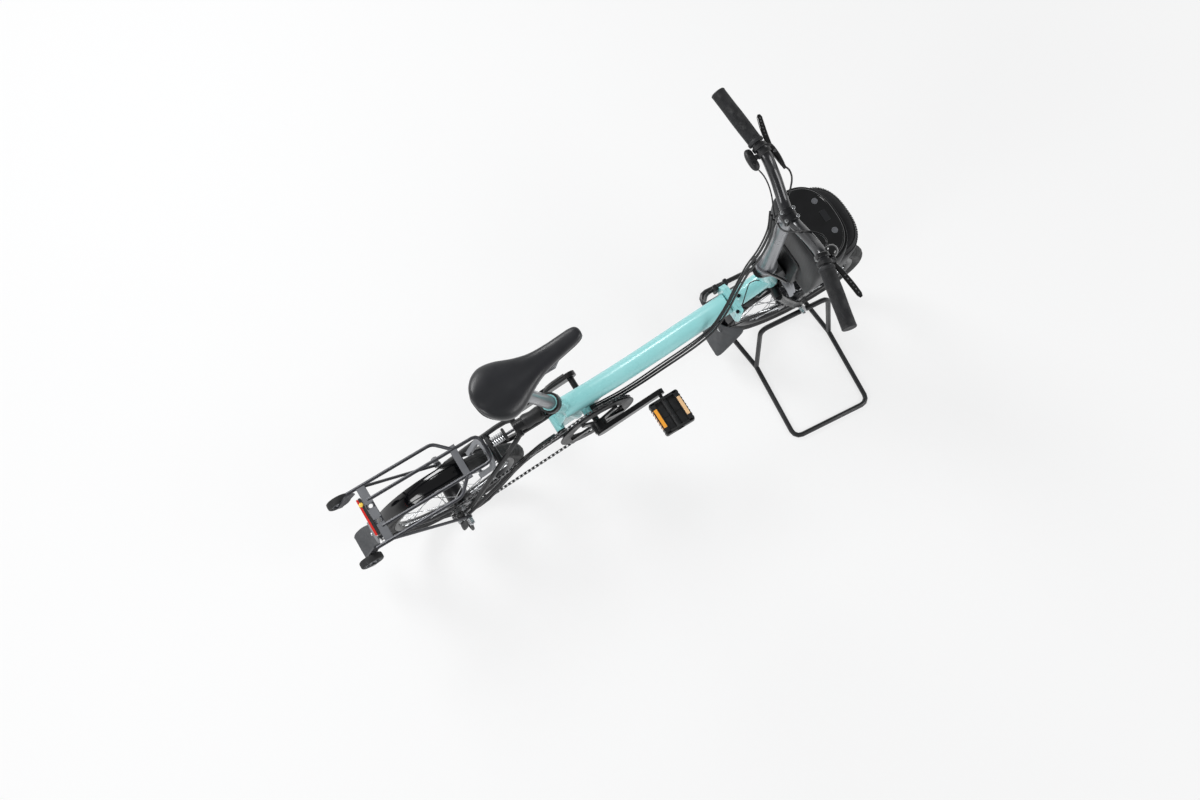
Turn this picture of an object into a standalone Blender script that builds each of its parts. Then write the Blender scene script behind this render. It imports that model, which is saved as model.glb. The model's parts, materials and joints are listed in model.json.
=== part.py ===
"""Electric folding bicycle standing in a display stand.

Units are metres, +X is forwards, +Y is the rider's left and +Z is up. The bicycle is drawn round its
own centre plane, with X measured from the middle of the wheelbase, and one empty then carries it all,
so that the world origin is the middle of the assembly's footprint on the floor.
"""
import math

import bmesh
import bpy
from mathutils import Matrix, Vector

# Overall sizes
WHEELBASE = 1.045
WHEEL_RADIUS = 0.210
HEAD_TILT = math.radians(18.0)
FORK_OFFSET = 0.030
SEAT_TILT = math.radians(15.0)
STEER_ANGLE = math.radians(-5.3)
CRANK_ANGLE = math.radians(14.3)
FOOTPRINT_X = 0.0325
FOOTPRINT_Y = 0.0423
TYRE_DEPTH = 0.0335
RIM_DEPTH = 0.0165
GUARD_CLEARANCE = 0.0065

# Clearances and facets
GAP = 0.0003
RUNNING_GAP = 0.0008
OVERRUN = 0.010
OVERLAP = 0.002
MERGE = 0.00001
ROUND = 12
FINE_ROUND = 16
WHEEL_FACETS = 36

TYRE_BEAD_RADIUS = WHEEL_RADIUS - TYRE_DEPTH
GUARD_INNER_RADIUS = WHEEL_RADIUS + GUARD_CLEARANCE
REAR_AXLE = Vector((-WHEELBASE / 2, 0, WHEEL_RADIUS))
FRONT_AXLE = Vector((WHEELBASE / 2, 0, WHEEL_RADIUS))
HEAD_AXIS = Vector((-math.sin(HEAD_TILT), 0, math.cos(HEAD_TILT)))
HEAD_POINT = FRONT_AXLE - Vector((FORK_OFFSET / math.cos(HEAD_TILT), 0, 0))
SEAT_AXIS = Vector((-math.sin(SEAT_TILT), 0, math.cos(SEAT_TILT)))
SIDE = Vector((0, 1, 0))
UP = Vector((0, 0, 1))
AHEAD = Vector((1, 0, 0))

for leftover in list(bpy.data.objects):
    bpy.data.objects.remove(leftover, do_unlink=True)

bicycle = bpy.data.collections.new("folding_bicycle")
bpy.context.scene.collection.children.link(bicycle)


def at(x, y, z):
    """A point of the bicycle's own frame."""
    return Vector((x, y, z))


def turned_to(axis, origin, spin=0.0):
    """A placement whose Z runs along axis, turned by spin about it."""
    turn = UP.rotation_difference(Vector(axis).normalized()).to_matrix().to_4x4()
    return Matrix.Translation(origin) @ turn @ Matrix.Rotation(spin, 4, "Z")


def framed(origin, x_axis, y_axis):
    """A placement with its X and Y along two given directions."""
    x_axis = Vector(x_axis).normalized()
    z_axis = x_axis.cross(Vector(y_axis)).normalized()
    y_axis = z_axis.cross(x_axis)
    columns = Matrix((x_axis, y_axis, z_axis)).transposed().to_4x4()
    return Matrix.Translation(origin) @ columns


def add_mesh(name, shape, placement=None):
    """Turn a bmesh into an object of the bicycle's collection."""
    bmesh.ops.remove_doubles(shape, verts=shape.verts, dist=MERGE)
    bmesh.ops.recalc_face_normals(shape, faces=shape.faces)
    mesh = bpy.data.meshes.new(name)
    shape.to_mesh(mesh)
    shape.free()
    item = bpy.data.objects.new(name, mesh)
    bicycle.objects.link(item)
    item.matrix_world = placement or Matrix()
    return item


def bake(item):
    """Replace an object's mesh with what its modifiers make of it."""
    bpy.context.view_layer.update()
    graph = bpy.context.evaluated_depsgraph_get()
    mesh = bpy.data.meshes.new_from_object(item.evaluated_get(graph), depsgraph=graph)
    item.modifiers.clear()
    shape = bmesh.new()
    shape.from_mesh(mesh)
    bmesh.ops.remove_doubles(shape, verts=shape.verts, dist=MERGE)
    bmesh.ops.recalc_face_normals(shape, faces=shape.faces)
    shape.to_mesh(mesh)
    shape.free()
    item.data = mesh
    return item


def cylinder(name, radius, start, end, sides=ROUND, end_radius=None):
    """A cylinder or cone from one point to another."""
    start, end = Vector(start), Vector(end)
    shape = bmesh.new()
    last = radius if end_radius is None else end_radius
    depth = (end - start).length
    bmesh.ops.create_cone(shape, cap_ends=True, segments=sides, radius1=radius, radius2=last, depth=depth)
    return add_mesh(name, shape, turned_to(end - start, (start + end) / 2))


def box(name, size, centre, placement=None, bevel=0.0):
    """A box of the given size, its edges bevelled where asked."""
    shape = bmesh.new()
    bmesh.ops.create_cube(shape, size=1.0, matrix=Matrix.Diagonal((*size, 1.0)))
    if bevel:
        bmesh.ops.bevel(shape, geom=shape.edges[:], offset=bevel, segments=1, affect="EDGES")
    return add_mesh(name, shape, Matrix.Translation(centre) @ (placement or Matrix()))


def lathe(name, profile, placement, steps=FINE_ROUND, angle=2 * math.pi, wall=0.0):
    """Turn a profile of (radius, height) points about the placement's Z."""
    mesh = bpy.data.meshes.new(name)
    points = [(radius, 0, height) for radius, height in profile]
    mesh.from_pydata(points, [(i, i + 1) for i in range(len(points) - 1)], [])
    item = bpy.data.objects.new(name, mesh)
    bicycle.objects.link(item)
    item.matrix_world = placement
    screw = item.modifiers.new("turn", "SCREW")
    screw.angle = angle
    screw.steps = screw.render_steps = steps
    screw.use_merge_vertices = True
    screw.merge_threshold = MERGE
    if wall:
        skin = item.modifiers.new("wall", "SOLIDIFY")
        skin.thickness = wall
        skin.offset = 0.0
    return bake(item)


def tube(name, points, radius, resolution=2, closed=False):
    """A round rod along a list of points."""
    curve = bpy.data.curves.new(name, "CURVE")
    curve.dimensions = "3D"
    curve.bevel_depth = radius
    curve.bevel_resolution = resolution
    curve.use_fill_caps = True
    spline = curve.splines.new("POLY")
    spline.points.add(len(points) - 1)
    for slot, point in zip(spline.points, points):
        slot.co = (*point, 1.0)
    spline.use_cyclic_u = closed
    guide = bpy.data.objects.new(name + "_path", curve)
    bicycle.objects.link(guide)
    bpy.context.view_layer.update()
    graph = bpy.context.evaluated_depsgraph_get()
    mesh = bpy.data.meshes.new_from_object(guide.evaluated_get(graph), depsgraph=graph)
    bpy.data.objects.remove(guide, do_unlink=True)
    shape = bmesh.new()
    shape.from_mesh(mesh)
    return add_mesh(name, shape)


def plate(name, outline, thickness, placement, holes=()):
    """A flat plate, its outline in the placement's XY and its middle at Z = 0."""
    curve = bpy.data.curves.new(name, "CURVE")
    curve.dimensions = "2D"
    curve.fill_mode = "BOTH"
    curve.extrude = thickness / 2
    for loop in (outline, *holes):
        spline = curve.splines.new("POLY")
        spline.points.add(len(loop) - 1)
        for slot, point in zip(spline.points, loop):
            slot.co = (point[0], point[1], 0, 1)
        spline.use_cyclic_u = True
    guide = bpy.data.objects.new(name + "_outline", curve)
    bicycle.objects.link(guide)
    bpy.context.view_layer.update()
    graph = bpy.context.evaluated_depsgraph_get()
    mesh = bpy.data.meshes.new_from_object(guide.evaluated_get(graph), depsgraph=graph)
    bpy.data.objects.remove(guide, do_unlink=True)
    shape = bmesh.new()
    shape.from_mesh(mesh)
    return add_mesh(name, shape, placement)


def loft(name, sections, placement=None, closed=False):
    """Skin a row of equal rings, with flat ends unless the row closes on itself."""
    shape = bmesh.new()
    rings = [[shape.verts.new(point) for point in ring] for ring in sections]
    count = len(rings[0])
    pairs = list(zip(rings, rings[1:]))
    if closed:
        pairs.append((rings[-1], rings[0]))
    for ring, following in pairs:
        for i in range(count):
            j = (i + 1) % count
            shape.faces.new((ring[i], ring[j], following[j], following[i]))
    if not closed:
        shape.faces.new(rings[0])
        shape.faces.new(rings[-1])
    return add_mesh(name, shape, placement)


def circle(radius, sides, centre=(0.0, 0.0), start=0.0):
    """Points round a circle in a plane."""
    turn = 2 * math.pi / sides
    return [
        (centre[0] + radius * math.cos(start + i * turn), centre[1] + radius * math.sin(start + i * turn))
        for i in range(sides)
    ]


def rounded(corners, radius, steps=3, closed=False):
    """Replace the corners of a path with arcs of one radius."""
    corners = [Vector(corner) for corner in corners]
    count = len(corners)
    path = []
    for i, corner in enumerate(corners):
        if not closed and i in (0, count - 1):
            path.append(corner)
            continue
        before = (corners[i - 1] - corner).normalized()
        after = (corners[(i + 1) % count] - corner).normalized()
        half = before.angle(after) / 2
        reach = radius / math.tan(half)
        middle = corner + (before + after).normalized() * (radius / math.sin(half))
        first = corner + before * reach - middle
        last = corner + after * reach - middle
        sweep = first.angle(last)
        for k in range(steps + 1):
            share = k / steps
            point = first * math.sin((1 - share) * sweep) + last * math.sin(share * sweep)
            path.append(middle + point / math.sin(sweep))
    return path


def smooth(points, per_span=4, closed=False):
    """Read a smooth curve that passes through every given point."""
    points = [Vector(point) for point in points]
    count = len(points)
    spans = count if closed else count - 1
    path = []
    for i in range(spans):
        if closed:
            a, b, c, d = (points[(i + k) % count] for k in (-1, 0, 1, 2))
        else:
            a, b = points[max(i - 1, 0)], points[i]
            c, d = points[i + 1], points[min(i + 2, count - 1)]
        for k in range(per_span):
            t = k / per_span
            path.append(
                (b * 2 + (c - a) * t + (a * 2 - b * 5 + c * 4 - d) * t**2 + (b * 3 - a - c * 3 + d) * t**3) / 2
            )
    if not closed:
        path.append(points[-1])
    return path


def joined(target, other, operation):
    """Apply one Boolean to the target and clear its operand away."""
    modifier = target.modifiers.new("shape", "BOOLEAN")
    modifier.operation = operation
    modifier.solver = "EXACT"
    modifier.object = other
    bake(target)
    bpy.data.objects.remove(other, do_unlink=True)


def combine(target, *others):
    """Fuse other solids into the target."""
    for other in others:
        joined(target, other, "UNION")
    return target


def carve(target, *cutters):
    """Cut other solids out of the target."""
    for cutter in cutters:
        joined(target, cutter, "DIFFERENCE")
    return target


FINISHES = {
    "turquoise_paint": ((0.42, 0.78, 0.76), 0.28, 0.0),
    "black_paint": ((0.022, 0.023, 0.026), 0.35, 0.0),
    "graphite_paint": ((0.16, 0.165, 0.17), 0.38, 0.3),
    "black_plastic": ((0.028, 0.028, 0.030), 0.5, 0.0),
    "gloss_plastic": ((0.010, 0.011, 0.014), 0.08, 0.0),
    "grip_rubber": ((0.050, 0.050, 0.052), 0.75, 0.0),
    "flap_rubber": ((0.080, 0.080, 0.084), 0.75, 0.0),
    "tyre_rubber": ((0.035, 0.035, 0.037), 0.85, 0.0),
    "bag_fabric": ((0.022, 0.022, 0.025), 0.85, 0.0),
    "saddle_cover": ((0.045, 0.045, 0.048), 0.55, 0.0),
    "bright_alloy": ((0.62, 0.63, 0.65), 0.25, 1.0),
    "chain_steel": ((0.20, 0.20, 0.21), 0.35, 1.0),
    "red_lens": ((0.75, 0.035, 0.025), 0.2, 0.0),
    "amber_lens": ((0.95, 0.42, 0.03), 0.25, 0.0),
}


def finish(item, name, angle=35.0):
    """Give an object its own material and smooth its round faces."""
    colour, roughness, metallic = FINISHES[name]
    material = bpy.data.materials.new(item.name + "_" + name)
    material.use_nodes = True
    shader = material.node_tree.nodes["Principled BSDF"]
    shader.inputs["Base Color"].default_value = (*colour, 1.0)
    shader.inputs["Roughness"].default_value = roughness
    shader.inputs["Metallic"].default_value = metallic
    item.data.materials.clear()
    item.data.materials.append(material)
    item.data.shade_smooth()
    item.data.set_sharp_from_angle(angle=math.radians(angle))
    return item


def joint_empty(name, placement, parent=None):
    """An empty on a joint's axis, which carries a moving body."""
    empty = bpy.data.objects.new(name, None)
    empty.empty_display_size = GAP
    bicycle.objects.link(empty)
    if parent:
        empty.parent = parent
        empty.matrix_parent_inverse = parent.matrix_world.inverted()
    empty.matrix_world = placement
    bpy.context.view_layer.update()
    return empty


def carry(empty, *items):
    """Parent pieces to their body's empty where they stand."""
    for item in items:
        item.parent = empty
        item.matrix_parent_inverse = empty.matrix_world.inverted()


# Wheels: a tyre on a box-section rim, spokes laced to the flanges of a hub
TYRE_HALF_WIDTH = 0.0178
RIM_OUTER_RADIUS = TYRE_BEAD_RADIUS - GAP * 3
RIM_INNER_RADIUS = RIM_OUTER_RADIUS - RIM_DEPTH
RIM_HALF_WIDTH = 0.0125
RIM_NOSE_HALF_WIDTH = 0.0060
SPOKE_RADIUS = 0.0011
SPOKE_PAIRS = 5
SPOKE_CROSSING = math.radians(40.0)
SPOKE_STAGGER = 0.0019
AXLE_RADIUS = 0.0045


def tyre(name, centre):
    """A tyre: crown, shoulders, side walls and beads, open towards the rim."""
    shares = ((0.0, 0.62), (0.25, 0.94), (0.60, 1.0), (0.90, 0.62), (1.0, 0.20))
    depth = WHEEL_RADIUS - TYRE_BEAD_RADIUS
    half = [(TYRE_BEAD_RADIUS + depth * a, TYRE_HALF_WIDTH * b) for a, b in shares]
    loop = half + [(radius, -height) for radius, height in reversed(half)]
    loop.append(loop[0])
    return lathe(name, loop, turned_to(SIDE, centre), WHEEL_FACETS)


def rim(name, centre):
    """A box-section rim with flat braking sides and a pointed inner nose."""
    half = (
        (RIM_OUTER_RADIUS - OVERLAP, 0.0),
        (RIM_OUTER_RADIUS, RIM_HALF_WIDTH * 0.85),
        (RIM_OUTER_RADIUS - OVERLAP, RIM_HALF_WIDTH),
        (RIM_INNER_RADIUS + OVERLAP * 2, RIM_HALF_WIDTH),
        (RIM_INNER_RADIUS, RIM_NOSE_HALF_WIDTH),
    )
    loop = list(half) + [(radius, -height) for radius, height in reversed(half[1:])]
    loop.append(loop[0])
    return lathe(name, loop, turned_to(SIDE, centre), WHEEL_FACETS)


def spokes(name, centre, flange_radius, flange_half_width):
    """Spokes in crossing pairs from both flanges to the rim's nose."""
    reach = RIM_INNER_RADIUS * math.cos(math.pi / WHEEL_FACETS) - GAP
    rods = []
    for side in (1, -1):
        for i in range(SPOKE_PAIRS):
            middle = 2 * math.pi * (i + (0.5 if side > 0 else 0.0)) / SPOKE_PAIRS
            for lean in (1, -1):
                inner = middle + lean * SPOKE_CROSSING
                outer = middle + lean * math.pi / SPOKE_PAIRS / 4
                flange_y = side * flange_half_width + lean * SPOKE_STAGGER
                start = centre + at(flange_radius * math.cos(inner), flange_y, flange_radius * math.sin(inner))
                nipple_y = side * SPOKE_RADIUS * 2.2 + lean * SPOKE_STAGGER / 2
                end = centre + at(reach * math.cos(outer), nipple_y, reach * math.sin(outer))
                rods.append(cylinder(name, SPOKE_RADIUS, start, end, 4))
    return rods


# Front hub motor
BLADE_SPACING = 0.0462
BLADE_RADIUS = 0.0095
MOTOR_RADIUS = 0.0550
MOTOR_CLEARANCE = 0.0067
MOTOR_HALF_WIDTH = BLADE_SPACING - BLADE_RADIUS - MOTOR_CLEARANCE
HUB_SHOULDER = 0.0045
HUB_BEARING_RADIUS = 0.0160
HUB_END_CLEARANCE = 0.0022
HUB_HALF_LENGTH = BLADE_SPACING - BLADE_RADIUS - HUB_END_CLEARANCE


def front_hub():
    """The hub motor's case: two domed covers, a rim flange on each and the bearing necks."""
    half = (
        (AXLE_RADIUS + RUNNING_GAP, HUB_HALF_LENGTH),
        (HUB_BEARING_RADIUS, HUB_HALF_LENGTH),
        (HUB_BEARING_RADIUS, MOTOR_HALF_WIDTH),
        (MOTOR_RADIUS - 2 * HUB_SHOULDER, MOTOR_HALF_WIDTH),
        (MOTOR_RADIUS - HUB_SHOULDER, MOTOR_HALF_WIDTH - HUB_SHOULDER / 2),
        (MOTOR_RADIUS, MOTOR_HALF_WIDTH - HUB_SHOULDER),
        (MOTOR_RADIUS, MOTOR_HALF_WIDTH - 2 * HUB_SHOULDER),
        (MOTOR_RADIUS - HUB_SHOULDER, MOTOR_HALF_WIDTH - 2.5 * HUB_SHOULDER),
    )
    loop = list(half) + [(radius, -height) for radius, height in reversed(half)]
    loop.append(loop[0])
    case = lathe("front_hub", loop, turned_to(SIDE, FRONT_AXLE), FINE_ROUND)
    rods = spokes("front_spokes", FRONT_AXLE, MOTOR_RADIUS - HUB_SHOULDER, MOTOR_HALF_WIDTH - 1.5 * HUB_SHOULDER)
    return finish(combine(case, *rods), "black_plastic")


# Rear hub with gears inside and its sprocket
REAR_HUB_RADIUS = 0.0260
REAR_FLANGE_RADIUS = 0.0380
REAR_FLANGE_HALF_SPACE = 0.0300
REAR_HUB_HALF_LENGTH = 0.0550
FLANGE_THICKNESS = 0.0040
CHAIN_LINE = -0.0480
SPROCKET_TEETH = 13
CHAIN_PITCH = 0.0127
CHAIN_HALF_HEIGHT = 0.0042
CHAIN_HALF_WIDTH = 0.0034
SPROCKET_THICKNESS = 0.0022


def pitch_radius(teeth):
    """The radius at which a chain's pins lie on a sprocket."""
    return CHAIN_PITCH / (2 * math.sin(math.pi / teeth))


def toothed(name, teeth, centre, thickness, bore):
    """A sprocket: a disc with short pointed teeth inside the chain, and a bore."""
    root = pitch_radius(teeth) - CHAIN_HALF_HEIGHT - RUNNING_GAP
    tip = root + RUNNING_GAP * 0.5
    low = root - CHAIN_HALF_HEIGHT * 0.45
    outline = []
    for i in range(teeth):
        middle = 2 * math.pi * i / teeth
        for radius, lean in ((low, -0.36), (tip, 0.0), (low, 0.36)):
            angle = middle + lean * 2 * math.pi / teeth
            outline.append((radius * math.cos(angle), radius * math.sin(angle)))
    placement = framed(centre, AHEAD, UP)
    holes = [circle(bore, ROUND)] if bore else []
    return plate(name, outline, thickness, placement, holes)


def rear_hub():
    """The geared hub shell with two spoke flanges, and the sprocket on its right end."""
    bore = AXLE_RADIUS + RUNNING_GAP
    neck = REAR_HUB_RADIUS * 0.55
    half = (
        (bore, REAR_HUB_HALF_LENGTH),
        (neck, REAR_HUB_HALF_LENGTH),
        (neck, REAR_FLANGE_HALF_SPACE + FLANGE_THICKNESS * 1.5),
        (REAR_HUB_RADIUS, REAR_FLANGE_HALF_SPACE + FLANGE_THICKNESS),
        (REAR_FLANGE_RADIUS, REAR_FLANGE_HALF_SPACE + FLANGE_THICKNESS / 2),
        (REAR_FLANGE_RADIUS, REAR_FLANGE_HALF_SPACE - FLANGE_THICKNESS / 2),
        (REAR_HUB_RADIUS, REAR_FLANGE_HALF_SPACE - FLANGE_THICKNESS / 2),
    )
    loop = list(half) + [(radius, -height) for radius, height in reversed(half)]
    loop.append(loop[0])
    shell = lathe("rear_hub", loop, turned_to(SIDE, REAR_AXLE), FINE_ROUND)
    rods = spokes("rear_spokes", REAR_AXLE, REAR_FLANGE_RADIUS - FLANGE_THICKNESS, REAR_FLANGE_HALF_SPACE)
    sprocket = toothed(
        "sprocket", SPROCKET_TEETH, REAR_AXLE + SIDE * CHAIN_LINE, SPROCKET_THICKNESS, neck - OVERLAP
    )
    return finish(combine(shell, sprocket, *rods), "black_plastic")


# Main frame: one wide curved tube, seat tube, bottom bracket and rear-fold pivot
MAIN_TUBE_RADIUS = 0.0270
MAIN_TUBE_SHARES = ((0.0, 0.0), (0.186, 0.0), (0.397, 0.157), (0.608, 0.443), (0.819, 0.771), (1.0, 1.0))
MAIN_TUBE_ABOVE_BRACKET = 0.0920
MAIN_TUBE_AHEAD_OF_SEAT = 0.0290
SEAT_TUBE_RADIUS = 0.0195
POST_RADIUS = 0.0159
SEAT_TUBE_LENGTH = 0.262
SEAT_TUBE_ABOVE_RING = 0.006
PIVOT_BEHIND_BRACKET = 0.0870
PIVOT_BELOW_BRACKET = 0.0320
PIVOT_AHEAD_OF_TYRE = 0.1055
PIVOT_ABOVE_AXLE = 0.0580
BRACKET_RADIUS = 0.0205
BRACKET_HALF_WIDTH = 0.0340
CRANK_AXLE_RADIUS = 0.0085
PIVOT_CENTRE = REAR_AXLE + at(WHEEL_RADIUS + PIVOT_AHEAD_OF_TYRE, 0, PIVOT_ABOVE_AXLE)
BRACKET_CENTRE = PIVOT_CENTRE + at(PIVOT_BEHIND_BRACKET, 0, PIVOT_BELOW_BRACKET)
PIVOT_TUBE_RADIUS = 0.0125
PIVOT_TUBE_HALF_WIDTH = 0.0215
PIVOT_PIN_RADIUS = 0.0050
GUSSET_THICKNESS = 0.0300
BUMPER_ABOVE_GUARD = 0.0535
BUMPER_RADIUS = 0.0190
BUMPER_LENGTH = 0.0510
BUMPER_BEHIND_SEAT = 0.0245
SEAT_RING_ABOVE_BUMPER = 0.0400
SEAT_RING_BEHIND_PIVOT = 0.0100
BUMPER_HEIGHT = REAR_AXLE.z + GUARD_INNER_RADIUS + BUMPER_ABOVE_GUARD
SEAT_RING_POINT = at(PIVOT_CENTRE.x - SEAT_RING_BEHIND_PIVOT, 0, BUMPER_HEIGHT + SEAT_RING_ABOVE_BUMPER)
BUMPER_FRONT_X = SEAT_RING_POINT.x - BUMPER_BEHIND_SEAT
BUMPER_REAR_X = BUMPER_FRONT_X - BUMPER_LENGTH

# Head tube
CROWN_ABOVE_GUARD = 0.0085
HEAD_TUBE_ABOVE_CROWN = 0.0200
CROWN_DISTANCE = GUARD_INNER_RADIUS + CROWN_ABOVE_GUARD
HEAD_TUBE_START = CROWN_DISTANCE + HEAD_TUBE_ABOVE_CROWN
HEAD_TUBE_LENGTH = 0.1450
HEAD_TUBE_RADIUS = 0.0205
STEERER_RADIUS = 0.0140
FRONT_TUBE_RADIUS = 0.0235
FRONT_TUBE_JOIN_SHARE = 0.34


def head(distance, ahead=0.0, side=0.0):
    """A point along the steering axis, measured from the height of the front axle."""
    across = Vector((math.cos(HEAD_TILT), 0, math.sin(HEAD_TILT)))
    return HEAD_POINT + HEAD_AXIS * distance + across * ahead + SIDE * side


FRONT_TUBE_JOIN = head(HEAD_TUBE_START + HEAD_TUBE_LENGTH * FRONT_TUBE_JOIN_SHARE)

# Main hinge: a pin on the right, plates closed by a clamp on the left
HINGE_BEHIND_HEAD = 0.1040
HINGE_BELOW_JOIN = 0.0269
HINGE_X = FRONT_TUBE_JOIN.x - HINGE_BEHIND_HEAD
HINGE_Z = FRONT_TUBE_JOIN.z - HINGE_BELOW_JOIN
HINGE_PIN_Y = -0.0400
HINGE_PLATE_HALF_WIDTH = 0.0400
HINGE_PLATE_HALF_HEIGHT = 0.0330
HINGE_PLATE_THICKNESS = 0.0085
HINGE_KNUCKLE_RADIUS = 0.0085
HINGE_PIN_RADIUS = 0.0040
HINGE_KNUCKLE_HALF_HEIGHT = 0.0125


def hinge_plate(name, near_face_x, direction):
    """One hinge plate across the tube, its left end rounded for the clamp."""
    width, height = HINGE_PLATE_HALF_WIDTH, HINGE_PLATE_HALF_HEIGHT
    corner = height * 0.45
    outline = [
        (HINGE_PIN_Y + OVERLAP, -height), (width - corner, -height), (width, -height + corner),
        (width, height - corner), (width - corner, height), (HINGE_PIN_Y + OVERLAP, height),
    ]
    middle = near_face_x + direction * HINGE_PLATE_THICKNESS / 2
    return plate(name, outline, HINGE_PLATE_THICKNESS, framed(at(middle, 0, HINGE_Z), SIDE, UP))


def knuckle(name, low, high):
    """A hinge knuckle round the pin between two heights."""
    return cylinder(
        name, HINGE_KNUCKLE_RADIUS, at(HINGE_X, HINGE_PIN_Y, low), at(HINGE_X, HINGE_PIN_Y, high), ROUND
    )


def hinge_bore():
    """The pin's running hole through the front knuckle."""
    radius = HINGE_PIN_RADIUS + RUNNING_GAP
    low = at(HINGE_X, HINGE_PIN_Y, HINGE_Z - HINGE_PLATE_HALF_HEIGHT - OVERRUN)
    high = at(HINGE_X, HINGE_PIN_Y, HINGE_Z + HINGE_PLATE_HALF_HEIGHT + OVERRUN)
    return cylinder("hinge_bore", radius, low, high, ROUND)


def main_tube_point(along, rise):
    """A point of the main tube's middle line: its share of the length and of the rise."""
    start = at(SEAT_RING_POINT.x + MAIN_TUBE_AHEAD_OF_SEAT, 0, BRACKET_CENTRE.z + MAIN_TUBE_ABOVE_BRACKET)
    end = at(HINGE_X - HINGE_PLATE_THICKNESS, 0, HINGE_Z)
    return at(start.x + (end.x - start.x) * along, 0, start.z + (end.z - start.z) * rise)


def main_frame():
    """The painted rear half of the frame, from the hinge plate to the rear-fold pivot."""
    route = [main_tube_point(*shares) for shares in MAIN_TUBE_SHARES]
    frame = tube("main_frame", smooth(route, 2), MAIN_TUBE_RADIUS, 4)
    top = SEAT_RING_POINT + SEAT_AXIS * SEAT_TUBE_ABOVE_RING
    bottom = top - SEAT_AXIS * SEAT_TUBE_LENGTH
    seat_tube = cylinder("seat_tube", SEAT_TUBE_RADIUS, bottom, top, FINE_ROUND)
    shell = cylinder(
        "bracket_shell", BRACKET_RADIUS, BRACKET_CENTRE - SIDE * BRACKET_HALF_WIDTH,
        BRACKET_CENTRE + SIDE * BRACKET_HALF_WIDTH, FINE_ROUND,
    )
    gusset_outline = [
        (BRACKET_CENTRE.x + BRACKET_RADIUS * 0.9, BRACKET_CENTRE.z),
        (BRACKET_CENTRE.x + BRACKET_RADIUS * 3.2, route[0].z - MAIN_TUBE_RADIUS * 0.25),
        (bottom.x - SEAT_TUBE_RADIUS, route[0].z + MAIN_TUBE_RADIUS * 0.3),
        (PIVOT_CENTRE.x, PIVOT_CENTRE.z + PIVOT_TUBE_RADIUS * 0.8),
        (PIVOT_CENTRE.x, PIVOT_CENTRE.z - PIVOT_TUBE_RADIUS * 0.8),
        (BRACKET_CENTRE.x, BRACKET_CENTRE.z - BRACKET_RADIUS * 0.9),
    ]
    gusset = plate("gusset", gusset_outline, GUSSET_THICKNESS, framed(at(0, 0, 0), AHEAD, UP))
    pivot_tube = cylinder(
        "pivot_tube", PIVOT_TUBE_RADIUS, PIVOT_CENTRE - SIDE * PIVOT_TUBE_HALF_WIDTH,
        PIVOT_CENTRE + SIDE * PIVOT_TUBE_HALF_WIDTH, ROUND,
    )
    bumper_seat = cylinder(
        "bumper_seat", BUMPER_RADIUS * 0.75, at(BUMPER_FRONT_X + GAP, 0, BUMPER_HEIGHT),
        at(SEAT_RING_POINT.x + SEAT_TUBE_RADIUS / 2, 0, BUMPER_HEIGHT), ROUND,
    )
    near = HINGE_X - GAP / 2
    hinge = hinge_plate("rear_hinge_plate", near, -1)
    top_z = HINGE_Z + HINGE_PLATE_HALF_HEIGHT
    low_z = HINGE_Z - HINGE_PLATE_HALF_HEIGHT
    upper = knuckle("upper_knuckle", HINGE_Z + HINGE_KNUCKLE_HALF_HEIGHT + GAP, top_z)
    lower = knuckle("lower_knuckle", low_z, HINGE_Z - HINGE_KNUCKLE_HALF_HEIGHT - GAP)
    pin = cylinder(
        "hinge_pin", HINGE_PIN_RADIUS, at(HINGE_X, HINGE_PIN_Y, low_z + OVERLAP), at(HINGE_X, HINGE_PIN_Y, top_z - OVERLAP), 12
    )
    combine(frame, seat_tube, shell, gusset, pivot_tube, bumper_seat, hinge)
    middle_room = cylinder(
        "middle_room", HINGE_KNUCKLE_RADIUS + RUNNING_GAP,
        at(HINGE_X, HINGE_PIN_Y, HINGE_Z - HINGE_KNUCKLE_HALF_HEIGHT - GAP * 2),
        at(HINGE_X, HINGE_PIN_Y, HINGE_Z + HINGE_KNUCKLE_HALF_HEIGHT + GAP * 2), ROUND,
    )
    post_bore = cylinder(
        "post_bore", POST_RADIUS + GAP * 2, bottom - SEAT_AXIS * OVERRUN, top + SEAT_AXIS * OVERRUN, FINE_ROUND
    )
    axle_bore = cylinder(
        "axle_bore", CRANK_AXLE_RADIUS + RUNNING_GAP, BRACKET_CENTRE - SIDE * (BRACKET_HALF_WIDTH + OVERRUN),
        BRACKET_CENTRE + SIDE * (BRACKET_HALF_WIDTH + OVERRUN), ROUND,
    )
    pivot_bore = cylinder(
        "pivot_bore", PIVOT_PIN_RADIUS + RUNNING_GAP, PIVOT_CENTRE - SIDE * (PIVOT_TUBE_HALF_WIDTH + OVERRUN),
        PIVOT_CENTRE + SIDE * (PIVOT_TUBE_HALF_WIDTH + OVERRUN), ROUND,
    )
    carve(frame, middle_room, post_bore, axle_bore, pivot_bore)
    combine(frame, upper, lower, pin)
    return finish(frame, "turquoise_paint")


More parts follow.
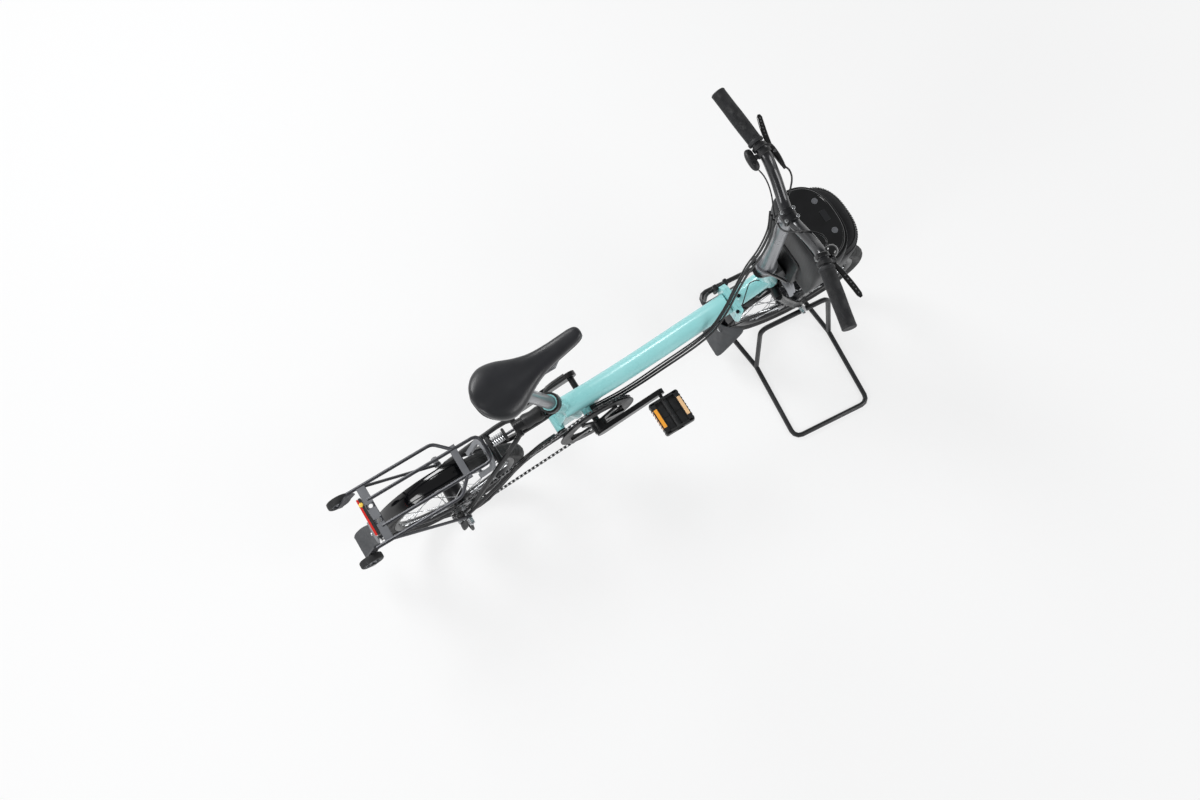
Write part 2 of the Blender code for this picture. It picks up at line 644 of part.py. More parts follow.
def front_frame():
    """The painted front section, which swings on the main hinge."""
    low, high = head(HEAD_TUBE_START), head(HEAD_TUBE_START + HEAD_TUBE_LENGTH)
    frame = cylinder("front_frame", HEAD_TUBE_RADIUS, low, high, FINE_ROUND)
    start = at(HINGE_X + HINGE_PLATE_THICKNESS - OVERLAP, 0, HINGE_Z)
    level = start + AHEAD * FRONT_TUBE_RADIUS
    front_tube = tube("front_tube", smooth([start, level, FRONT_TUBE_JOIN], 2), FRONT_TUBE_RADIUS, 4)
    hinge = hinge_plate("front_hinge_plate", HINGE_X + GAP / 2, 1)
    middle = knuckle(
        "front_knuckle", HINGE_Z - HINGE_KNUCKLE_HALF_HEIGHT, HINGE_Z + HINGE_KNUCKLE_HALF_HEIGHT
    )
    rooms = []
    for low_z, high_z in (
        (HINGE_Z - HINGE_PLATE_HALF_HEIGHT - OVERRUN, HINGE_Z - HINGE_KNUCKLE_HALF_HEIGHT + GAP),
        (HINGE_Z + HINGE_KNUCKLE_HALF_HEIGHT - GAP, HINGE_Z + HINGE_PLATE_HALF_HEIGHT + OVERRUN),
    ):
        rooms.append(
            cylinder(
                "knuckle_room", HINGE_KNUCKLE_RADIUS + RUNNING_GAP, at(HINGE_X, HINGE_PIN_Y, low_z),
                at(HINGE_X, HINGE_PIN_Y, high_z), ROUND,
            )
        )
    carve(hinge, *rooms)
    combine(frame, front_tube, hinge, middle)
    steerer_bore = cylinder(
        "steerer_bore", STEERER_RADIUS + RUNNING_GAP, low - HEAD_AXIS * OVERRUN, high + HEAD_AXIS * OVERRUN, FINE_ROUND
    )
    carve(frame, steerer_bore, hinge_bore())
    return finish(frame, "turquoise_paint")


# Hinge clamp on the left: a jaw behind the plates with its bolt and lever, and a jaw in front
JAW_DEPTH = 0.0110
JAW_WIDTH = 0.0160
JAW_HEIGHT = 0.0340
CLAMP_BOLT_RADIUS = 0.0042
CLAMP_REACH = 0.0085
LEVER_LENGTH = 0.0550
LEVER_THICKNESS = 0.0080


def hinge_clamp():
    """The rear jaw, the bolt past the plates' left edge and the folded-down lever."""
    rear_x = HINGE_X - GAP / 2 - HINGE_PLATE_THICKNESS - GAP
    middle_y = HINGE_PLATE_HALF_WIDTH + CLAMP_REACH - JAW_WIDTH / 4
    jaw = box(
        "hinge_clamp", (JAW_DEPTH, JAW_WIDTH, JAW_HEIGHT), at(rear_x - JAW_DEPTH / 2, middle_y, HINGE_Z),
        bevel=JAW_DEPTH / 5,
    )
    bolt_y = HINGE_PLATE_HALF_WIDTH + CLAMP_BOLT_RADIUS + RUNNING_GAP
    bolt = cylinder(
        "clamp_bolt", CLAMP_BOLT_RADIUS, at(rear_x - JAW_DEPTH - OVERRUN, bolt_y, HINGE_Z),
        at(HINGE_X + HINGE_PLATE_THICKNESS, bolt_y, HINGE_Z), 12,
    )
    pull = at(rear_x - JAW_DEPTH - OVERRUN, bolt_y, HINGE_Z)
    lever = tube(
        "clamp_lever",
        smooth([pull, pull + at(-LEVER_THICKNESS, 0, -LEVER_LENGTH * 0.25), pull + at(-LEVER_THICKNESS, 0, -LEVER_LENGTH)], 3),
        LEVER_THICKNESS / 2, 2,
    )
    return finish(combine(jaw, bolt, lever), "black_plastic")


def hinge_jaw():
    """The front jaw, which leaves with the front plate."""
    front_x = HINGE_X + GAP / 2 + HINGE_PLATE_THICKNESS + GAP
    middle_y = HINGE_PLATE_HALF_WIDTH + CLAMP_REACH - JAW_WIDTH / 4
    jaw = box(
        "hinge_jaw", (JAW_DEPTH, JAW_WIDTH, JAW_HEIGHT), at(front_x + JAW_DEPTH / 2, middle_y, HINGE_Z),
        bevel=JAW_DEPTH / 5,
    )
    return finish(jaw, "black_plastic")


# Carrier block and battery bag
BLOCK_DEPTH = 0.0220
BLOCK_WIDTH = 0.0460
BLOCK_HEIGHT = 0.0760
BAG_DEPTH = 0.1620
BAG_HALF_WIDTH = 0.1060
BAG_HEIGHT = 0.2660
BAG_ABOVE_GUARD = 0.0255
BAG_CORNER = 0.0500
BAG_SEAT_SHARE = 0.81
BAG_LEVEL_SHARES = ((0.0, 0.123), (0.05, 0.037), (0.20, 0.0), (0.80, 0.0), (0.94, 0.037), (1.0, 0.086))
BLOCK_SHARE = 0.52
BLOCK_CENTRE = head(HEAD_TUBE_START + HEAD_TUBE_LENGTH * BLOCK_SHARE, HEAD_TUBE_RADIUS + GAP + BLOCK_DEPTH / 2)
BAG_BACK_X = BLOCK_CENTRE.x + BLOCK_DEPTH * BAG_SEAT_SHARE
BAG_BOTTOM_Z = FRONT_AXLE.z + GUARD_INNER_RADIUS + BAG_ABOVE_GUARD
BAG_TOP_Z = BAG_BOTTOM_Z + BAG_HEIGHT
PANEL_THICKNESS = 0.0060
PANEL_INSET = 0.0160


def carrier_block():
    """The mounting block bolted to the front of the head tube."""
    turn = Matrix.Rotation(-HEAD_TILT, 4, "Y")
    block = box("carrier_block", (BLOCK_DEPTH, BLOCK_WIDTH, BLOCK_HEIGHT), BLOCK_CENTRE, turn, BLOCK_DEPTH / 8)
    room = box("bag_room", (BAG_DEPTH, BAG_HALF_WIDTH * 2, BAG_TOP_Z), at(BAG_BACK_X - GAP + BAG_DEPTH / 2, 0, BAG_TOP_Z / 2))
    carve(block, room)
    return finish(block, "black_plastic")


def bag_outline(shrink=0.0, steps=4):
    """The bag's rounded plan, seen from above."""
    x0, x1 = BAG_BACK_X + shrink, BAG_BACK_X + BAG_DEPTH - shrink
    half = BAG_HALF_WIDTH - shrink
    corner = BAG_CORNER - shrink / 2
    loop = []
    for cx, cy, start in (
        (x1 - corner, half - corner, 0.0), (x0 + corner / 2, half - corner / 2, math.pi / 2),
        (x0 + corner / 2, corner / 2 - half, math.pi), (x1 - corner, corner - half, 1.5 * math.pi),
    ):
        size = corner if cx > (x0 + x1) / 2 else corner / 2
        for k in range(steps + 1):
            angle = start + k / steps * math.pi / 2
            loop.append((cx + size * math.cos(angle), cy + size * math.sin(angle)))
    return loop


def battery_bag():
    """The battery's soft case: upright walls, rounded in at the foot and the shoulder."""
    sections = []
    for rise, shrink in BAG_LEVEL_SHARES:
        sections.append([(x, y, BAG_BOTTOM_Z + rise * BAG_HEIGHT) for x, y in bag_outline(shrink * BAG_DEPTH)])
    return finish(loft("battery_bag", sections), "bag_fabric", 60.0)


def battery_panel():
    """The smooth control panel let into the bag's top."""
    base = BAG_TOP_Z + GAP
    rim_loop = [(x, y, base) for x, y in bag_outline(PANEL_INSET)]
    top_loop = [(x, y, base + PANEL_THICKNESS) for x, y in bag_outline(PANEL_INSET + PANEL_THICKNESS / 2)]
    return finish(loft("battery_panel", [rim_loop, top_loop]), "gloss_plastic")


# Fork, its axle, mudguard, flap and brake
CROWN_RADIUS = 0.0115
STEM_BASE_RADIUS = 0.0200
STEM_BASE_LENGTH = 0.0100
NUT_RADIUS = 0.0090
NUT_LENGTH = 0.0160
GUARD_WALL = 0.0018
GUARD_HALF_WIDTH = 0.0225
GUARD_CROWN = 0.0060
STAY_RADIUS = 0.0016
FLAP_THICKNESS = 0.0030
FLAP_LENGTH = 0.0950
FLAP_TOP_HALF_WIDTH = 0.0225
FLAP_FOOT_HALF_WIDTH = 0.0420
STEM_FOOT_RISE = 0.0200
STEM_FOOT_AHEAD = 0.0166
STEM_FOOT = head(HEAD_TUBE_START + HEAD_TUBE_LENGTH + STEM_FOOT_RISE, STEM_FOOT_AHEAD)
STEM_PLATE = 0.0110
STEM_PLATE_RADIUS = 0.0260
STEM_KNUCKLE_RADIUS = 0.0050
STEM_KNUCKLE_HALF_LENGTH = 0.0070
STEM_PIN_RADIUS = 0.0024
STEM_FOLD_AXIS = Vector((1, 1, 0)).normalized()
STEM_FOLD_SIDE = Vector((-1, 1, 0)).normalized()


def stem_hinge_point():
    """The middle of the stem hinge's pin, behind and left of the plates."""
    return STEM_FOOT + STEM_FOLD_SIDE * (STEM_PLATE_RADIUS + STEM_KNUCKLE_RADIUS + RUNNING_GAP)


def stem_plate(name, side):
    """A round hinge plate under or over the stem's joint, with its knuckles and, below, the pin."""
    near = STEM_FOOT + UP * side * GAP / 2
    disc = cylinder(name, STEM_PLATE_RADIUS, near, near + UP * side * STEM_PLATE, FINE_ROUND)
    pivot = stem_hinge_point()
    inner = STEM_KNUCKLE_HALF_LENGTH
    spans = [(-inner, inner)] if side < 0 else [(inner + GAP, inner * 2), (-inner * 2, -inner - GAP)]
    pieces = [disc]
    for low, high in spans:
        pieces.append(cylinder("stem_knuckle", STEM_KNUCKLE_RADIUS, pivot + STEM_FOLD_AXIS * low, pivot + STEM_FOLD_AXIS * high, ROUND))
        size = (STEM_KNUCKLE_RADIUS * 2, high - low, STEM_KNUCKLE_RADIUS)
        lug_middle = pivot - STEM_FOLD_SIDE * STEM_KNUCKLE_RADIUS + UP * side * (size[2] / 2 + GAP / 2) + STEM_FOLD_AXIS * (low + high) / 2
        pieces.append(box("lug", size, at(0, 0, 0), framed(lug_middle, STEM_FOLD_SIDE, STEM_FOLD_AXIS)))
    if side < 0:
        reach = STEM_FOLD_AXIS * (inner * 2 - OVERLAP)
        pieces.append(cylinder("stem_pin", STEM_PIN_RADIUS, pivot - reach, pivot + reach, ROUND))
        return pieces
    solid = combine(*pieces)
    reach = STEM_FOLD_AXIS * (inner * 2 + OVERRUN)
    return carve(solid, cylinder("pin_room", STEM_PIN_RADIUS + RUNNING_GAP, pivot - reach, pivot + reach, ROUND))


def fork_knee():
    """The point above the axle where the blades bend forward."""
    return FRONT_AXLE + HEAD_AXIS * BLADE_RADIUS * 4 - AHEAD * FORK_OFFSET * 0.45


def fork():
    """Steerer, crown, two raked blades and the lower plate of the stem's hinge."""
    top = HEAD_TUBE_START + HEAD_TUBE_LENGTH + GAP
    steerer = cylinder("fork", STEERER_RADIUS, head(CROWN_DISTANCE), head(top + STEM_BASE_LENGTH / 2), FINE_ROUND)
    crown = cylinder(
        "crown", CROWN_RADIUS, head(CROWN_DISTANCE, 0, -BLADE_SPACING), head(CROWN_DISTANCE, 0, BLADE_SPACING), ROUND
    )
    race = cylinder("crown_race", HEAD_TUBE_RADIUS, head(CROWN_DISTANCE), head(HEAD_TUBE_START - GAP), FINE_ROUND)
    blades = []
    for side in (1, -1):
        y = side * BLADE_SPACING
        route = [
            head(CROWN_DISTANCE, 0, y), head(CROWN_DISTANCE * 0.72, FORK_OFFSET * 0.12, y),
            fork_knee() + SIDE * y, FRONT_AXLE + SIDE * y, FRONT_AXLE + SIDE * y - UP * BLADE_RADIUS,
        ]
        blades.append(tube("blade", smooth(route, 2), BLADE_RADIUS))
    base = cylinder("stem_base", STEM_BASE_RADIUS, head(top), head(top + STEM_BASE_LENGTH), FINE_ROUND)
    lower_plate = stem_plate("stem_lower_plate", -1)
    combine(steerer, race, crown, *blades, base, *lower_plate)
    reach = BLADE_SPACING + BLADE_RADIUS + OVERRUN
    hole = cylinder("axle_hole", AXLE_RADIUS + GAP, FRONT_AXLE - SIDE * reach, FRONT_AXLE + SIDE * reach, ROUND)
    carve(steerer, hole)
    return finish(steerer, "black_paint")


def axle_with_nuts(name, centre, inner, outer):
    """An axle through the wheel with a nut against each dropout."""
    rod = cylinder(name, AXLE_RADIUS, centre - SIDE * outer, centre + SIDE * outer, ROUND)
    nuts = []
    for side in (1, -1):
        start = centre + SIDE * side * (inner + GAP)
        nuts.append(cylinder("axle_nut", NUT_RADIUS, start, start + SIDE * side * NUT_LENGTH, 6))
    return finish(combine(rod, *nuts), "bright_alloy")


def mudguard(name, centre, start, sweep, post, finish_name):
    """A crowned strip round the wheel, with a fixing post and two wire stays."""
    profile = [
        (GUARD_INNER_RADIUS, -GUARD_HALF_WIDTH), (GUARD_INNER_RADIUS + GUARD_CROWN * 0.7, -GUARD_HALF_WIDTH * 0.6),
        (GUARD_INNER_RADIUS + GUARD_CROWN, 0.0), (GUARD_INNER_RADIUS + GUARD_CROWN * 0.7, GUARD_HALF_WIDTH * 0.6),
        (GUARD_INNER_RADIUS, GUARD_HALF_WIDTH),
    ]
    placement = framed(centre, Vector((math.cos(start), 0, math.sin(start))), Vector((-math.sin(start), 0, math.cos(start))))
    strip = lathe(name, profile, placement, max(8, round(math.degrees(sweep) / 8)), sweep, GUARD_WALL)
    return finish(combine(strip, *post), finish_name)


def around(centre, radius, angle, y=0.0):
    """A point at a radius and an angle from ahead, round a wheel."""
    return centre + at(radius * math.cos(angle), y, radius * math.sin(angle))


FRONT_GUARD_START = math.radians(78.0)
FRONT_GUARD_SWEEP = math.radians(110.0)
REAR_GUARD_START = math.radians(73.0)
REAR_GUARD_SWEEP = math.radians(107.0)


def guard_stays(centre, angle, foot):
    """Wire stays from the guard's edges to a foot beside each dropout."""
    wires = []
    for side in (1, -1):
        top = around(centre, GUARD_INNER_RADIUS + GUARD_WALL / 2, angle, side * (GUARD_HALF_WIDTH - GUARD_WALL / 2))
        knee = around(centre, GUARD_INNER_RADIUS * 0.82, angle, side * (GUARD_HALF_WIDTH + OVERLAP))
        wires.append(tube("stay", [top, knee, mirrored(foot, side)], STAY_RADIUS, 1))
    return wires


def front_mudguard():
    """The front guard, hung from the crown."""
    crown = head(CROWN_DISTANCE)
    outward = (crown - FRONT_AXLE).normalized()
    start = FRONT_AXLE + outward * (GUARD_INNER_RADIUS + GUARD_CROWN)
    end = crown - outward * (CROWN_RADIUS + GAP)
    post = cylinder("guard_post", CROWN_RADIUS / 2, start, end, 12)
    foot = fork_knee() + SIDE * (BLADE_SPACING - BLADE_RADIUS - STAY_RADIUS - GAP)
    wires = guard_stays(FRONT_AXLE, FRONT_GUARD_START + FRONT_GUARD_SWEEP - math.radians(12), foot)
    return mudguard("front_mudguard", FRONT_AXLE, FRONT_GUARD_START, FRONT_GUARD_SWEEP, [post, *wires], "black_plastic")


def flap(name, centre, angle, lean):
    """A rubber flap that hangs from the end of a mudguard and widens to its foot."""
    radius = GUARD_INNER_RADIUS + GUARD_CROWN + GUARD_WALL / 2 + GAP * 1.5
    top = around(centre, radius, angle)
    down = Vector((-math.sin(lean), 0, -math.cos(lean)))
    out = Vector((-math.cos(lean), 0, math.sin(lean)))
    sections = []
    for share, width in ((-0.12, 1.0), (0.0, 1.0), (0.15, 1.05), (0.45, 1.45), (0.80, 1.85), (0.93, 1.7), (1.0, 1.2)):
        middle = top + down * FLAP_LENGTH * share
        if share < 0:
            middle = around(centre, radius, angle + share * FLAP_LENGTH / radius)
        half = FLAP_TOP_HALF_WIDTH * width
        ring = []
        for across in (-1.0, -0.5, 0.0, 0.5, 1.0):
            bow = FLAP_THICKNESS * (1 - across * across)
            ring.append(middle + SIDE * half * across + out * bow)
        for across in (1.0, 0.5, 0.0, -0.5, -1.0):
            bow = FLAP_THICKNESS * (1 - across * across) - FLAP_THICKNESS
            ring.append(middle + SIDE * half * across + out * bow)
        sections.append(ring)
    return finish(loft(name, sections), "flap_rubber")


BRAKE_ABOVE_GUARD = 0.0117
BRAKE_TOP_RADIUS = GUARD_INNER_RADIUS + GUARD_CROWN + BRAKE_ABOVE_GUARD
BRAKE_ARM_WIDTH = 0.0120
BRAKE_THICKNESS = 0.0100
BRAKE_HALF_SPAN = 0.0440
PAD_GAP = 0.0015


def rim_brake(name, centre, angle, ahead, seat, facing=1):
    """A caliper: two curved arms over the tyre, each with a pad beside the rim, on one bolt."""
    radial = Vector((math.cos(angle), 0, math.sin(angle)))
    along = Vector((math.sin(angle), 0, -math.cos(angle)))
    base = centre + along * ahead * facing
    inner = BRAKE_HALF_SPAN - BRAKE_ARM_WIDTH
    outer_loop, inner_loop = [], []
    for share in range(9):
        turn = math.pi * share / 8
        top = BRAKE_TOP_RADIUS - BRAKE_HALF_SPAN * 0.4
        outer_loop.append((BRAKE_HALF_SPAN * math.cos(turn), top + BRAKE_HALF_SPAN * 0.55 * math.sin(turn)))
        inner_loop.append((inner * math.cos(turn), top + inner * 0.35 * math.sin(turn)))
    foot = (RIM_OUTER_RADIUS + RIM_INNER_RADIUS) / 2 - BRAKE_ARM_WIDTH * 0.6
    outline = [(BRAKE_HALF_SPAN * 0.85, foot), *outer_loop, (-BRAKE_HALF_SPAN * 0.85, foot)]
    outline += [(-inner * 0.80, foot), *reversed(inner_loop), (inner * 0.80, foot)]
    arch = plate(name, outline, BRAKE_THICKNESS, framed(base, SIDE, radial))
    pads = []
    for side in (1, -1):
        middle = (RIM_OUTER_RADIUS + RIM_INNER_RADIUS) / 2
        start = base + radial * middle + SIDE * side * (RIM_HALF_WIDTH + PAD_GAP)
        end = base + radial * middle + SIDE * side * (inner + OVERLAP)
        pads.append(cylinder("pad", BRAKE_ARM_WIDTH * 0.4, start, end, 12))
    bolt_start = base + radial * BRAKE_TOP_RADIUS
    bolt = cylinder(
        "brake_bolt", BRAKE_ARM_WIDTH * 0.35, bolt_start - along * facing * (BRAKE_THICKNESS / 2 + seat - GAP * 2),
        bolt_start + along * facing * BRAKE_THICKNESS * 0.9, 12,
    )
    return finish(combine(arch, *pads, bolt), "bright_alloy")


# Display stand
STAND_RADIUS = 0.0070
STAND_BEND = 0.0220
STAND_RIGHT_REACH = 0.3460
STAND_WAIST = 0.1180
STAND_LEFT_REACH = 0.1420
STAND_BEHIND_AXLE = 0.1365
STAND_AHEAD_OF_AXLE = 0.0955
STAND_LEFT_BEHIND_AXLE = 0.1875
STAND_LEFT_AHEAD_OF_AXLE = 0.0525
HOOP_HALF_SPACE = 0.0680
HOOP_BEHIND_AXLE = 0.1235
HOOP_AHEAD_OF_AXLE = 0.0825
LEFT_WAIST_SHARE = 0.9


def steered(point):
    """Where a point of the straight fork stands once the bars are turned."""
    turn = Matrix.Rotation(STEER_ANGLE, 4, HEAD_AXIS)
    return HEAD_POINT + turn @ (point - HEAD_POINT)


def on_floor(x, y, z):
    """A point of the stand, which lies flat and is only turned with the wheel's heading."""
    pivot = head(-HEAD_POINT.z / math.cos(HEAD_TILT))
    turn = Matrix.Rotation(STEER_ANGLE * math.cos(HEAD_TILT), 4, "Z")
    return pivot + turn @ (at(x, y, z) - pivot)


def display_stand():
    """A bent floor loop under the front wheel, with a hoop on each side that takes the axle's nuts."""
    z = STAND_RADIUS
    rear_x, front_x = FRONT_AXLE.x - STAND_BEHIND_AXLE, FRONT_AXLE.x + STAND_AHEAD_OF_AXLE
    left_rear_x, left_front_x = FRONT_AXLE.x - STAND_LEFT_BEHIND_AXLE, FRONT_AXLE.x + STAND_LEFT_AHEAD_OF_AXLE
    loop = [
        on_floor(rear_x, -STAND_RIGHT_REACH, z), on_floor(front_x, -STAND_RIGHT_REACH, z),
        on_floor(front_x, -STAND_WAIST, z), on_floor(left_front_x, STAND_LEFT_REACH, z),
        on_floor(left_rear_x, STAND_LEFT_REACH, z), on_floor(rear_x, -STAND_WAIST, z),
    ]
    stand = tube("display_stand", rounded(loop, STAND_BEND, closed=True), STAND_RADIUS, 2, True)
    hoops = []
    for side in (-1, 1):
        nut_end = BLADE_SPACING + BLADE_RADIUS + GAP + NUT_LENGTH * (0 if side < 0 else 1)
        lowest = min(steered(FRONT_AXLE + SIDE * side * y).z for y in (nut_end, BLADE_SPACING + BLADE_RADIUS))
        top = lowest - NUT_RADIUS - STAND_RADIUS
        waist = side * STAND_WAIST * (1.0 if side < 0 else LEFT_WAIST_SHARE)
        share = (waist + STAND_WAIST) / (STAND_LEFT_REACH + STAND_WAIST)
        rear = rear_x + share * (left_rear_x - rear_x)
        front = front_x + share * (left_front_x - front_x)
        route = [
            on_floor(rear, waist, z), on_floor(FRONT_AXLE.x - HOOP_BEHIND_AXLE, side * HOOP_HALF_SPACE, top),
            on_floor(FRONT_AXLE.x + HOOP_AHEAD_OF_AXLE, side * HOOP_HALF_SPACE, top), on_floor(front, waist, z),
        ]
        hoops.append(tube("hoop", rounded(route, STAND_BEND), STAND_RADIUS, 2))
    return finish(combine(stand, *hoops), "black_paint")


# Stem and handlebar
BAR_RADIUS = 0.0127
STEM_RADIUS = 0.0165
STEM_HEIGHT = 0.3400
STEM_LEAN = 0.0070
BAR_HALF_WIDTH = 0.2800
BAR_SWEEP = 0.0260
BAR_RISE = 0.0670
GRIP_START_Y = 0.1480
GRIP_START_SWEEP = 0.0040
GRIP_START_RISE = 0.0590
BAR_CENTRE = STEM_FOOT + at(-STEM_LEAN, 0, STEM_HEIGHT)
BAR_END = BAR_CENTRE + at(-BAR_SWEEP, BAR_HALF_WIDTH, BAR_RISE)
GRIP_START = BAR_CENTRE + at(-GRIP_START_SWEEP, GRIP_START_Y, GRIP_START_RISE)
GRIP_RADIUS = 0.0160
GRIP_END_WALL = 0.0030
STEM_CLAMP_RADIUS = 0.0200
STEM_CLAMP_HALF_WIDTH = 0.0220
BAR_SHARES = ((0.0, 0.0, 0.0), (0.10, -0.10, 0.02), (0.24, -0.15, 0.38), (0.33, -0.12, 0.66))


def bar_route():
    """The bar's centre line from its left end to its right end."""
    sweep = GRIP_START - BAR_CENTRE
    half = []
    for across, back, rise in BAR_SHARES:
        half.append(at(BAR_CENTRE.x - back * (BAR_CENTRE.x - BAR_END.x) * 1.6, across * BAR_END.y, BAR_CENTRE.z + rise * sweep.z))
    half += [GRIP_START - (BAR_END - GRIP_START).normalized() * GRIP_RADIUS * 2, GRIP_START, BAR_END - (BAR_END - GRIP_START).normalized() * (GRIP_END_WALL + GAP)]
    right = [Vector((point.x, -point.y, point.z)) for point in half]
    left_side = smooth(half, 2)
    right_side = smooth(right, 2)
    return list(reversed(left_side)) + right_side[1:]


def mirrored(point, side):
    """The point, or its mirror image on the right."""
    return Vector((point.x, point.y * side, point.z))


def handlebar():
    """The bent bar."""
    return finish(tube("handlebar", bar_route(), BAR_RADIUS), "graphite_paint")


def stem():
    """The folding stem: upper hinge plate, tapered tube and the bar clamp."""
    foot = STEM_FOOT + UP * (STEM_PLATE / 2 + GAP / 2)
    plate_top = stem_plate("stem", 1)
    tube_top = BAR_CENTRE - UP * BAR_RADIUS
    post = cylinder("stem_tube", STEM_RADIUS * 1.12, foot, tube_top, FINE_ROUND, STEM_RADIUS)
    clamp = cylinder(
        "bar_clamp", STEM_CLAMP_RADIUS, BAR_CENTRE - SIDE * STEM_CLAMP_HALF_WIDTH, BAR_CENTRE + SIDE * STEM_CLAMP_HALF_WIDTH, FINE_ROUND
    )
    combine(plate_top, post, clamp)
    bore = tube("bar_room", bar_route(), BAR_RADIUS + GAP)
    carve(plate_top, bore)
    return finish(plate_top, "graphite_paint")


def grip(name, side):
    """A ribbed sleeve closed over the bar's end."""
    start, end = mirrored(GRIP_START, side), mirrored(BAR_END, side)
    along = (end - start).normalized()
    length = (end - start).length
    hollow = BAR_RADIUS + GAP * 1.6
    profile = [
        (0, length), (GRIP_RADIUS * 0.92, length), (GRIP_RADIUS, length - GRIP_END_WALL), (GRIP_RADIUS, GRIP_END_WALL),
        (GRIP_RADIUS * 1.08, GRIP_END_WALL), (GRIP_RADIUS * 1.08, 0), (hollow, 0), (hollow, length - GRIP_END_WALL),
        (0, length - GRIP_END_WALL),
    ]
    return finish(lathe(name, profile, turned_to(along, start), FINE_ROUND), "grip_rubber")


LEVER_POD_SHARE = 0.10
LEVER_REACH = 0.0450
LEVER_BLADE_LENGTH = 0.0750
POD_RADIUS = 0.0170


def brake_lever(name, side):
    """The lever's clamp round the bar, its body ahead of it and the bent blade."""
    along = (mirrored(BAR_END, side) - mirrored(GRIP_START, side)).normalized()
    middle = mirrored(GRIP_START, side) - along * POD_RADIUS
    clamp = cylinder(name, POD_RADIUS, middle - along * POD_RADIUS / 2, middle + along * POD_RADIUS / 2, FINE_ROUND)
    front = middle + AHEAD * LEVER_REACH * 0.6 - UP * POD_RADIUS * 0.9
    body = tube(
        "lever_body", smooth([middle + AHEAD * (BAR_RADIUS + OVERLAP * 1.2) - UP * OVERLAP, front, front - SIDE * side * LEVER_REACH], 3), POD_RADIUS * 0.42, 2
    )
    blade = tube(
        "lever_blade",
        smooth([front, front + at(LEVER_REACH * 0.35, side * LEVER_BLADE_LENGTH * 0.4, 0), front + at(LEVER_REACH * 0.2, side * LEVER_BLADE_LENGTH, 0)], 3),
        POD_RADIUS * 0.30, 2,
    )
    carve(combine(clamp, body, blade), tube("bar_room", bar_route(), BAR_RADIUS + GAP * 2))
    return finish(clamp, "black_plastic")


def control_pod(name, side, spread, drop):
    """A shifter or bell clamped round the bar beside the brake lever."""
    along = (mirrored(BAR_END, side) - mirrored(GRIP_START, side)).normalized()
    middle = mirrored(GRIP_START, side) - along * POD_RADIUS * 2.55
    clamp = cylinder(name, POD_RADIUS, middle - along * POD_RADIUS / 3, middle + along * POD_RADIUS / 3, FINE_ROUND)
    centre = middle + at(spread, 0, drop)
    pod = cylinder("pod", POD_RADIUS, centre - UP * POD_RADIUS * 0.5, centre + UP * POD_RADIUS * 0.5, FINE_ROUND, POD_RADIUS * 0.8)
    carve(combine(clamp, pod), tube("bar_room", bar_route(), BAR_RADIUS + GAP * 2))
    return finish(clamp, "black_plastic")


# Rear frame
STAY_TUBE_RADIUS = 0.0080
EAR_Y = 0.0300
DROPOUT_Y = 0.0660
UPPER_STAY_RADIUS = 0.0065
DROPOUT_RADIUS = 0.0160
DROPOUT_TONGUE = 0.0340
DROPOUT_THICKNESS = 0.0060
BRAKE_BRIDGE_ANGLE = math.radians(54.5)
BRAKE_BRIDGE_ABOVE_BRAKE = 0.0058
BRAKE_BRIDGE_RADIUS = BRAKE_TOP_RADIUS + BRAKE_BRIDGE_ABOVE_BRAKE
BRAKE_BRIDGE_HALF_LENGTH = 0.0400
BRIDGE_BEHIND_BUMPER = 0.0195
BRIDGE_HALF_WIDTH = 0.0200
BRIDGE_ABOVE_BUMPER = 0.0020
BRIDGE_POINT = at(BUMPER_REAR_X - BRIDGE_BEHIND_BUMPER, BRIDGE_HALF_WIDTH, BUMPER_HEIGHT + BRIDGE_ABOVE_BUMPER)
UPPER_STAY_DROP = 0.0370
UPPER_STAY_BACK = 0.0380
UPPER_STAY_SPREAD = 0.0130
LOWER_STAY_SHARES = (0.295, 0.501)
LOWER_STAY_WAIST = 0.0310
LOWER_STAY_MIDDLE = 0.0410
DROPOUT_LIFT = 0.0180


def dropout(side):
    """A flat dropout plate round the rear axle, with a tongue to each stay."""
    x, z = REAR_AXLE.x, REAR_AXLE.z
    edge = DROPOUT_RADIUS
    outline = [
        (x - edge, z + edge * 0.3), (x - edge, z - edge * 0.4), (x - edge * 0.5, z - edge), (x + edge * 0.5, z - edge),
        (x + DROPOUT_TONGUE, z - STAY_TUBE_RADIUS * 0.4), (x + DROPOUT_TONGUE, z + STAY_TUBE_RADIUS * 2.4),
        (x + edge * 2.2, z + DROPOUT_TONGUE), (x + edge * 1.2, z + DROPOUT_TONGUE), (x - edge * 0.3, z + edge),
    ]
    hole = circle(AXLE_RADIUS + GAP, ROUND, (x, z))
    return plate("dropout", outline, DROPOUT_THICKNESS, framed(SIDE * side * DROPOUT_Y, AHEAD, UP), [hole])


